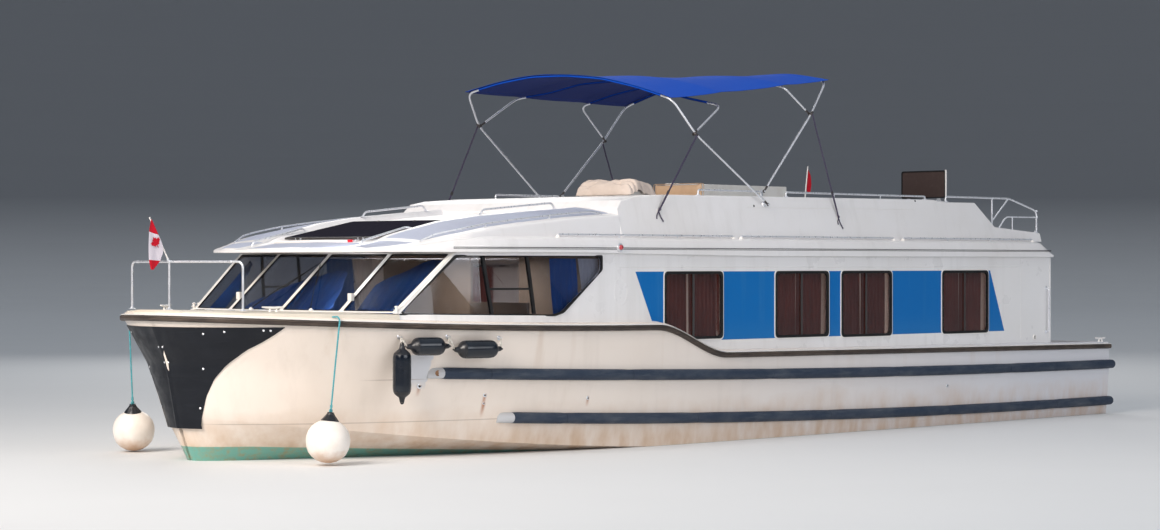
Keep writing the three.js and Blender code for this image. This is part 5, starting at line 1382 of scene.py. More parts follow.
def eased(points, count):
    """A smooth line through points, as `count` equal shares of each stretch."""
    made = []
    for i in range(len(points) - 1):
        p0, p1, p2 = points[max(i - 1, 0)], points[i], points[i + 1]
        p3 = points[min(i + 2, len(points) - 1)]
        for t in steps(0, 1, count)[:-1]:
            a, b = (p2 - p0) * 0.5, (p3 - p1) * 0.5
            h = t * t * (3 - 2 * t)
            made.append(p1 * (1 - h) + p2 * h + a * (t * (1 - t) ** 2) - b * (t * t * (1 - t)))
    return made + [points[-1]]


def canopy_edge(bow, over):
    """The canopy's hem over a bow, set out fore or aft of it."""
    ends = [Vector((bow["x"], (bow["y"] + 0.02) * side, bow[name])) for name, side in SIDES]
    line = [ends[0], *arch_points(bow), ends[1]]
    return [p + Vector((over, 0, 0)) for p in eased(line, 8)]


def make_canopy():
    """One cloth over the four bows. It sags between them, creases to its corners and has doubled hems."""
    front, aft = canopy_edge(BOW_A, 0.03), canopy_edge(BOW_B, -0.03)
    held = (0.0, 0.3, 0.71, 1.0)
    rows = []
    for t in steps(0, 1, 40):
        k = max(i for i in range(3) if t >= held[i]) if t < 1 else 2
        local = (t - held[k]) / (held[k + 1] - held[k])
        sag = 0.022 * (4 * local * (1 - local)) * (held[k + 1] - held[k]) / 0.41
        row = []
        for j, (a, b) in enumerate(zip(front, aft)):
            s = abs(2 * j / (len(front) - 1) - 1)
            point = a.lerp(b, t)
            crease = 0.004 * math.sin(9 * t + 5 * s) * noise.noise(Vector((point.x * 3, point.y * 2, 0)))
            hollow = 0.018 * 4 * local * (1 - local) * s ** 6
            side = 1 if point.y > 0 else -1
            lift = TUBE + 0.0035 - sag * (1 - 0.35 * s) + crease
            row.append(point + Vector((0, -hollow * side, lift)))
        rows.append(row)
    cloth_piece = Shape().slab(rows, 0.0016)
    hem = 3
    wide = len(rows[0])
    for band in ([row[:hem] for row in rows], [row[wide - hem:] for row in rows]):
        cloth_piece.slab(band, 0.0042, 0, -0.0012)
    for band in (rows[:2], rows[-2:]):
        cloth_piece.slab([row[hem - 1:wide - hem + 1] for row in band], 0.0036, 0, -0.0009)
    for held_row in (12, 28):
        cloth_piece.slab(rows[held_row:held_row + 2], 0.0026, 0, -0.0004)
    piece = cloth_piece.build("canopy_cloth", (CANVAS,), "bimini_aft", ("bimini_canopy",), "blue_canvas", 60)
    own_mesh(piece)


# Straps, rails and deck gear
COAMING_TOP = ((2.2, 2.665), (2.11, 2.755), (1.9, 2.795), (1.33, 2.832), (-0.7, 2.843), (-3.76, 2.86),
               (-3.93, 2.832), (-4.65, 2.835),
               (-4.99, 2.524), (-5.99, 2.451))
COAMING = {"foot": 1.85, "head": 1.72, "inner": 1.6, "front": 1.05, "aft": -5.99, "low": 2.3353, "high": 2.87}
ROOF_TOP = 2.335
ON_ROOF = ROOF_TOP + 0.0005
STRAP_FEET = {"front": (1.523, 2.64), "aft": (-1.73, 2.6)}


def coaming_side(z):
    """How far out the coaming's leaning side stands at a height."""
    share = (z - ROOF_TOP) / (COAMING["high"] - ROOF_TOP)
    return COAMING["foot"] - (COAMING["foot"] - COAMING["head"]) * share


def ribbon(shape, path, width, thick, face, mark=0):
    """A strap along a path, with its broad side towards `face`."""
    line = [Vector(p) for p in path]
    rings = []
    for i, here in enumerate(line):
        run = (line[min(i + 1, len(line) - 1)] - line[max(i - 1, 0)]).normalized()
        across = run.cross(Vector(face)).normalized()
        out = across.cross(run).normalized()
        square = corners(-0.5, 0.5, -0.5, 0.5)
        rings.append([here + across * width * a + out * thick * b for a, b in square])
    return shape.loft(rings, mark)


def make_straps():
    """Webbing from the bows' jaws to pads on the coaming, with a sliding buckle, a knot and loose tails."""
    for name, side in SIDES:
        for place, joint in (("front", JOINT_A), ("aft", JOINT_B)):
            x, z = STRAP_FEET[place]
            foot = Vector((x, (coaming_side(z) + 0.006) * side, z))
            head = Vector((joint["x"], (joint["y"] + TUBE + 0.004) * side, joint[name] - 0.012))
            shape, out = Shape(), (0, side, 0)
            line = []
            for t in steps(0, 1, 30):
                twist = 0.0015 * math.sin(9 * math.pi * t)
                line.append(foot.lerp(head, t) + Vector((0, twist, 0)))
            ribbon(shape, line, 0.024, 0.0022, out)
            buckle = foot.lerp(head, 0.24)
            run = (head - foot).normalized()
            ribbon(shape, [buckle - run * 0.024, buckle + run * 0.024], 0.034, 0.006, out, 1)
            ribbon(shape, [foot.lerp(head, 0.02) + Vector((0, 0.003 * side, 0)),
                           foot.lerp(head, 0.1) + Vector((0, 0.006 * side, 0)),
                           buckle + Vector((0, 0.004 * side, 0))], 0.022, 0.002, out)
            knot = foot + run * 0.02
            for k in range(3):
                ring = []
                for a in circle(10):
                    ring.append(knot + run * (0.012 * k - 0.008)
                                + Vector((math.cos(a) * 0.017, math.sin(a) * 0.006 + 0.004 * side,
                                          0.006 * math.sin(a + k))))
                shape.tube(ring, 0.0042, 7, 0, True)
            for reach, drop in (((0.055, -0.09), (-0.05, -0.12)) if place == "front"
                                else ((-0.05, -0.13), (0.03, -0.08))):
                end = foot + Vector((reach, 0, drop))
                end.y = (coaming_side(end.z) + 0.006) * side
                middle = foot.lerp(end, 0.5) + Vector((0.012, 0, 0))
                middle.y = (coaming_side(middle.z) + 0.008) * side
                ribbon(shape, eased([foot, middle, end], 5), 0.018, 0.002, out)
            for k in (-1, 1):
                shape.turned([(0, 0), (0.005, 0), (0.0045, 0.002), (0, 0.003)],
                             (x + 0.017 * k, foot.y - 0.0025 * side, z - 0.01 * k), out, 10, 1)
            piece = shape.build(f"webbing_{place}_{name}", (WEBBING, ALLOY),
                                replaces=(f"strap_{place}_{name}",), slot="dark_webbing", smooth=40)
            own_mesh(piece)


def railing(shape, path, radius, bend, mark=0, feet=()):
    """A bent tube with flanged feet where it meets a deck."""
    shape.tube(rounded(path, bend, 7), radius, 14, mark)
    for x, y, z in feet:
        shape.turned([(0, 0), (0.031, 0), (0.032, 0.003), (0.02, 0.007), (0.0165, 0.018), (0, 0.019)],
                     (x, y, z), (0, 0, 1), 20, mark)
        for a in (0.5, 2.6, 4.7):
            shape.turned([(0, 0), (0.004, 0), (0.003, 0.002), (0, 0.0025)],
                         (x + 0.024 * math.cos(a), y + 0.024 * math.sin(a), z + 0.0035), (0, 0, 1), 8, mark)


def make_aft_rails():
    """Rails round the flybridge's stern quarters, each with a post, a brace and a lower hoop."""
    for name, side in SIDES:
        shape = Shape()
        foot = {x: along(COAMING_TOP, x) + 0.001 for x in (-5.083, -5.485, -5.22)}
        foot[-4.06] = 2.8345
        line = [(-4.06, 1.69, foot[-4.06]), (-4.06, 1.69, 2.905), (-5.47, 1.69, 2.905), (-5.975, 1.78, 2.745),
                (-5.975, 1.78, 2.456)]
        railing(shape, sided(line, side), 0.0125, 0.07,
                feet=sided([(-4.075, 1.69, foot[-4.06]), (-5.955, 1.78, 2.4575)], side))
        railing(shape, sided([(-5.083, 1.69, foot[-5.083] + 0.001), (-5.083, 1.69, 2.9)], side), 0.0115, 0.01)
        shape.tube(sided([(-5.45, 1.69, 2.895), (-5.083, 1.69, 2.6)], side), 0.0095, 10)
        lower = [(-5.22, 1.705, foot[-5.22] + 0.004), (-5.36, 1.72, 2.661), (-5.968, 1.78, 2.661)]
        railing(shape, sided(lower, side), 0.0095, 0.06)
        shape.tube(sided([(-5.485, 1.733, foot[-5.485] + 0.004), (-5.485, 1.733, 2.656)], side), 0.0085, 10)
        for z in (2.661, 2.745):
            shape.turned([(0, 0), (0.017, 0), (0.0185, 0.006), (0.017, 0.02), (0, 0.021)],
                         (-5.975, 1.78 * side, z - 0.01), (0, 0, 1), 14)
        shape.build(f"aft_rail_{name}_tubes", (STEEL,), replaces=(f"aft_rail_{name}",), slot="stainless",
                    smooth=50)


def make_coaming():
    """The flybridge moulding with softened edges, its inside well, rails, bimini brackets and strap pads."""
    aft, fore, half = COAMING["aft"], WEDGE_AFT - GAP, COAMING["foot"]
    foot = [(aft, half), (fore, half), (fore, -half), (aft, -half)]
    head = [(x, y * COAMING["head"] / half) for x, y in foot]
    outer = Shape().loft([[(x, y, COAMING["low"]) for x, y in foot],
                          [(x, y, COAMING["high"]) for x, y in head]])
    past, high = aft - 0.1, 3.1
    above = roof_prism([*COAMING_TOP, (past, 2.451), (past, high), (2.3, high), (2.3, 2.665)], 2)
    well = Shape().box((past, -COAMING["inner"], 2.2), (COAMING["front"], COAMING["inner"], 3.0))
    mesh = carve(outer, (ROOF,), (above, well))
    with editing(mesh) as work:
        bmesh.ops.remove_doubles(work, verts=work.verts, dist=0.0002)
        sharp = [e for e in work.edges if e.is_manifold and math.radians(38) < e.calc_face_angle(0)
                 and min(v.co.z for v in e.verts) > ROOF_TOP + 0.005]
        bmesh.ops.bevel(work, geom=sharp, offset=0.016, segments=3, profile=0.6, affect="EDGES",
                        clamp_overlap=True)
    finished("flybridge_moulding", mesh, "boat", ("flybridge_coaming",), 32)
    shape = Shape()
    for _, side in SIDES:
        for fore, aft in ((0.733, -0.392), (-0.857, -3.628)):
            tops = [along(COAMING_TOP, x) + 0.0005 for x in (fore, aft)]
            line = [(fore, 1.68, tops[0]), (fore, 1.68, 2.9), (aft, 1.68, 2.9), (aft, 1.68, tops[1])]
            railing(shape, sided(line, side), 0.0115, 0.03,
                    feet=sided([(fore, 1.68, tops[0]), (aft, 1.68, tops[1])], side))
            for x in steps(aft, fore, 3)[1:-1]:
                if fore < 0:
                    shape.tube(sided([(x, 1.68, along(COAMING_TOP, x)), (x, 1.68, 2.895)], side), 0.008, 10)
        x, y, z = FOOT_A["x"], FOOT_A["y"], FOOT_A["port"]
        shape.turned([(0, 0), (0.034, 0), (0.034, 0.004), (0.024, 0.02), (0.018, 0.026), (0, 0.026)],
                     (x, (coaming_side(z) - 0.004) * side, z), (0, side, 0), 22)
        shape.tube(sided([(x, y - 0.06, z), (x, y + 0.011, z)], side), 0.0078, 12)
        shape.turned([(0, 0), (0.0125, 0), (0.0125, 0.003), (0.007, 0.005), (0, 0.005)],
                     (x, (y + 0.0105) * side, z), (0, side, 0), 12)
        x, y, z = FOOT_B["x"], FOOT_B["y"], FOOT_B["port"]
        fork = [(x - 0.02, 2.84), (x + 0.02, 2.84), (x + 0.02, z), (x + 0.012, z + 0.018),
                (x - 0.012, z + 0.018), (x - 0.02, z)]
        shape.plate(fork, lambda a, b, s=side: [(a, 1.651 * s, b), (a, 1.658 * s, b)])
        shape.tube(sided([(x, 1.655, z), (x, y + 0.011, z)], side), 0.0078, 12)
        shape.turned([(0, 0), (0.012, 0), (0.012, 0.003), (0.007, 0.005), (0, 0.005)],
                     (x, (y + 0.0105) * side, z), (0, side, 0), 12)
        for dot in ((-0.177, 2.725), (-3.362, 2.85)):
            high = min(dot[1], along(COAMING_TOP, dot[0]) - 0.02)
            shape.turned([(0, 0), (0.014, 0), (0.012, 0.003), (0, 0.004)],
                         (dot[0], (coaming_side(high) - 0.0005) * side, high), (0, side, 0.24), 14, 2)
        for x, z in STRAP_FEET.values():
            shape.plate(rectangle(x, z, 0.048, 0.048),
                        lambda a, b, s=side: [(a, (coaming_side(b) - 0.002) * s, b),
                                              (a, (coaming_side(b) + 0.003) * s, b)], 1)
        rings = []
        for x in steps(-0.05, -3.3, 22):
            z = 2.71 - 0.0064 * (x + 0.9)
            y = coaming_side(z)
            rings.append([(x, (y + a) * side, z + b)
                          for a, b in ((-0.001, 0), (0.0022, 0.0008), (0.0022, 0.0026), (-0.001, 0.0034))])
        shape.loft(rings, 1)
    shape.build("flybridge_fittings", (STEEL, LIP, GASKET), smooth=50)


def make_roof_rails():
    """Hand rails along the shoulders' lower crease and by the hatch, and a boat hook across the fore edge."""
    shape = Shape()
    for _, side in SIDES:
        crease = []
        for x in steps(4.96, 2.4, 16):
            edge = min(SHOULDER_Y, roof_half(x) - 0.09)
            low = Vector((edge, along(WEDGE_OUTER, x)))
            crest = Vector((along(CREST_Y, x), along(WEDGE_CREST, x)))
            point = low.lerp(crest, 0.13)
            crease.append(Vector((x, point.x * side, point.y + 0.012)))
        lifted = [p + Vector((0, 0, 0.03)) for p in crease]
        shape.tube(rounded([crease[0], *lifted[1:-1], crease[-1]], 0.02, 4), 0.0095, 12)
        for k in (0, 5, 11, 16):
            shape.tube([crease[k] - Vector((0, 0, 0.012)), lifted[k]]
                       if 0 < k < 16 else [crease[k] - Vector((0, 0, 0.012)), crease[k]], 0.0095, 10)
            shape.turned([(0, 0), (0.024, 0), (0.025, 0.003), (0.012, 0.008), (0, 0.009)],
                         crease[k] - Vector((0, 0, 0.009)), (0, 0.12 * side, 1), 16)
        top = []
        for x in (3.56, 2.48):
            y = along(CREST_Y, x) - 0.012
            top.append(Vector((x, y * side, along(WEDGE_CREST, x) - 0.004)))
        fore, aft = top
        up = Vector((0, 0, 0.06))
        shape.tube(rounded([fore, fore + up + Vector((-0.05, 0, 0)), aft + up + Vector((0.05, 0, 0)), aft],
                           0.035, 6), 0.0115, 12)
        for p in top:
            shape.turned([(0, 0), (0.026, 0), (0.027, 0.003), (0.014, 0.009), (0, 0.01)], p, (0, 0, 1), 18)
        brow = [Vector((5.24, 0.9 * side, 2.236)), Vector((5.22, 0.9 * side, 2.285)),
                Vector((4.55, 0.86 * side, 2.438)), Vector((4.5, 0.895 * side, 2.425))]
        shape.tube(rounded(brow, 0.03, 5), 0.0115, 12)
    pole = [Vector((4.985, y, 2.292 - 0.008 * abs(y))) for y in steps(-1.1, 0.42, 8)]
    shape.tube(pole, 0.0125, 12, 1)
    shape.tube([pole[-1], pole[-1] + Vector((0, 0.07, 0))], 0.015, 12, 2)
    shape.tube([pole[-1] + Vector((0, 0.07, 0)), pole[-1] + Vector((0, 0.12, 0.006)),
                pole[-1] + Vector((0.02, 0.145, 0.012))], 0.007, 10)
    for y in (-0.8, -0.2, 0.25):
        shape.turned([(0, 0), (0.02, 0), (0.021, 0.012), (0.016, 0.02), (0, 0.021)],
                     (4.985, y, along(WEDGE_RAMP, 4.985) + 0.006), (0, 0, 1), 14, 1)
    shape.build("roof_rails", (STEEL, LIP, FLAG_RED), smooth=50)


def make_hatch():
    """The tinted roof hatch: a rounded acrylic sheet in a thin alloy frame, with hinge arms and two knobs."""
    shape = Shape()
    fore, aft, half = HATCH["fore"], HATCH["aft"], HATCH["half"]

    def plane(x, y, lift):
        return (x, y, HATCH["low"] + HATCH["slope"] * (fore - x) + lift)

    def ring(inset):
        sheet = rectangle((fore + aft) / 2, 0, fore - aft - 2 * inset, 2 * half - 2 * inset)
        return rounded(sheet, 0.05, 5, True)

    shape.frame(ring(0.0), ring(0.018), lambda x, y: [plane(x, y, 0.001), plane(x, y, 0.02)], 1)
    shape.frame(ring(0.0185), ring(0.03), lambda x, y: [plane(x, y, 0.004), plane(x, y, 0.0225)], 2)
    shape.plate(ring(0.028), lambda x, y: [plane(x, y, 0.006), plane(x, y, 0.021)], 0)
    for y in HATCH_PINS["y"]:
        shape.barrel((HATCH_PINS["x"], y, HATCH_PINS["z"]), corners(0.0056, 0.0098, -0.03, 0.03), 16, 1)
        shape.box((fore - 0.03, y - 0.028, HATCH["low"] + 0.008),
                  (HATCH_PINS["x"] - 0.008, y + 0.028, HATCH["low"] + 0.018), 1)
    for y in (-0.3, 0.3):
        shape.turned([(0, 0), (0.022, 0), (0.022, 0.006), (0.012, 0.012), (0, 0.012)],
                     plane(aft + 0.06, y, 0.02), (HATCH["slope"], 0, 1), 18, 1)
    shape.build("hatch_sheet", (HATCH_GLASS, ALLOY, GASKET), "roof_hatch", ("roof_hatch",), "hatch_glass", 35)


PULPIT = {"aft": 6.84, "fore": 7.058, "half": 0.93, "top": 2.065, "tube": 0.0125}
STAFF_TIP = (7.31, 0, 2.52)


def make_pulpit():
    """The bow rail: bent stainless tube on flanged feet, with the flag's staff clamped to its head."""
    shape = Shape()
    aft, fore, half, top, low = PULPIT["aft"], PULPIT["fore"], PULPIT["half"], PULPIT["top"], 1.5655
    hoop = [(aft, half, low), (aft, half, top), (fore, 0, top), (aft, -half, top), (aft, -half, low)]
    shape.tube(rounded(hoop, 0.075, 7), PULPIT["tube"], 14)
    shape.tube([(fore, 0, 1.578), (fore, 0, top - 0.005)], PULPIT["tube"], 14)
    for x, y, z in ((aft, half, 1.5645), (aft, -half, 1.5645), (fore, 0.0, 1.5685)):
        shape.turned([(0, 0), (0.037, 0), (0.038, 0.003), (0.024, 0.008), (0.0175, 0.022), (0, 0.023)],
                     (x, y, z), (0, 0, 1), 22)
        for a in (0.6, 2.7, 4.8):
            shape.turned([(0, 0), (0.0045, 0), (0.0035, 0.002), (0, 0.0026)],
                         (x + 0.03 * math.cos(a), y + 0.03 * math.sin(a), z + 0.004), (0, 0, 1), 8)
    head, tip = Vector((fore, 0, top - 0.005)), Vector(STAFF_TIP)
    run = (tip - head).normalized()
    shape.tube([head, tip - run * 0.012, tip - run * 0.004, tip], [0.0085, 0.0075, 0.0095, 0.004], 12, 1)
    shape.tube([head, head + run * 0.045], 0.0135, 14)
    shape.tube([(fore, -0.02, top), (fore, 0.02, top)], 0.0165, 14)
    for y in (0.78, -0.78):
        x = aft + (fore - aft) * (1 - abs(y) / half)
        shape.tube([(x, y + d, top) for d in (-0.018, -0.014, 0.014, 0.018)],
                   [0.0125, 0.0155, 0.0155, 0.0125], 12)
    shape.build("pulpit_tubes", (STEEL, LIP), replaces=("pulpit",), slot="stainless", smooth=50)


LEAF = ((0, 1), (0.19, 0.62), (0.42, 0.73), (0.35, 0.28), (0.62, 0.5), (0.68, 0.34), (0.98, 0.38),
        (0.86, 0.12), (0.97, 0.02),
        (0.46, -0.38), (0.52, -0.55), (0.05, -0.47), (0.05, -0.95))


def hanging_flag(shape, hoist, fly, depth, bands, mark_of, ripple):
    """Cloth between its hoist line and the free edge that hangs from it, in folds."""
    rows = []
    for t in bands:
        row = []
        for s in steps(0, 1, 12):
            point = hoist(t).lerp(fly(t), s)
            point.y += depth * math.sin(ripple * s + 3.1 * t) * (0.3 + 0.7 * s)
            row.append(point)
        rows.append(row)
    for i in range(len(rows) - 1):
        shape.slab(rows[i:i + 2], 0.0012, mark_of((bands[i] + bands[i + 1]) / 2))


def line_through(points):
    """A function that runs along points as its share goes from 0 to 1."""
    def at(t):
        k = min(int(t * (len(points) - 1)), len(points) - 2)
        local = t * (len(points) - 1) - k
        return Vector(points[k]).lerp(Vector(points[k + 1]), local)
    return at


def make_flags():
    """The bow flag in red, white and red with its leaf, and the plain red stern flag on its staff."""
    y = 0.018
    hoist = line_through([(7.292, y, 2.495), (7.225, y, 2.37), (7.162, y, 2.25), (7.15, y, 2.16),
                          (7.19, y, 2.07), (7.275, y, 1.982)])
    fly = line_through([(7.306, y, 2.49), (7.328, y, 2.4), (7.335, y, 2.29), (7.336, y, 2.18),
                        (7.33, y, 2.08), (7.305, y, 1.985)])
    shape = Shape()
    bands = steps(0, 1, 24)
    hanging_flag(shape, hoist, fly, 0.0045, bands, lambda t: 1 if 0.27 < t < 0.79 else 0, 7)
    centre, turn = Vector((7.248, 2.262)), math.radians(-32)
    outline = list(LEAF) + [(-x, z) for x, z in LEAF[:0:-1]]
    for depth in (-0.0085, 0.0065):
        def place(x, z, depth=depth):
            u = centre + Vector((x * math.cos(turn) - z * math.sin(turn),
                                 x * math.sin(turn) + z * math.cos(turn))) * 0.064
            return [(u.x, y + depth, u.y), (u.x, y + depth + 0.002, u.y)]
        shape.plate(outline, place, 0)
    piece = shape.build("bow_flag_cloth", (FLAG_RED, FLAG_WHITE), replaces=("bow_flag",), slot="flag_cloth",
                        smooth=60)
    y = -1.69
    staff = Shape().tube([(-5.35, y, 2.918), (-5.42, y, 3.41), (-5.421, y, 3.418)], [0.009, 0.008, 0.004], 12)
    staff.tube([(-5.349, y, 2.916), (-5.354, y, 2.96)], 0.013, 12, 1)
    staff.build("stern_staff", (LIP, STEEL), smooth=50)
    hoist = line_through([(-5.413, y, 3.385), (-5.395, y, 3.25), (-5.38, y, 3.12), (-5.4, y, 3.06)])
    fly = line_through([(-5.425, y, 3.375), (-5.48, y, 3.29), (-5.495, y, 3.16), (-5.468, y, 3.02)])
    shape = Shape()
    hanging_flag(shape, hoist, fly, 0.004, steps(0, 1, 20), lambda t: 0, 6)
    piece = shape.build("stern_flag_cloth", (FLAG_RED, FLAG_WHITE), replaces=("stern_flag",),
                        slot="flag_cloth", smooth=60)


BALLS = {"port": ((6.25, 1.56, 0.25), 6.12), "starboard": ((6.41, -1.483, 0.235), 6.6)}
BALL_PROFILE = ((0, -0.222), (0.05, -0.219), (0.105, -0.2), (0.155, -0.168), (0.193, -0.125), (0.216, -0.07),
                (0.226, -0.01),
                (0.224, 0.04), (0.21, 0.09), (0.185, 0.133), (0.15, 0.168), (0.112, 0.192), (0.09, 0.203))
NECK_PROFILE = ((0.09, 0.2), (0.094, 0.203), (0.09, 0.21), (0.064, 0.238), (0.044, 0.262), (0.034, 0.284),
                (0.036, 0.29), (0.02, 0.294), (0, 0.294))


def make_balls():
    """Round fenders: a blown vinyl ball, a ribbed dark neck and a laid rope led over the rim to the deck."""
    for name, (centre, hang) in BALLS.items():
        side = 1 if name == "port" else -1
        centre = Vector(centre)
        over = sheer(hang) + RIM + 0.011
        half = half_at(DECK_LINE, hang)
        bend = Vector((hang, (half + 0.082) * side, over))
        away = (bend - centre).normalized()
        shape = Shape().turned([*BALL_PROFILE, (0, 0.204)], centre, away, 40)
        turn = UP.rotation_difference(away)
        neck = []
        for radius, height in NECK_PROFILE:
            ring = []
            ribs = 0.06 if 0.21 < height < 0.28 else 0
            for a in circle(48):
                r = max(radius * (1 + ribs * math.cos(8 * a)), AXIS_HOLE)
                ring.append(centre + turn @ Vector((r * math.cos(a), r * math.sin(a), height)))
            neck.append(ring)
        shape.loft(neck, 1)
        start = centre + away * 0.286
        path = [start, start.lerp(bend, 0.5), bend - Vector((0, 0, 0.03)),
                bend + Vector((0, -0.03 * side, 0.003)),
                Vector((hang, (half - 0.032) * side, over))]
        shape.rope(rounded(path, 0.03, 5), 0.0095, 2)
        eye = [start + turn @ Vector((0.016 * math.cos(a), 0, 0.018 + 0.02 * math.sin(a)))
               for a in circle(14)]
        shape.tube(eye, 0.007, 8, 2, True)
        shape.tube([start + away * (0.05 + 0.006 * k) for k in range(6)], 0.0135, 10, 2)
        shape.build(f"ball_{name}", (BALL, NECK, TEAL_ROPE), replaces=(f"ball_fender_{name}",),
                    slot="fender_vinyl", smooth=50)


FENDER_EYES = ((5.43, 1.29), (4.885, 1.285), (4.24, 1.262))
FENDER_RADIUS = 0.095


def fender_on(shape, start, direction, length):
    """A cylindrical fender: a ribbed vinyl body between two solid eye ends."""
    r = FENDER_RADIUS
    ends = [(0.012, 0.0), (0.024, 0.004), (0.028, 0.03), (0.036, 0.05), (0.06, 0.068), (0.078, 0.084),
            (0.09, 0.108), (r - 0.001, 0.128)]
    body = ends + [(r + (0.0012 if k % 2 else 0), h) for k, h in enumerate(steps(0.14, length - 0.14, 8))]
    body += [(a, length - h) for a, h in ends[::-1]]
    first, last = len(ends) - 2, len(body) - len(ends) + 1
    turn = UP.rotation_difference(Vector(direction).normalized())
    for rows, mark in ((body[:first + 1], 1), (body[first:last + 1], 0), (body[last:], 1)):
        shape.turned([(0.0, rows[0][1])] + rows + [(0.0, rows[-1][1])], start, direction, 32, mark)
    for end in (0.0, length):
        eye = [Vector((0, 0.018 * math.cos(a), end + 0.014 * math.sin(a))) for a in circle(14)]
        shape.tube([Vector(start) + turn @ p for p in eye], 0.009, 8, 1, True)


def make_side_fenders():
    """Two fenders slung between eyes on the topside and one hung beside them, on white ropes."""
    shape = Shape()
    eyes = [Vector((x, side_half(x, z) + 0.03, z)) for x, z in FENDER_EYES]
    for eye in eyes:
        staple = [eye + Vector((dx, dy, dz)) for dx, dy,
                  dz in ((-0.022, -0.028, 0), (-0.022, 0.006, 0), (0.022, 0.006, 0), (0.022, -0.028, 0))]
        shape.tube(rounded(staple, 0.012, 5), 0.0045, 10, 2)
        shape.turned([(0, 0), (0.026, 0), (0.027, 0.002), (0.02, 0.005), (0, 0.005)],
                     eye + Vector((0, -0.027, 0)), (0, 1, 0), 20, 2)
    for i, j, z in ((0, 1, 1.19), (1, 2, 1.15)):
        def low(x):
            return Vector((x, max(side_half(x, z + 0.06), side_half(x, z - 0.06)) + FENDER_RADIUS + 0.01, z))
        a, b = low(eyes[i].x - 0.03), low(eyes[j].x + 0.05)
        fender_on(shape, a, b - a, (b - a).length)
        for start, end in ((eyes[i], a), (b, eyes[j])):
            for shift in (-0.006, 0.006):
                shape.rope([start + Vector((shift, 0, 0)),
                            start.lerp(end, 0.5) + Vector((shift, 0.004, -0.004)),
                            end + Vector((-shift, 0, 0))], 0.006, 3)
            shape.tube([start.lerp(end, t) for t in (0.4, 0.48, 0.56)], [0.011, 0.014, 0.011], 9, 3)
    top = Vector((5.45, side_half(5.45, 1.2) + FENDER_RADIUS + 0.025, 1.215))
    fender_on(shape, (top.x, top.y, 0.62), (0, 0, 1), 0.595)
    for shift in (-0.006, 0.006):
        shape.rope([eyes[0] + Vector((shift, 0, 0)), top + Vector((shift, 0, 0))], 0.006, 3)
    shape.build("topside_fenders", (FENDER, NECK, STEEL, WHITE_ROPE), replaces=("side_fenders",),
                slot="fender_black", smooth=45)


# Flybridge furniture
def noise_push(place):
    """A push in three directions from three noises. The module's own noise_vector differs from run to run."""
    offsets = ((9.321, -1.531, -7.951), (0, 0, 0), (6.327, 0.1671, -2.672))
    return Vector([noise.noise(place + Vector(offset)) for offset in offsets])


def make_cover():
    """The console's loose cover: cream cloth heaped over it in pillowy lumps between deep creases."""
    profile = [Vector(p) for p in ((0.562, 0, 2.852), (0.564, 0, 2.93), (0.6, 0, 2.99), (0.7, 0, 3.02),
                                   (0.82, 0, 3.03),
                                   (0.93, 0, 3.04), (1.01, 0, 3.01), (1.045, 0, 2.94), (1.042, 0, 2.872))]
    path = eased(profile, 9)
    rows = []
    for y in steps(0.002, 0.888, 84):
        edge = min(y, 0.89 - y)
        drop = 0.13 * math.exp(-edge / 0.022)
        row = []
        for p in path:
            place = Vector((p.x * 7.5 + 1.3 * y, y * 2.6, p.z * 3 + 4.7))
            crease = abs(noise.noise(place + noise_push(place * 0.6) * 0.9))
            fine = abs(noise.noise(place * 2.3 + noise_push(place) * 0.7))
            sink = 0.042 * (1 - min(crease * 2.2, 1)) ** 1.6 + 0.014 * (1 - min(fine * 2.2, 1)) ** 1.6
            shift = noise.noise(place * 2.1) * 0.012
            x = min(max(p.x + shift + sink * 0.3 * (0.8 - p.x) * 4, 0.5615), 1.052)
            z = max(p.z + shift - sink - drop, 2.8505 + 0.05 * (p.z - 2.85))
            over_top = 0.612 < x < 1.01 and 0.05 < y < 0.84
            row.append(Vector((x, min(max(y + shift, 0.001), 0.889), max(z, 2.9625) if over_top else z)))
        rows.append(row)
    piece = Shape().slab(rows, 0.0025).build("console_cover_cloth", (COVER,), replaces=("console_cover",),
                                             slot="cream_canvas", smooth=70)


# Cushions: frames of air, size of the remeshed faces, and how far in from an edge the crown rises
SWELL_FRAMES = 20
VOXEL = 0.0105
CROWN = 0.012
CROWN_EDGE = 0.11
PROUD = 0.002


def swell(name, mesh, swelling):
    """Fills a remeshed cushion with air; no point moves further than `swelling`."""
    pad = linked(name + "_filling", mesh)
    start = [v.co.copy() for v in mesh.vertices]
    sim = pad.modifiers.new("cloth", "CLOTH")
    sim.settings.use_pressure = True
    sim.settings.uniform_pressure_force = 4
    sim.settings.effector_weights.gravity = 0
    sim.settings.quality = 4
    sim.point_cache.frame_end = SWELL_FRAMES
    for number in range(1, SWELL_FRAMES + 1):
        bpy.context.scene.frame_set(number)
    full = evaluated(pad)
    bpy.context.scene.frame_set(1)
    bpy.data.objects.remove(pad)
    for v, before in zip(full.vertices, start):
        moved = v.co - before
        v.co = before + moved * min(1.0, swelling / max(moved.length, 1e-6))
    return full


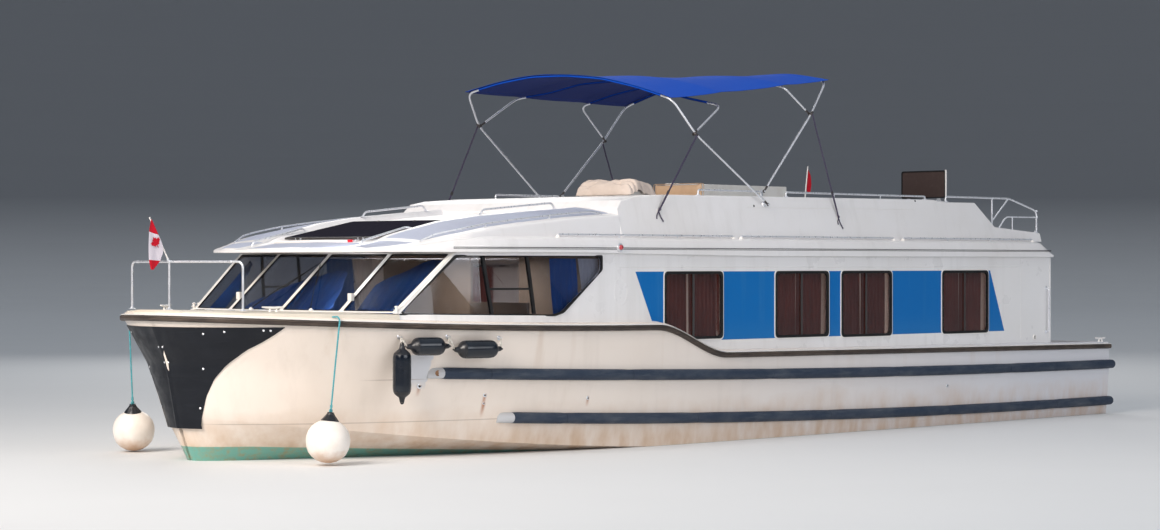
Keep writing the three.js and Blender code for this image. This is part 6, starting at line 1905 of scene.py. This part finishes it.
def padded_block(name, low, high, material, replaces):
    """A stuffed cushion: a rounded block, remeshed, blown up by the solver and drawn in at its seams."""
    low, high = Vector(low), Vector(high)
    centre, size = (low + high) / 2, high - low
    thin = min(range(3), key=lambda i: size[i])
    mesh = Shape().box(low, high).mesh(name, ())
    with editing(mesh) as work:
        bmesh.ops.bevel(work, geom=list(work.edges), offset=size[thin] * 0.3, segments=4, profile=0.5,
                        affect="EDGES")
        for v in work.verts:
            for i in range(3):
                v.co[i] = centre[i] + (v.co[i] - centre[i]) * (1 - 2 * CROWN / size[i])
    block = linked(name + "_block", mesh)
    remesh = block.modifiers.new("remesh", "REMESH")
    remesh.mode = "VOXEL"
    remesh.voxel_size = VOXEL
    even = evaluated(block)
    bpy.data.objects.remove(block)
    filled = swell(name, even, CROWN * 1.15)
    across = [i for i in range(3) if i != thin]
    for v in filled.vertices:
        edge = 1.0
        for i in across:
            edge = min(edge, (size[i] / 2 - abs(v.co[i] - centre[i])) / CROWN_EDGE)
        rise = math.sin(min(max(edge, 0), 1) * math.pi / 2)
        v.co[thin] = centre[thin] + (v.co[thin] - centre[thin]) * (0.86 + 0.16 * rise)
        for i in range(3):
            v.co[i] = min(max(v.co[i], low[i] - PROUD), high[i] + PROUD)
    with editing(filled) as work:
        for _ in range(4):
            bmesh.ops.smooth_vert(work, verts=work.verts, factor=0.5, use_axis_x=True, use_axis_y=True,
                                  use_axis_z=True)
    filled.materials.clear()
    filled.materials.append(material.data)
    piece = finished(name, filled, "boat", replaces, 70)


def seam_tube(shape, low, high, level, axis, mark=0, radius=0.004):
    """Piping round a block at one level of an axis."""
    a, b = [i for i in range(3) if i != axis]
    points = []
    for u, v in pane(low[a], high[a], low[b], high[b], 0.03, 4):
        p = [0, 0, 0]
        p[a], p[b], p[axis] = u, v, level
        points.append(p)
    return shape.tube(points, radius, 8, mark, True)


def make_helm():
    """Console, wheel and the padded seat behind it."""
    console = Shape()
    outline = [(0.602, ON_ROOF), (1.018, ON_ROOF), (1.018, 2.9), (0.99, 2.957), (0.73, 2.957), (0.602, 2.82)]
    console.plate(outline, lambda x, z: [(x, 0.042, z), (x, 0.848, z)])
    console.build("console_moulding", (SEAT,), replaces=("helm_console",), slot="console_plastic",
                  bevel=0.012)
    dials = Shape()
    face = Vector((-0.73, 0, 0.68)).normalized()
    for y, r in ((0.18, 0.04), (0.3, 0.03), (0.6, 0.03), (0.72, 0.04)):
        centre = Vector((0.666, y, 2.889)) + face * 0.0005
        dials.turned([(0, 0), (r, 0), (r, 0.004), (r * 0.88, 0.006), (r * 0.86, 0.003), (0, 0.003)], centre,
                     face, 26)
        dials.turned([(0, 0.003), (r * 0.84, 0.0032), (r * 0.84, 0.0042), (0, 0.0044)], centre, face, 26, 1)
    lever = Vector((0.6, 0.1, 2.78))
    dials.box((0.575, 0.06, 2.7), (0.6015, 0.14, 2.8))
    dials.tube([lever + Vector((-0.01, 0, 0)), lever + Vector((-0.03, 0, 0.11))], 0.007, 10, 2)
    dials.turned([(0, 0), (0.016, 0.004), (0.018, 0.016), (0.014, 0.03), (0, 0.034)],
                 lever + Vector((-0.03, 0, 0.105)), (-0.2, 0, 1), 18)
    dials.build("helm_dials", (GASKET, SEAT, STEEL), smooth=40)
    wheel = Shape()
    centre, radius = Vector((0.5, 0.445, 2.7)), 0.19
    rim = [centre + Vector((0, radius * math.cos(a), radius * math.sin(a))) for a in circle(64)]
    wheel.tube(rim, 0.0125, 14, 1, True)
    for deg in (90, 210, 330):
        a = math.radians(deg)
        out = Vector((0, math.cos(a), math.sin(a)))
        spoke = [centre + Vector((0.012, 0, 0)), centre + out * 0.06 + Vector((0.012, 0, 0)),
                 centre + out * 0.13, centre + out * 0.182]
        wheel.tube(rounded(spoke, 0.03, 4), [0.011] + [0.009] * 10 + [0.0075], 10)
    wheel.turned([(0, -0.03), (0.02, -0.03), (0.034, -0.024), (0.036, -0.006), (0.028, 0.004), (0.026, 0.09),
                  (0, 0.09)], centre, (1, 0, 0), 28)
    wheel.build("wheel_rim", (STEEL, GASKET), "helm_wheel", ("helm_wheel",), "stainless", 50)
    base = Shape().box((-0.38, -0.058, ON_ROOF), (-0.002, 0.718, 2.758))
    base.box((-0.458, -0.07, 2.5), (-0.384, 0.73, 2.705))
    base.build("seat_plinth", (SEAT,), bevel=0.012)
    padded_block("helm_cushion", (-0.396, -0.076, 2.7605), (0.016, 0.736, 2.848), TAN, ("helm_seat",))
    padded_block("helm_backrest", (-0.467, -0.076, 2.708), (-0.4, 0.736, 3.033), TAN, ())
    piping = Shape()
    for level in (2.782, 2.827):
        seam_tube(piping, (-0.385, -0.064, 0), (0.004, 0.724, 0), level, 2)
    for level in (-0.454, -0.412):
        seam_tube(piping, (0, -0.063, 2.721), (0, 0.723, 3.02), level, 0)
    piping.build("seat_piping", (TAN,), smooth=60)


# Benches: how far out they begin, and the pads on each
BENCH_FRONT = 1.0
PADS = 3


def make_benches():
    """Moulded seats along the sides with lids, finger holes and thin pads; the longer one has a backrest."""
    for name, x0, x1, side in (("port", -3.6, -1.2, 1), ("starboard", -4.7, -2.3, -1)):
        front = BENCH_FRONT * side
        y0, y1 = span(BENCH_FRONT, 1.59, side)
        shape = Shape().box((x0, y0, ON_ROOF), (x1, y1, 2.672))
        if side < 0:
            shape.box((x0, -1.588, 2.6725), (x1, -1.482, 3.1075))
        shape.build(f"bench_{name}_moulding", (SEAT,), replaces=(f"bench_{name}",), slot="seat_vinyl",
                    bevel=0.014)
        y0, y1 = span(BENCH_FRONT, 1.476 if side < 0 else 1.586, side)
        for k in range(PADS):
            a = x0 + (x1 - x0) * k / PADS + 0.006
            b = x0 + (x1 - x0) * (k + 1) / PADS - 0.006
            padded_block(f"bench_{name}_pad_{k + 1}", (a, y0 + 0.004, 2.675), (b, y1 - 0.004, 2.736), SEAT,
                         ())
        trim = Shape()
        for k in range(PADS):
            middle = x0 + (x1 - x0) * (k + 0.5) / PADS
            rim, lid = rectangle(middle, 2.5, 0.62, 0.24), rectangle(middle, 2.5, 0.6, 0.22)
            trim.frame(rounded(rim, 0.04, 4, True), rounded(lid, 0.034, 4, True),
                       lambda x, z, f=front, s=side: [(x, f - 0.0005 * s, z), (x, f - 0.003 * s, z)])
            pull = [(0, 0), (0.03, 0), (0.031, 0.003), (0.024, 0.006), (0, 0.004)]
            trim.turned(pull, (middle, front - 0.0005 * side, 2.56), (0, -side, 0), 22, 1)
        trim.build(f"bench_{name}_trim", (LIP, STEEL), smooth=40)


def make_skylight():
    """A moulded box aft with its smoked panel stood up on two arms, a white post and a curved stay."""
    x0, x1, y0, y1 = SKYLIGHT["aft"], SKYLIGHT["fore"], SKYLIGHT["low"], SKYLIGHT["high"]
    shape = Shape()
    inner = pane(x0 + 0.04, x1 - 0.04, y0 + 0.04, y1 - 0.04, 0.02, 4)
    shape.frame(pane(x0, x1, y0, y1, 0.03, 4), inner, lambda x, y: [(x, y, ON_ROOF), (x, y, 2.876)])
    shape.frame(pane(x0 + 0.002, x1 + 0.006, y0 - 0.004, y1 + 0.004, 0.03, 4), inner,
                lambda x, y: [(x, y, 2.8765), (x, y, 2.881)])
    axis_x, axis_z = x0 - 0.015, 2.896
    for y in (0.18, 0.68):
        for end in (-1, 1):
            a, b = sorted((y + end * 0.032, y + end * 0.039))
            shape.box((axis_x - 0.006, a, 2.876), (axis_x + 0.012, b, axis_z + 0.006), 1)
        shape.tube([(axis_x, y - 0.039, axis_z), (axis_x, y + 0.039, axis_z)], 0.0048, 12, 1)
    shape.build("skylight_moulding", (ROOF, STEEL), replaces=("skylight_box",), slot="roof_gelcoat",
                bevel=0.003)
    lid = Shape()
    panel = pane(y0 + 0.002, y1 - 0.002, 2.924, 3.298, 0.035, 6)
    inset = pane(y0 + 0.02, y1 - 0.02, 2.942, 3.28, 0.024, 6)
    lid.frame(panel, inset, lambda y, z: [(axis_x - 0.0095, y, z), (axis_x + 0.0095, y, z)], 1)
    lid.plate(inset, lambda y, z: [(axis_x - 0.004, y, z), (axis_x + 0.004, y, z)])
    lid.tube([(axis_x, y1, 2.93), (axis_x, y1, 3.304)], 0.0115, 14, 2)
    for y in (0.18, 0.68):
        lid.box((axis_x - 0.0055, y - 0.026, axis_z + 0.006), (axis_x + 0.0055, y + 0.026, 2.934), 3)
        lid.barrel((axis_x, y, axis_z), corners(0.0056, 0.0096, -0.029, 0.029), 16, 3)
    stay = [(axis_x - 0.0125, y1 - across, z)
            for across, z in ((0.05, 3.16), (0.1, 3.04), (0.2, 2.965), (0.32, 2.94))]
    lid.tube(rounded(stay, 0.08, 6), 0.003, 8, 3)
    lid.build("skylight_panel", (SMOKED, GASKET, LIP, STEEL), "skylight_lid", ("skylight_lid",),
              "smoked_acrylic", 40)


# Stern and underwater gear
def make_propeller():
    """A three-bladed bronze propeller on its shaft; each blade is a pitched and raked foil."""
    x0, z0, radius = -5.76, -0.56, 0.222
    shape = Shape()
    hub = [(0, -0.07), (0.03, -0.07), (0.044, -0.05), (0.05, 0), (0.044, 0.05), (0.034, 0.075), (0.022, 0.1),
           (0.008, 0.111), (0, 0.111)]
    shape.turned(hub, (x0, 0, z0), (-1, 0, 0), 30)
    shape.tube([(x0 + 0.02, 0, z0), (-5.082, 0, z0)], 0.0245, 24, 1)
    for k in range(3):
        turn = Matrix.Rotation(2 * math.pi * k / 3, 3, "X")
        rings = []
        for r in steps(0.03, radius, 14):
            share = (r - 0.03) / (radius - 0.03)
            chord = 0.15 * math.sin(math.pi * min(max(0.22 + 0.72 * share, 0), 0.97)) ** 0.6
            pitch = math.atan2(0.3, 2 * math.pi * max(r, 0.05))
            thick = 0.007 * (1 - share) + 0.0018
            ring = []
            for u, v in ((-0.5, 0), (-0.3, 0.8), (0, 1), (0.3, 0.8), (0.5, 0), (0.3, -0.8), (0, -1),
                         (-0.3, -0.8)):
                along_blade, out = u * chord + 0.012 * share, v * thick
                x = along_blade * math.sin(pitch) + out * math.cos(pitch)
                y = along_blade * math.cos(pitch) - out * math.sin(pitch)
                angle = y / r
                blade = Vector((x, r * math.sin(angle), r * math.cos(angle)))
                ring.append(turn @ blade + Vector((x0, 0, z0)))
            rings.append(ring)
        shape.loft(rings)
    shape.build("propeller_cast", (BRONZE, STEEL), "propeller", ("propeller",), "bronze", 50)


def make_rudder():
    """A foil-shaped rudder blade with its stock and heel pintle."""
    shape = Shape()
    fore, aft, half = -6.132, -6.778, 0.022
    foil = [(0, 0), (0.03, 0.45), (0.1, 0.8), (0.25, 1), (0.45, 0.92), (0.7, 0.55), (0.9, 0.2), (1, 0.05)]
    line = [(fore + (aft - fore) * u, half * v) for u, v in foil]
    outline = line + [(x, -y) for x, y in line[:0:-1]]
    rings = []
    for z, inset in ((-0.769, 0.02), (-0.76, 0.006), (-0.74, 0.0), (-0.36, 0.0), (-0.34, 0.006),
                     (-0.331, 0.02)):
        middle = (fore + aft) / 2
        rings.append([(middle + (x - middle) * (1 - inset / 0.32), y * (1 - inset * 12), z)
                      for x, y in outline])
    shape.loft(rings)
    shape.tube([(-6.25, 0, -0.5), (-6.25, 0, 0.098)], 0.0265, 22, 1)
    shape.tube([(-6.25, 0, -0.7995), (-6.25, 0, -0.76)], 0.0195, 18, 1)
    for z in (-0.45, -0.55, -0.65):
        shape.box((-6.6, -0.0235, z - 0.004), (-6.16, 0.0235, z + 0.004))
    shape.build("rudder_blade", (ANTIFOUL, STEEL), "rudder", ("rudder",), "dark_paint", 35)


def cleat(shape, x, y, z, turn=0.0, mark=0):
    """A two-horned mooring cleat."""
    run = Vector((math.cos(turn), math.sin(turn), 0))
    centre = Vector((x, y, z))
    horn = [centre + run * a + Vector((0, 0, h)) for a, h in ((-0.12, 0.052), (-0.07, 0.047), (0, 0.043),
                                                              (0.07, 0.047), (0.12, 0.052))]
    shape.tube(horn, [0.007, 0.012, 0.014, 0.012, 0.007], 12, mark)
    for a in (-0.035, 0.035):
        foot = centre + run * a
        shape.tube([foot, foot + Vector((0, 0, 0.02)), foot + Vector((0, 0, 0.045))], [0.02, 0.011, 0.011],
                   12, mark)


def bollard(shape, x, y, z, size=0.62):
    """A twin-post bollard with a cross bar, on an oval base."""
    def place(dx, dy, dz):
        return Vector((x + dx * size, y + dy * size, z + dz * size))
    base = [[place(0.13 * s * math.cos(a), 0.045 * s * math.sin(a), h) for a in circle(28)]
            for s, h in ((1, 0), (1, 0.008), (0.9, 0.014))]
    shape.loft(base)
    post = [(0, 0.01), (0.024, 0.01), (0.022, 0.1), (0.034, 0.11), (0.034, 0.12), (0.012, 0.13), (0, 0.131)]
    for dx in (-0.055, 0.055):
        shape.turned([(r * size, h * size) for r, h in post], place(dx, 0, 0), (0, 0, 1), 20)
    shape.tube([place(-0.11, 0, 0.06), place(0.11, 0, 0.06)], 0.009 * size, 12)


# Skin fittings along the topside: (x, z, radius)
HULL_OUTLETS = ((5.055, 0.77, 0.03), (4.274, 0.654, 0.024), (4.265, 0.567, 0.018), (2.9, 0.58, 0.022),
                (-3.6, 0.5, 0.02))


def foredeck_at(x):
    """Height of the foredeck's upper face."""
    return 1.529 + 0.0225 * (x - 5.62)


def make_deck_gear():
    """Bollards, cleats, grab rails and vents about the decks and quarters."""
    shape = Shape()
    for _, side in SIDES:
        bollard(shape, 5.4, 1.685 * side, 1.5295)
        cleat(shape, -7.18, 1.995 * side, sheer(-7.18) + RIM + 0.0005)
        cleat(shape, 6.42, 0.9 * side, 1.5475, math.radians(-26) * side)
        rail = [(-5.945, 1.951, 1.14), (-5.945, 2.0, 1.155), (-5.945, 2.0, 1.705), (-5.945, 1.951, 1.72)]
        shape.tube(rounded(sided(rail, side), 0.03, 6), 0.0115, 14, 1)
        for z in (1.14, 1.72):
            shape.turned([(0, 0), (0.025, 0), (0.026, 0.004), (0.015, 0.01), (0, 0.011)],
                         (-5.945, 1.9503 * side, z), (0, side, 0), 20, 1)
        shape.turned([(0, 0), (0.036, 0), (0.037, 0.005), (0.028, 0.009), (0.026, 0.004), (0, 0.004)],
                     (-5.68, 1.9503 * side, 1.07), (0, side, 0), 26)
        y0, y1 = span(1.9545, 1.957, side)
        for k in range(4):
            shape.box((-5.7, y0, 1.052 + 0.01 * k), (-5.66, y1, 1.055 + 0.01 * k), 2)
        shape.plate(corners(-5.366, -5.36, 1.062, 2.125), wall_place(GAP, 0.002, side), 3)
        shape.plate(corners(-6.05, -6.03, 1.06, 2.12), wall_place(GAP, 0.006, side), 3)
    for x, z, r in HULL_OUTLETS:
        for side in (1, -1):
            face = side_half(x, z)
            slope = Vector((0.16 if x > 4 else 0.0, side, -0.04))
            shape.turned([(0, -0.01), (r, 0), (r * 1.05, 0.004), (r * 0.8, 0.009), (r * 0.62, 0.01),
                          (r * 0.6, 0.003), (0, 0.003)], (x, face * side, z), slope, 22, 1)
            shape.turned([(0, 0.003), (r * 0.56, 0.0032), (r * 0.56, 0.0045), (0, 0.0045)],
                         (x, face * side, z), slope, 18, 2)
    for y in (-1.2, 1.2):
        shape.turned([(0, 0), (0.05, 0), (0.052, 0.006), (0.042, 0.02), (0.036, 0.02), (0.034, 0.004),
                      (0, 0.004)], (-7.2955, y, 0.3), (-1, 0, 0), 26, 1)
    for y, z in ((-0.6, 0.72), (0.6, 0.72)):
        shape.turned([(0, 0), (0.045, 0), (0.046, 0.01), (0.036, 0.02), (0, 0.022)], (-7.2955, y, z),
                     (-1, 0, 0), 24, 3)
    lid = rounded(rectangle(6.1, 0.0, 0.56, 0.62), 0.05, 5, True)
    inner = rounded(rectangle(6.1, 0.0, 0.53, 0.59), 0.045, 5, True)

    def on_deck(lift, thick):
        return lambda x, y: [(x, y, foredeck_at(x) + lift), (x, y, foredeck_at(x) + lift + thick)]

    shape.frame(lid, inner, on_deck(0.011, 0.004), 3)
    shape.plate(inner, on_deck(0.012, 0.006), 3)
    for y in (-0.18, 0.18):
        shape.box((6.36, y - 0.03, 1.553), (6.4, y + 0.03, 1.563), 1)
    shape.turned([(0, 0), (0.022, 0), (0.022, 0.004), (0.012, 0.006), (0, 0.006)], (5.86, 0, 1.5525),
                 (0, 0, 1), 20, 1)
    shape.build("deck_gear", (LIP, STEEL, GASKET, CABIN), smooth=45)


def make_cockpit():
    """The aft door's glass and handle, its frame, a handrail and tread strips on the steps."""
    door = Shape()
    x = -5.4105
    glass = pane(-0.2, 0.2, 1.15, 1.9, 0.05)
    rim = pane(-0.225, 0.225, 1.125, 1.925, 0.06)
    door.frame(rim, glass, lambda y, z: [(x, y, z), (x - 0.009, y, z)], 1)
    door.plate(glass, lambda y, z: [(x, y, z), (x - 0.004, y, z)])
    panel = pane(-0.22, 0.22, 0.56, 1.02, 0.04)
    inner = pane(-0.205, 0.205, 0.575, 1.005, 0.035)
    door.frame(panel, inner, lambda y, z: [(x, y, z), (x - 0.005, y, z)], 2)
    for k in range(5):
        door.box((x - 0.008, -0.13, 0.68 + 0.05 * k), (x, 0.13, 0.69 + 0.05 * k), 2)
    handle = [(x, -0.255, 1.08), (x - 0.04, -0.255, 1.08), (x - 0.04, -0.15, 1.08)]
    door.tube(rounded(handle, 0.015, 5), 0.008, 12, 3)
    door.turned([(0, 0), (0.024, 0), (0.024, 0.004), (0.014, 0.008), (0, 0.008)], (x, -0.255, 1.08),
                (-1, 0, 0), 20, 3)
    door.build("door_fittings", (CABIN_GLASS, GASKET, LIP, STEEL), "aft_door", smooth=40)
    trim = Shape()
    trim.frame(pane(-0.375, 0.375, 0.402, 2.11, 0.05), pane(-0.335, 0.335, 0.425, 2.075, 0.03),
               lambda y, z: [(-5.4005, y, z), (-5.407, y, z)])
    rise = (ROOF_TOP - COCKPIT_FLOOR) / 7
    for i in range(6):
        z = COCKPIT_FLOOR + rise * (i + 1)
        start = -7.15 + 0.17 * i
        trim.box((start + 0.012, -1.83, z + 0.0003), (start + 0.15, -1.3, z + 0.0035), 1)
        trim.box((start - 0.004, -1.88, z - 0.03), (start - 0.0003, -1.25, z + 0.001), 2)
    rail = [(-7.12, -1.22, COCKPIT_FLOOR + 0.002), (-7.12, -1.22, 1.35), (-6.22, -1.22, 2.4)]
    trim.tube(rounded(rail, 0.12, 7), 0.0125, 14, 3)
    trim.turned([(0, 0), (0.034, 0), (0.035, 0.003), (0.018, 0.012), (0, 0.013)], (-7.12, -1.22, 0.4003),
                (0, 0, 1), 20, 3)
    trim.build("cockpit_trim", (CABIN, NONSLIP_AND_SHADE, GASKET, STEEL), bevel=0.004, smooth=40)


# Inside the saloon
def drape(shape, top, foot, folds, depth, mark=0, rows=14, seed=0.0):
    """Gathered cloth between a head line and a foot line."""
    grid = []
    for t in steps(0, 1, rows):
        row = []
        for s in steps(0, 1, folds * 8):
            point = top(s).lerp(foot(s), t)
            run = (top(min(s + 0.01, 1)) - top(max(s - 0.01, 0))).normalized()
            out = Vector((-run.y, run.x, 0))
            wave = math.sin(2 * math.pi * folds * s + seed + 1.3 * math.sin(3 * t + 4 * s))
            row.append(point + out * depth * wave * (0.35 + 0.65 * t))
        grid.append(row)
    return shape.slab(grid, 0.0015, mark)


# The windscreen's face: its foot, how far it leans back over its height, its bowl and its inward direction
SCREEN = {"foot": 5.591, "sill": 1.535, "lean": 0.725, "tall": 0.627, "bowl": 0.054, "inward": (0.654, 0.757)}


def screen_point(y, t, inside):
    """A point of the windscreen's face, or `inside` metres behind it."""
    x = SCREEN["foot"] - SCREEN["lean"] * t - SCREEN["bowl"] * y * y
    return Vector((x - inside * SCREEN["inward"][0], y,
                   SCREEN["sill"] + SCREEN["tall"] * t - inside * SCREEN["inward"][1]))


def cabin_half(x, z):
    """Half breadth that is free inside the hull and the cabin sides."""
    floor, top = half_at(CHINE_LINE, x) - 0.12, half_at(DECK_LINE, x) - 0.11
    free = floor + (top - floor) * (z - CABIN_SOLE) / (2.0 - CABIN_SOLE)
    return min(free, wall_at(x, z) - 0.07) - 0.015


def fitted(shape, low, high, mark):
    """A box whose sides give way to the cabin's."""
    rings = []
    for x in steps(low[0], high[0], max(1, round((high[0] - low[0]) / 0.15))):
        ring = []
        for y, z in ((low[1], low[2]), (high[1], low[2]), (high[1], high[2]), (low[1], high[2])):
            free = cabin_half(x, z)
            ring.append((x, min(max(y, -free), free), z))
        rings.append(ring)
    shape.loft(rings, mark)


def make_saloon():
    """What shows through the glass: cabinets, a partition, dash, steering seat and the curtains."""
    shape = Shape()
    fitted(shape, (2.4, 0.45, 0.2005), (2.44, 1.9, 2.125), 1)
    fitted(shape, (2.4, -1.9, 0.2005), (2.44, -0.35, 2.125), 1)
    fitted(shape, (2.46, -1.89, 0.2005), (4.1, -1.35, 1.16), 0)
    fitted(shape, (2.455, -1.9, 1.1605), (4.12, -1.33, 1.195), 2)
    for k in range(4):
        a = 2.48 + 0.405 * k
        shape.box((a, -1.352, 0.3), (a + 0.39, -1.33, 1.1), 0)
        shape.tube([(a + 0.33, -1.318, 0.9), (a + 0.33, -1.318, 1.02)], 0.005, 8, 3)
    shape.box((1.945, 1.04, 1.3505), (3.37, 1.66, 1.38), 2)
    for k in range(3):
        a = 1.98 + 0.45 * k
        shape.box((a, 1.042, 0.3), (a + 0.43, 1.0597, 1.28), 0)
        shape.tube([(a + 0.36, 1.03, 1.0), (a + 0.36, 1.03, 1.12)], 0.005, 8, 3)
    fitted(shape, (3.46, 0.75, 0.2005), (3.5, 1.65, 1.62), 1)
    fitted(shape, (3.5, 0.75, 0.2005), (4.9, 1.3, 0.62), 0)
    fitted(shape, (4.585, -1.5, 1.4), (4.98, 1.5, 1.44), 4)
    fitted(shape, (4.5, -1.5, 0.9), (4.58, 1.5, 1.44), 0)
    fitted(shape, (2.445, -1.9, 0.2003), (4.5, 1.9, 0.206), 0)
    shape.tube([(3.9, -0.35, 0.21), (3.9, -0.35, 0.9)], 0.04, 16, 3)
    shape.build("saloon_joinery", (CABINET, INSIDE, LIP, STEEL, GASKET), bevel=0.003, smooth=40)
    saloon_blue, saloon_pale = Shape(), Shape()
    for _, side in SIDES:
        def rail(x0, x1, z, inset=0.1):
            return lambda s: Vector((x0 + (x1 - x0) * s,
                                     (wall_at(x0 + (x1 - x0) * s, 1.9) - inset) * side, z))
        drape(saloon_blue, rail(2.95, 3.35, 2.1), rail(2.9, 3.3, 1.47), 5, 0.012)
        drape(saloon_pale, rail(2.62, 2.93, 2.1, 0.085), rail(2.6, 2.82, 1.47, 0.085), 5, 0.01, seed=1.0)
    bunches = (
        {"y": (-0.85, 0.66), "low": 0.1, "high": 0.74, "peak": 0.78, "folds": 12, "depth": 0.036},
        {"y": (0.98, 1.6), "low": 0.5, "high": 0.95, "peak": 1.0, "folds": 6, "depth": 0.02},
        {"y": (-1.25, -1.6), "low": 0.45, "high": 0.93, "peak": 1.0, "folds": 4, "depth": 0.016},
    )
    for bunch in bunches:
        def line_at(share, top, back, row=bunch):
            y = row["y"][0] + (row["y"][1] - row["y"][0]) * share
            rise = min(share / row["peak"], max(1 - share, 0.001) / max(1 - row["peak"], 0.001))
            wave = 0.05 * noise.noise(Vector((y * 6, back * 9, 2.0))) * top
            level = row["low"] + (row["high"] - row["low"]) * math.sin(rise * math.pi / 2)
            return screen_point(y, level * top + 0.03 + wave, back)
        drape(saloon_blue, lambda s, f=line_at: f(s, 1.0, 0.08), lambda s, f=line_at: f(s, 0.0, 0.12),
              bunch["folds"], bunch["depth"], seed=bunch["depth"] * 40)
    blue = saloon_blue.build("saloon_curtains_blue", (BLUE_CURTAIN,), smooth=60)
    pale = saloon_pale.build("saloon_curtains_pale", (PALE_CURTAIN,), smooth=60)


def make_wipers():
    """Wiper arms and blades parked on the middle panes, and the black sealing strips round every pane."""
    shape = Shape()
    for side in (1, -1):
        pivot = screen_point(0.5 * side, 0.01, -0.012)
        head = screen_point(0.12 * side, 0.62, -0.02)
        pin = [(0, -0.02), (0.024, -0.016), (0.022, 0.012), (0.012, 0.02), (0, 0.02)]
        shape.turned(pin, pivot, (SCREEN["inward"][1], 0, SCREEN["inward"][0]), 18, 1)
        shape.tube([pivot + Vector((0.008, 0, 0.008)), pivot.lerp(head, 0.5) + Vector((0.012, 0, 0.012)),
                    head], [0.007, 0.005, 0.004], 8)
        run = (head - pivot).normalized()
        blade = [head + run * t - Vector((0.003, 0, 0.003)) for t in (-0.22, -0.11, 0, 0.11, 0.22)]
        shape.tube(blade, [0.003, 0.005, 0.006, 0.005, 0.003], 6)
        box = screen_point(0.93 * side, 0.22, -0.014)
        shape.box((box.x - 0.02, box.y - 0.03, box.z - 0.03), (box.x + 0.02, box.y + 0.03, box.z + 0.05), 1)
    for low, high, top in ((0.026, 0.897, 0.897), (0.949, 1.632, 1.718)):
        for side in (1, -1):
            shares = [(low, 0.022), (high, 0.022), (top, 0.978), (low, 0.978)]
            outline = rounded([(a, b * SCREEN["tall"]) for a, b in shares], 0.02, 4, True)
            outline = [(p[0], p[1]) for p in divided([Vector(p) for p in outline], 0.12)]
            inner = [(a + ((low + top) / 2 - a) * 0.02, b + (SCREEN["tall"] / 2 - b) * 0.03)
                     for a, b in outline]
            shape.frame(outline, inner, lambda a, b, s=side: [screen_point(a * s, b / SCREEN["tall"], depth)
                                                              for depth in (0.001, 0.014)], 2)
    shape.build("screen_fittings", (GASKET, LIP, GASKET), smooth=45)


make_camera()
make_lights()
make_floor()
dress_nodes()
make_hull()
make_rub_rail()
make_stem_guard()
make_strakes()
make_stripe()
make_windows()
make_curtains()
make_saloon_trim()
make_roof()
make_side_rails()
make_eaves()
make_bows()
make_canopy()
make_straps()
make_aft_rails()
make_coaming()
make_roof_rails()
make_hatch()
make_pulpit()
make_flags()
make_balls()
make_side_fenders()
make_helm()
make_cover()
make_benches()
make_skylight()
make_propeller()
make_rudder()
make_deck_gear()
make_cockpit()
make_saloon()
make_wipers()
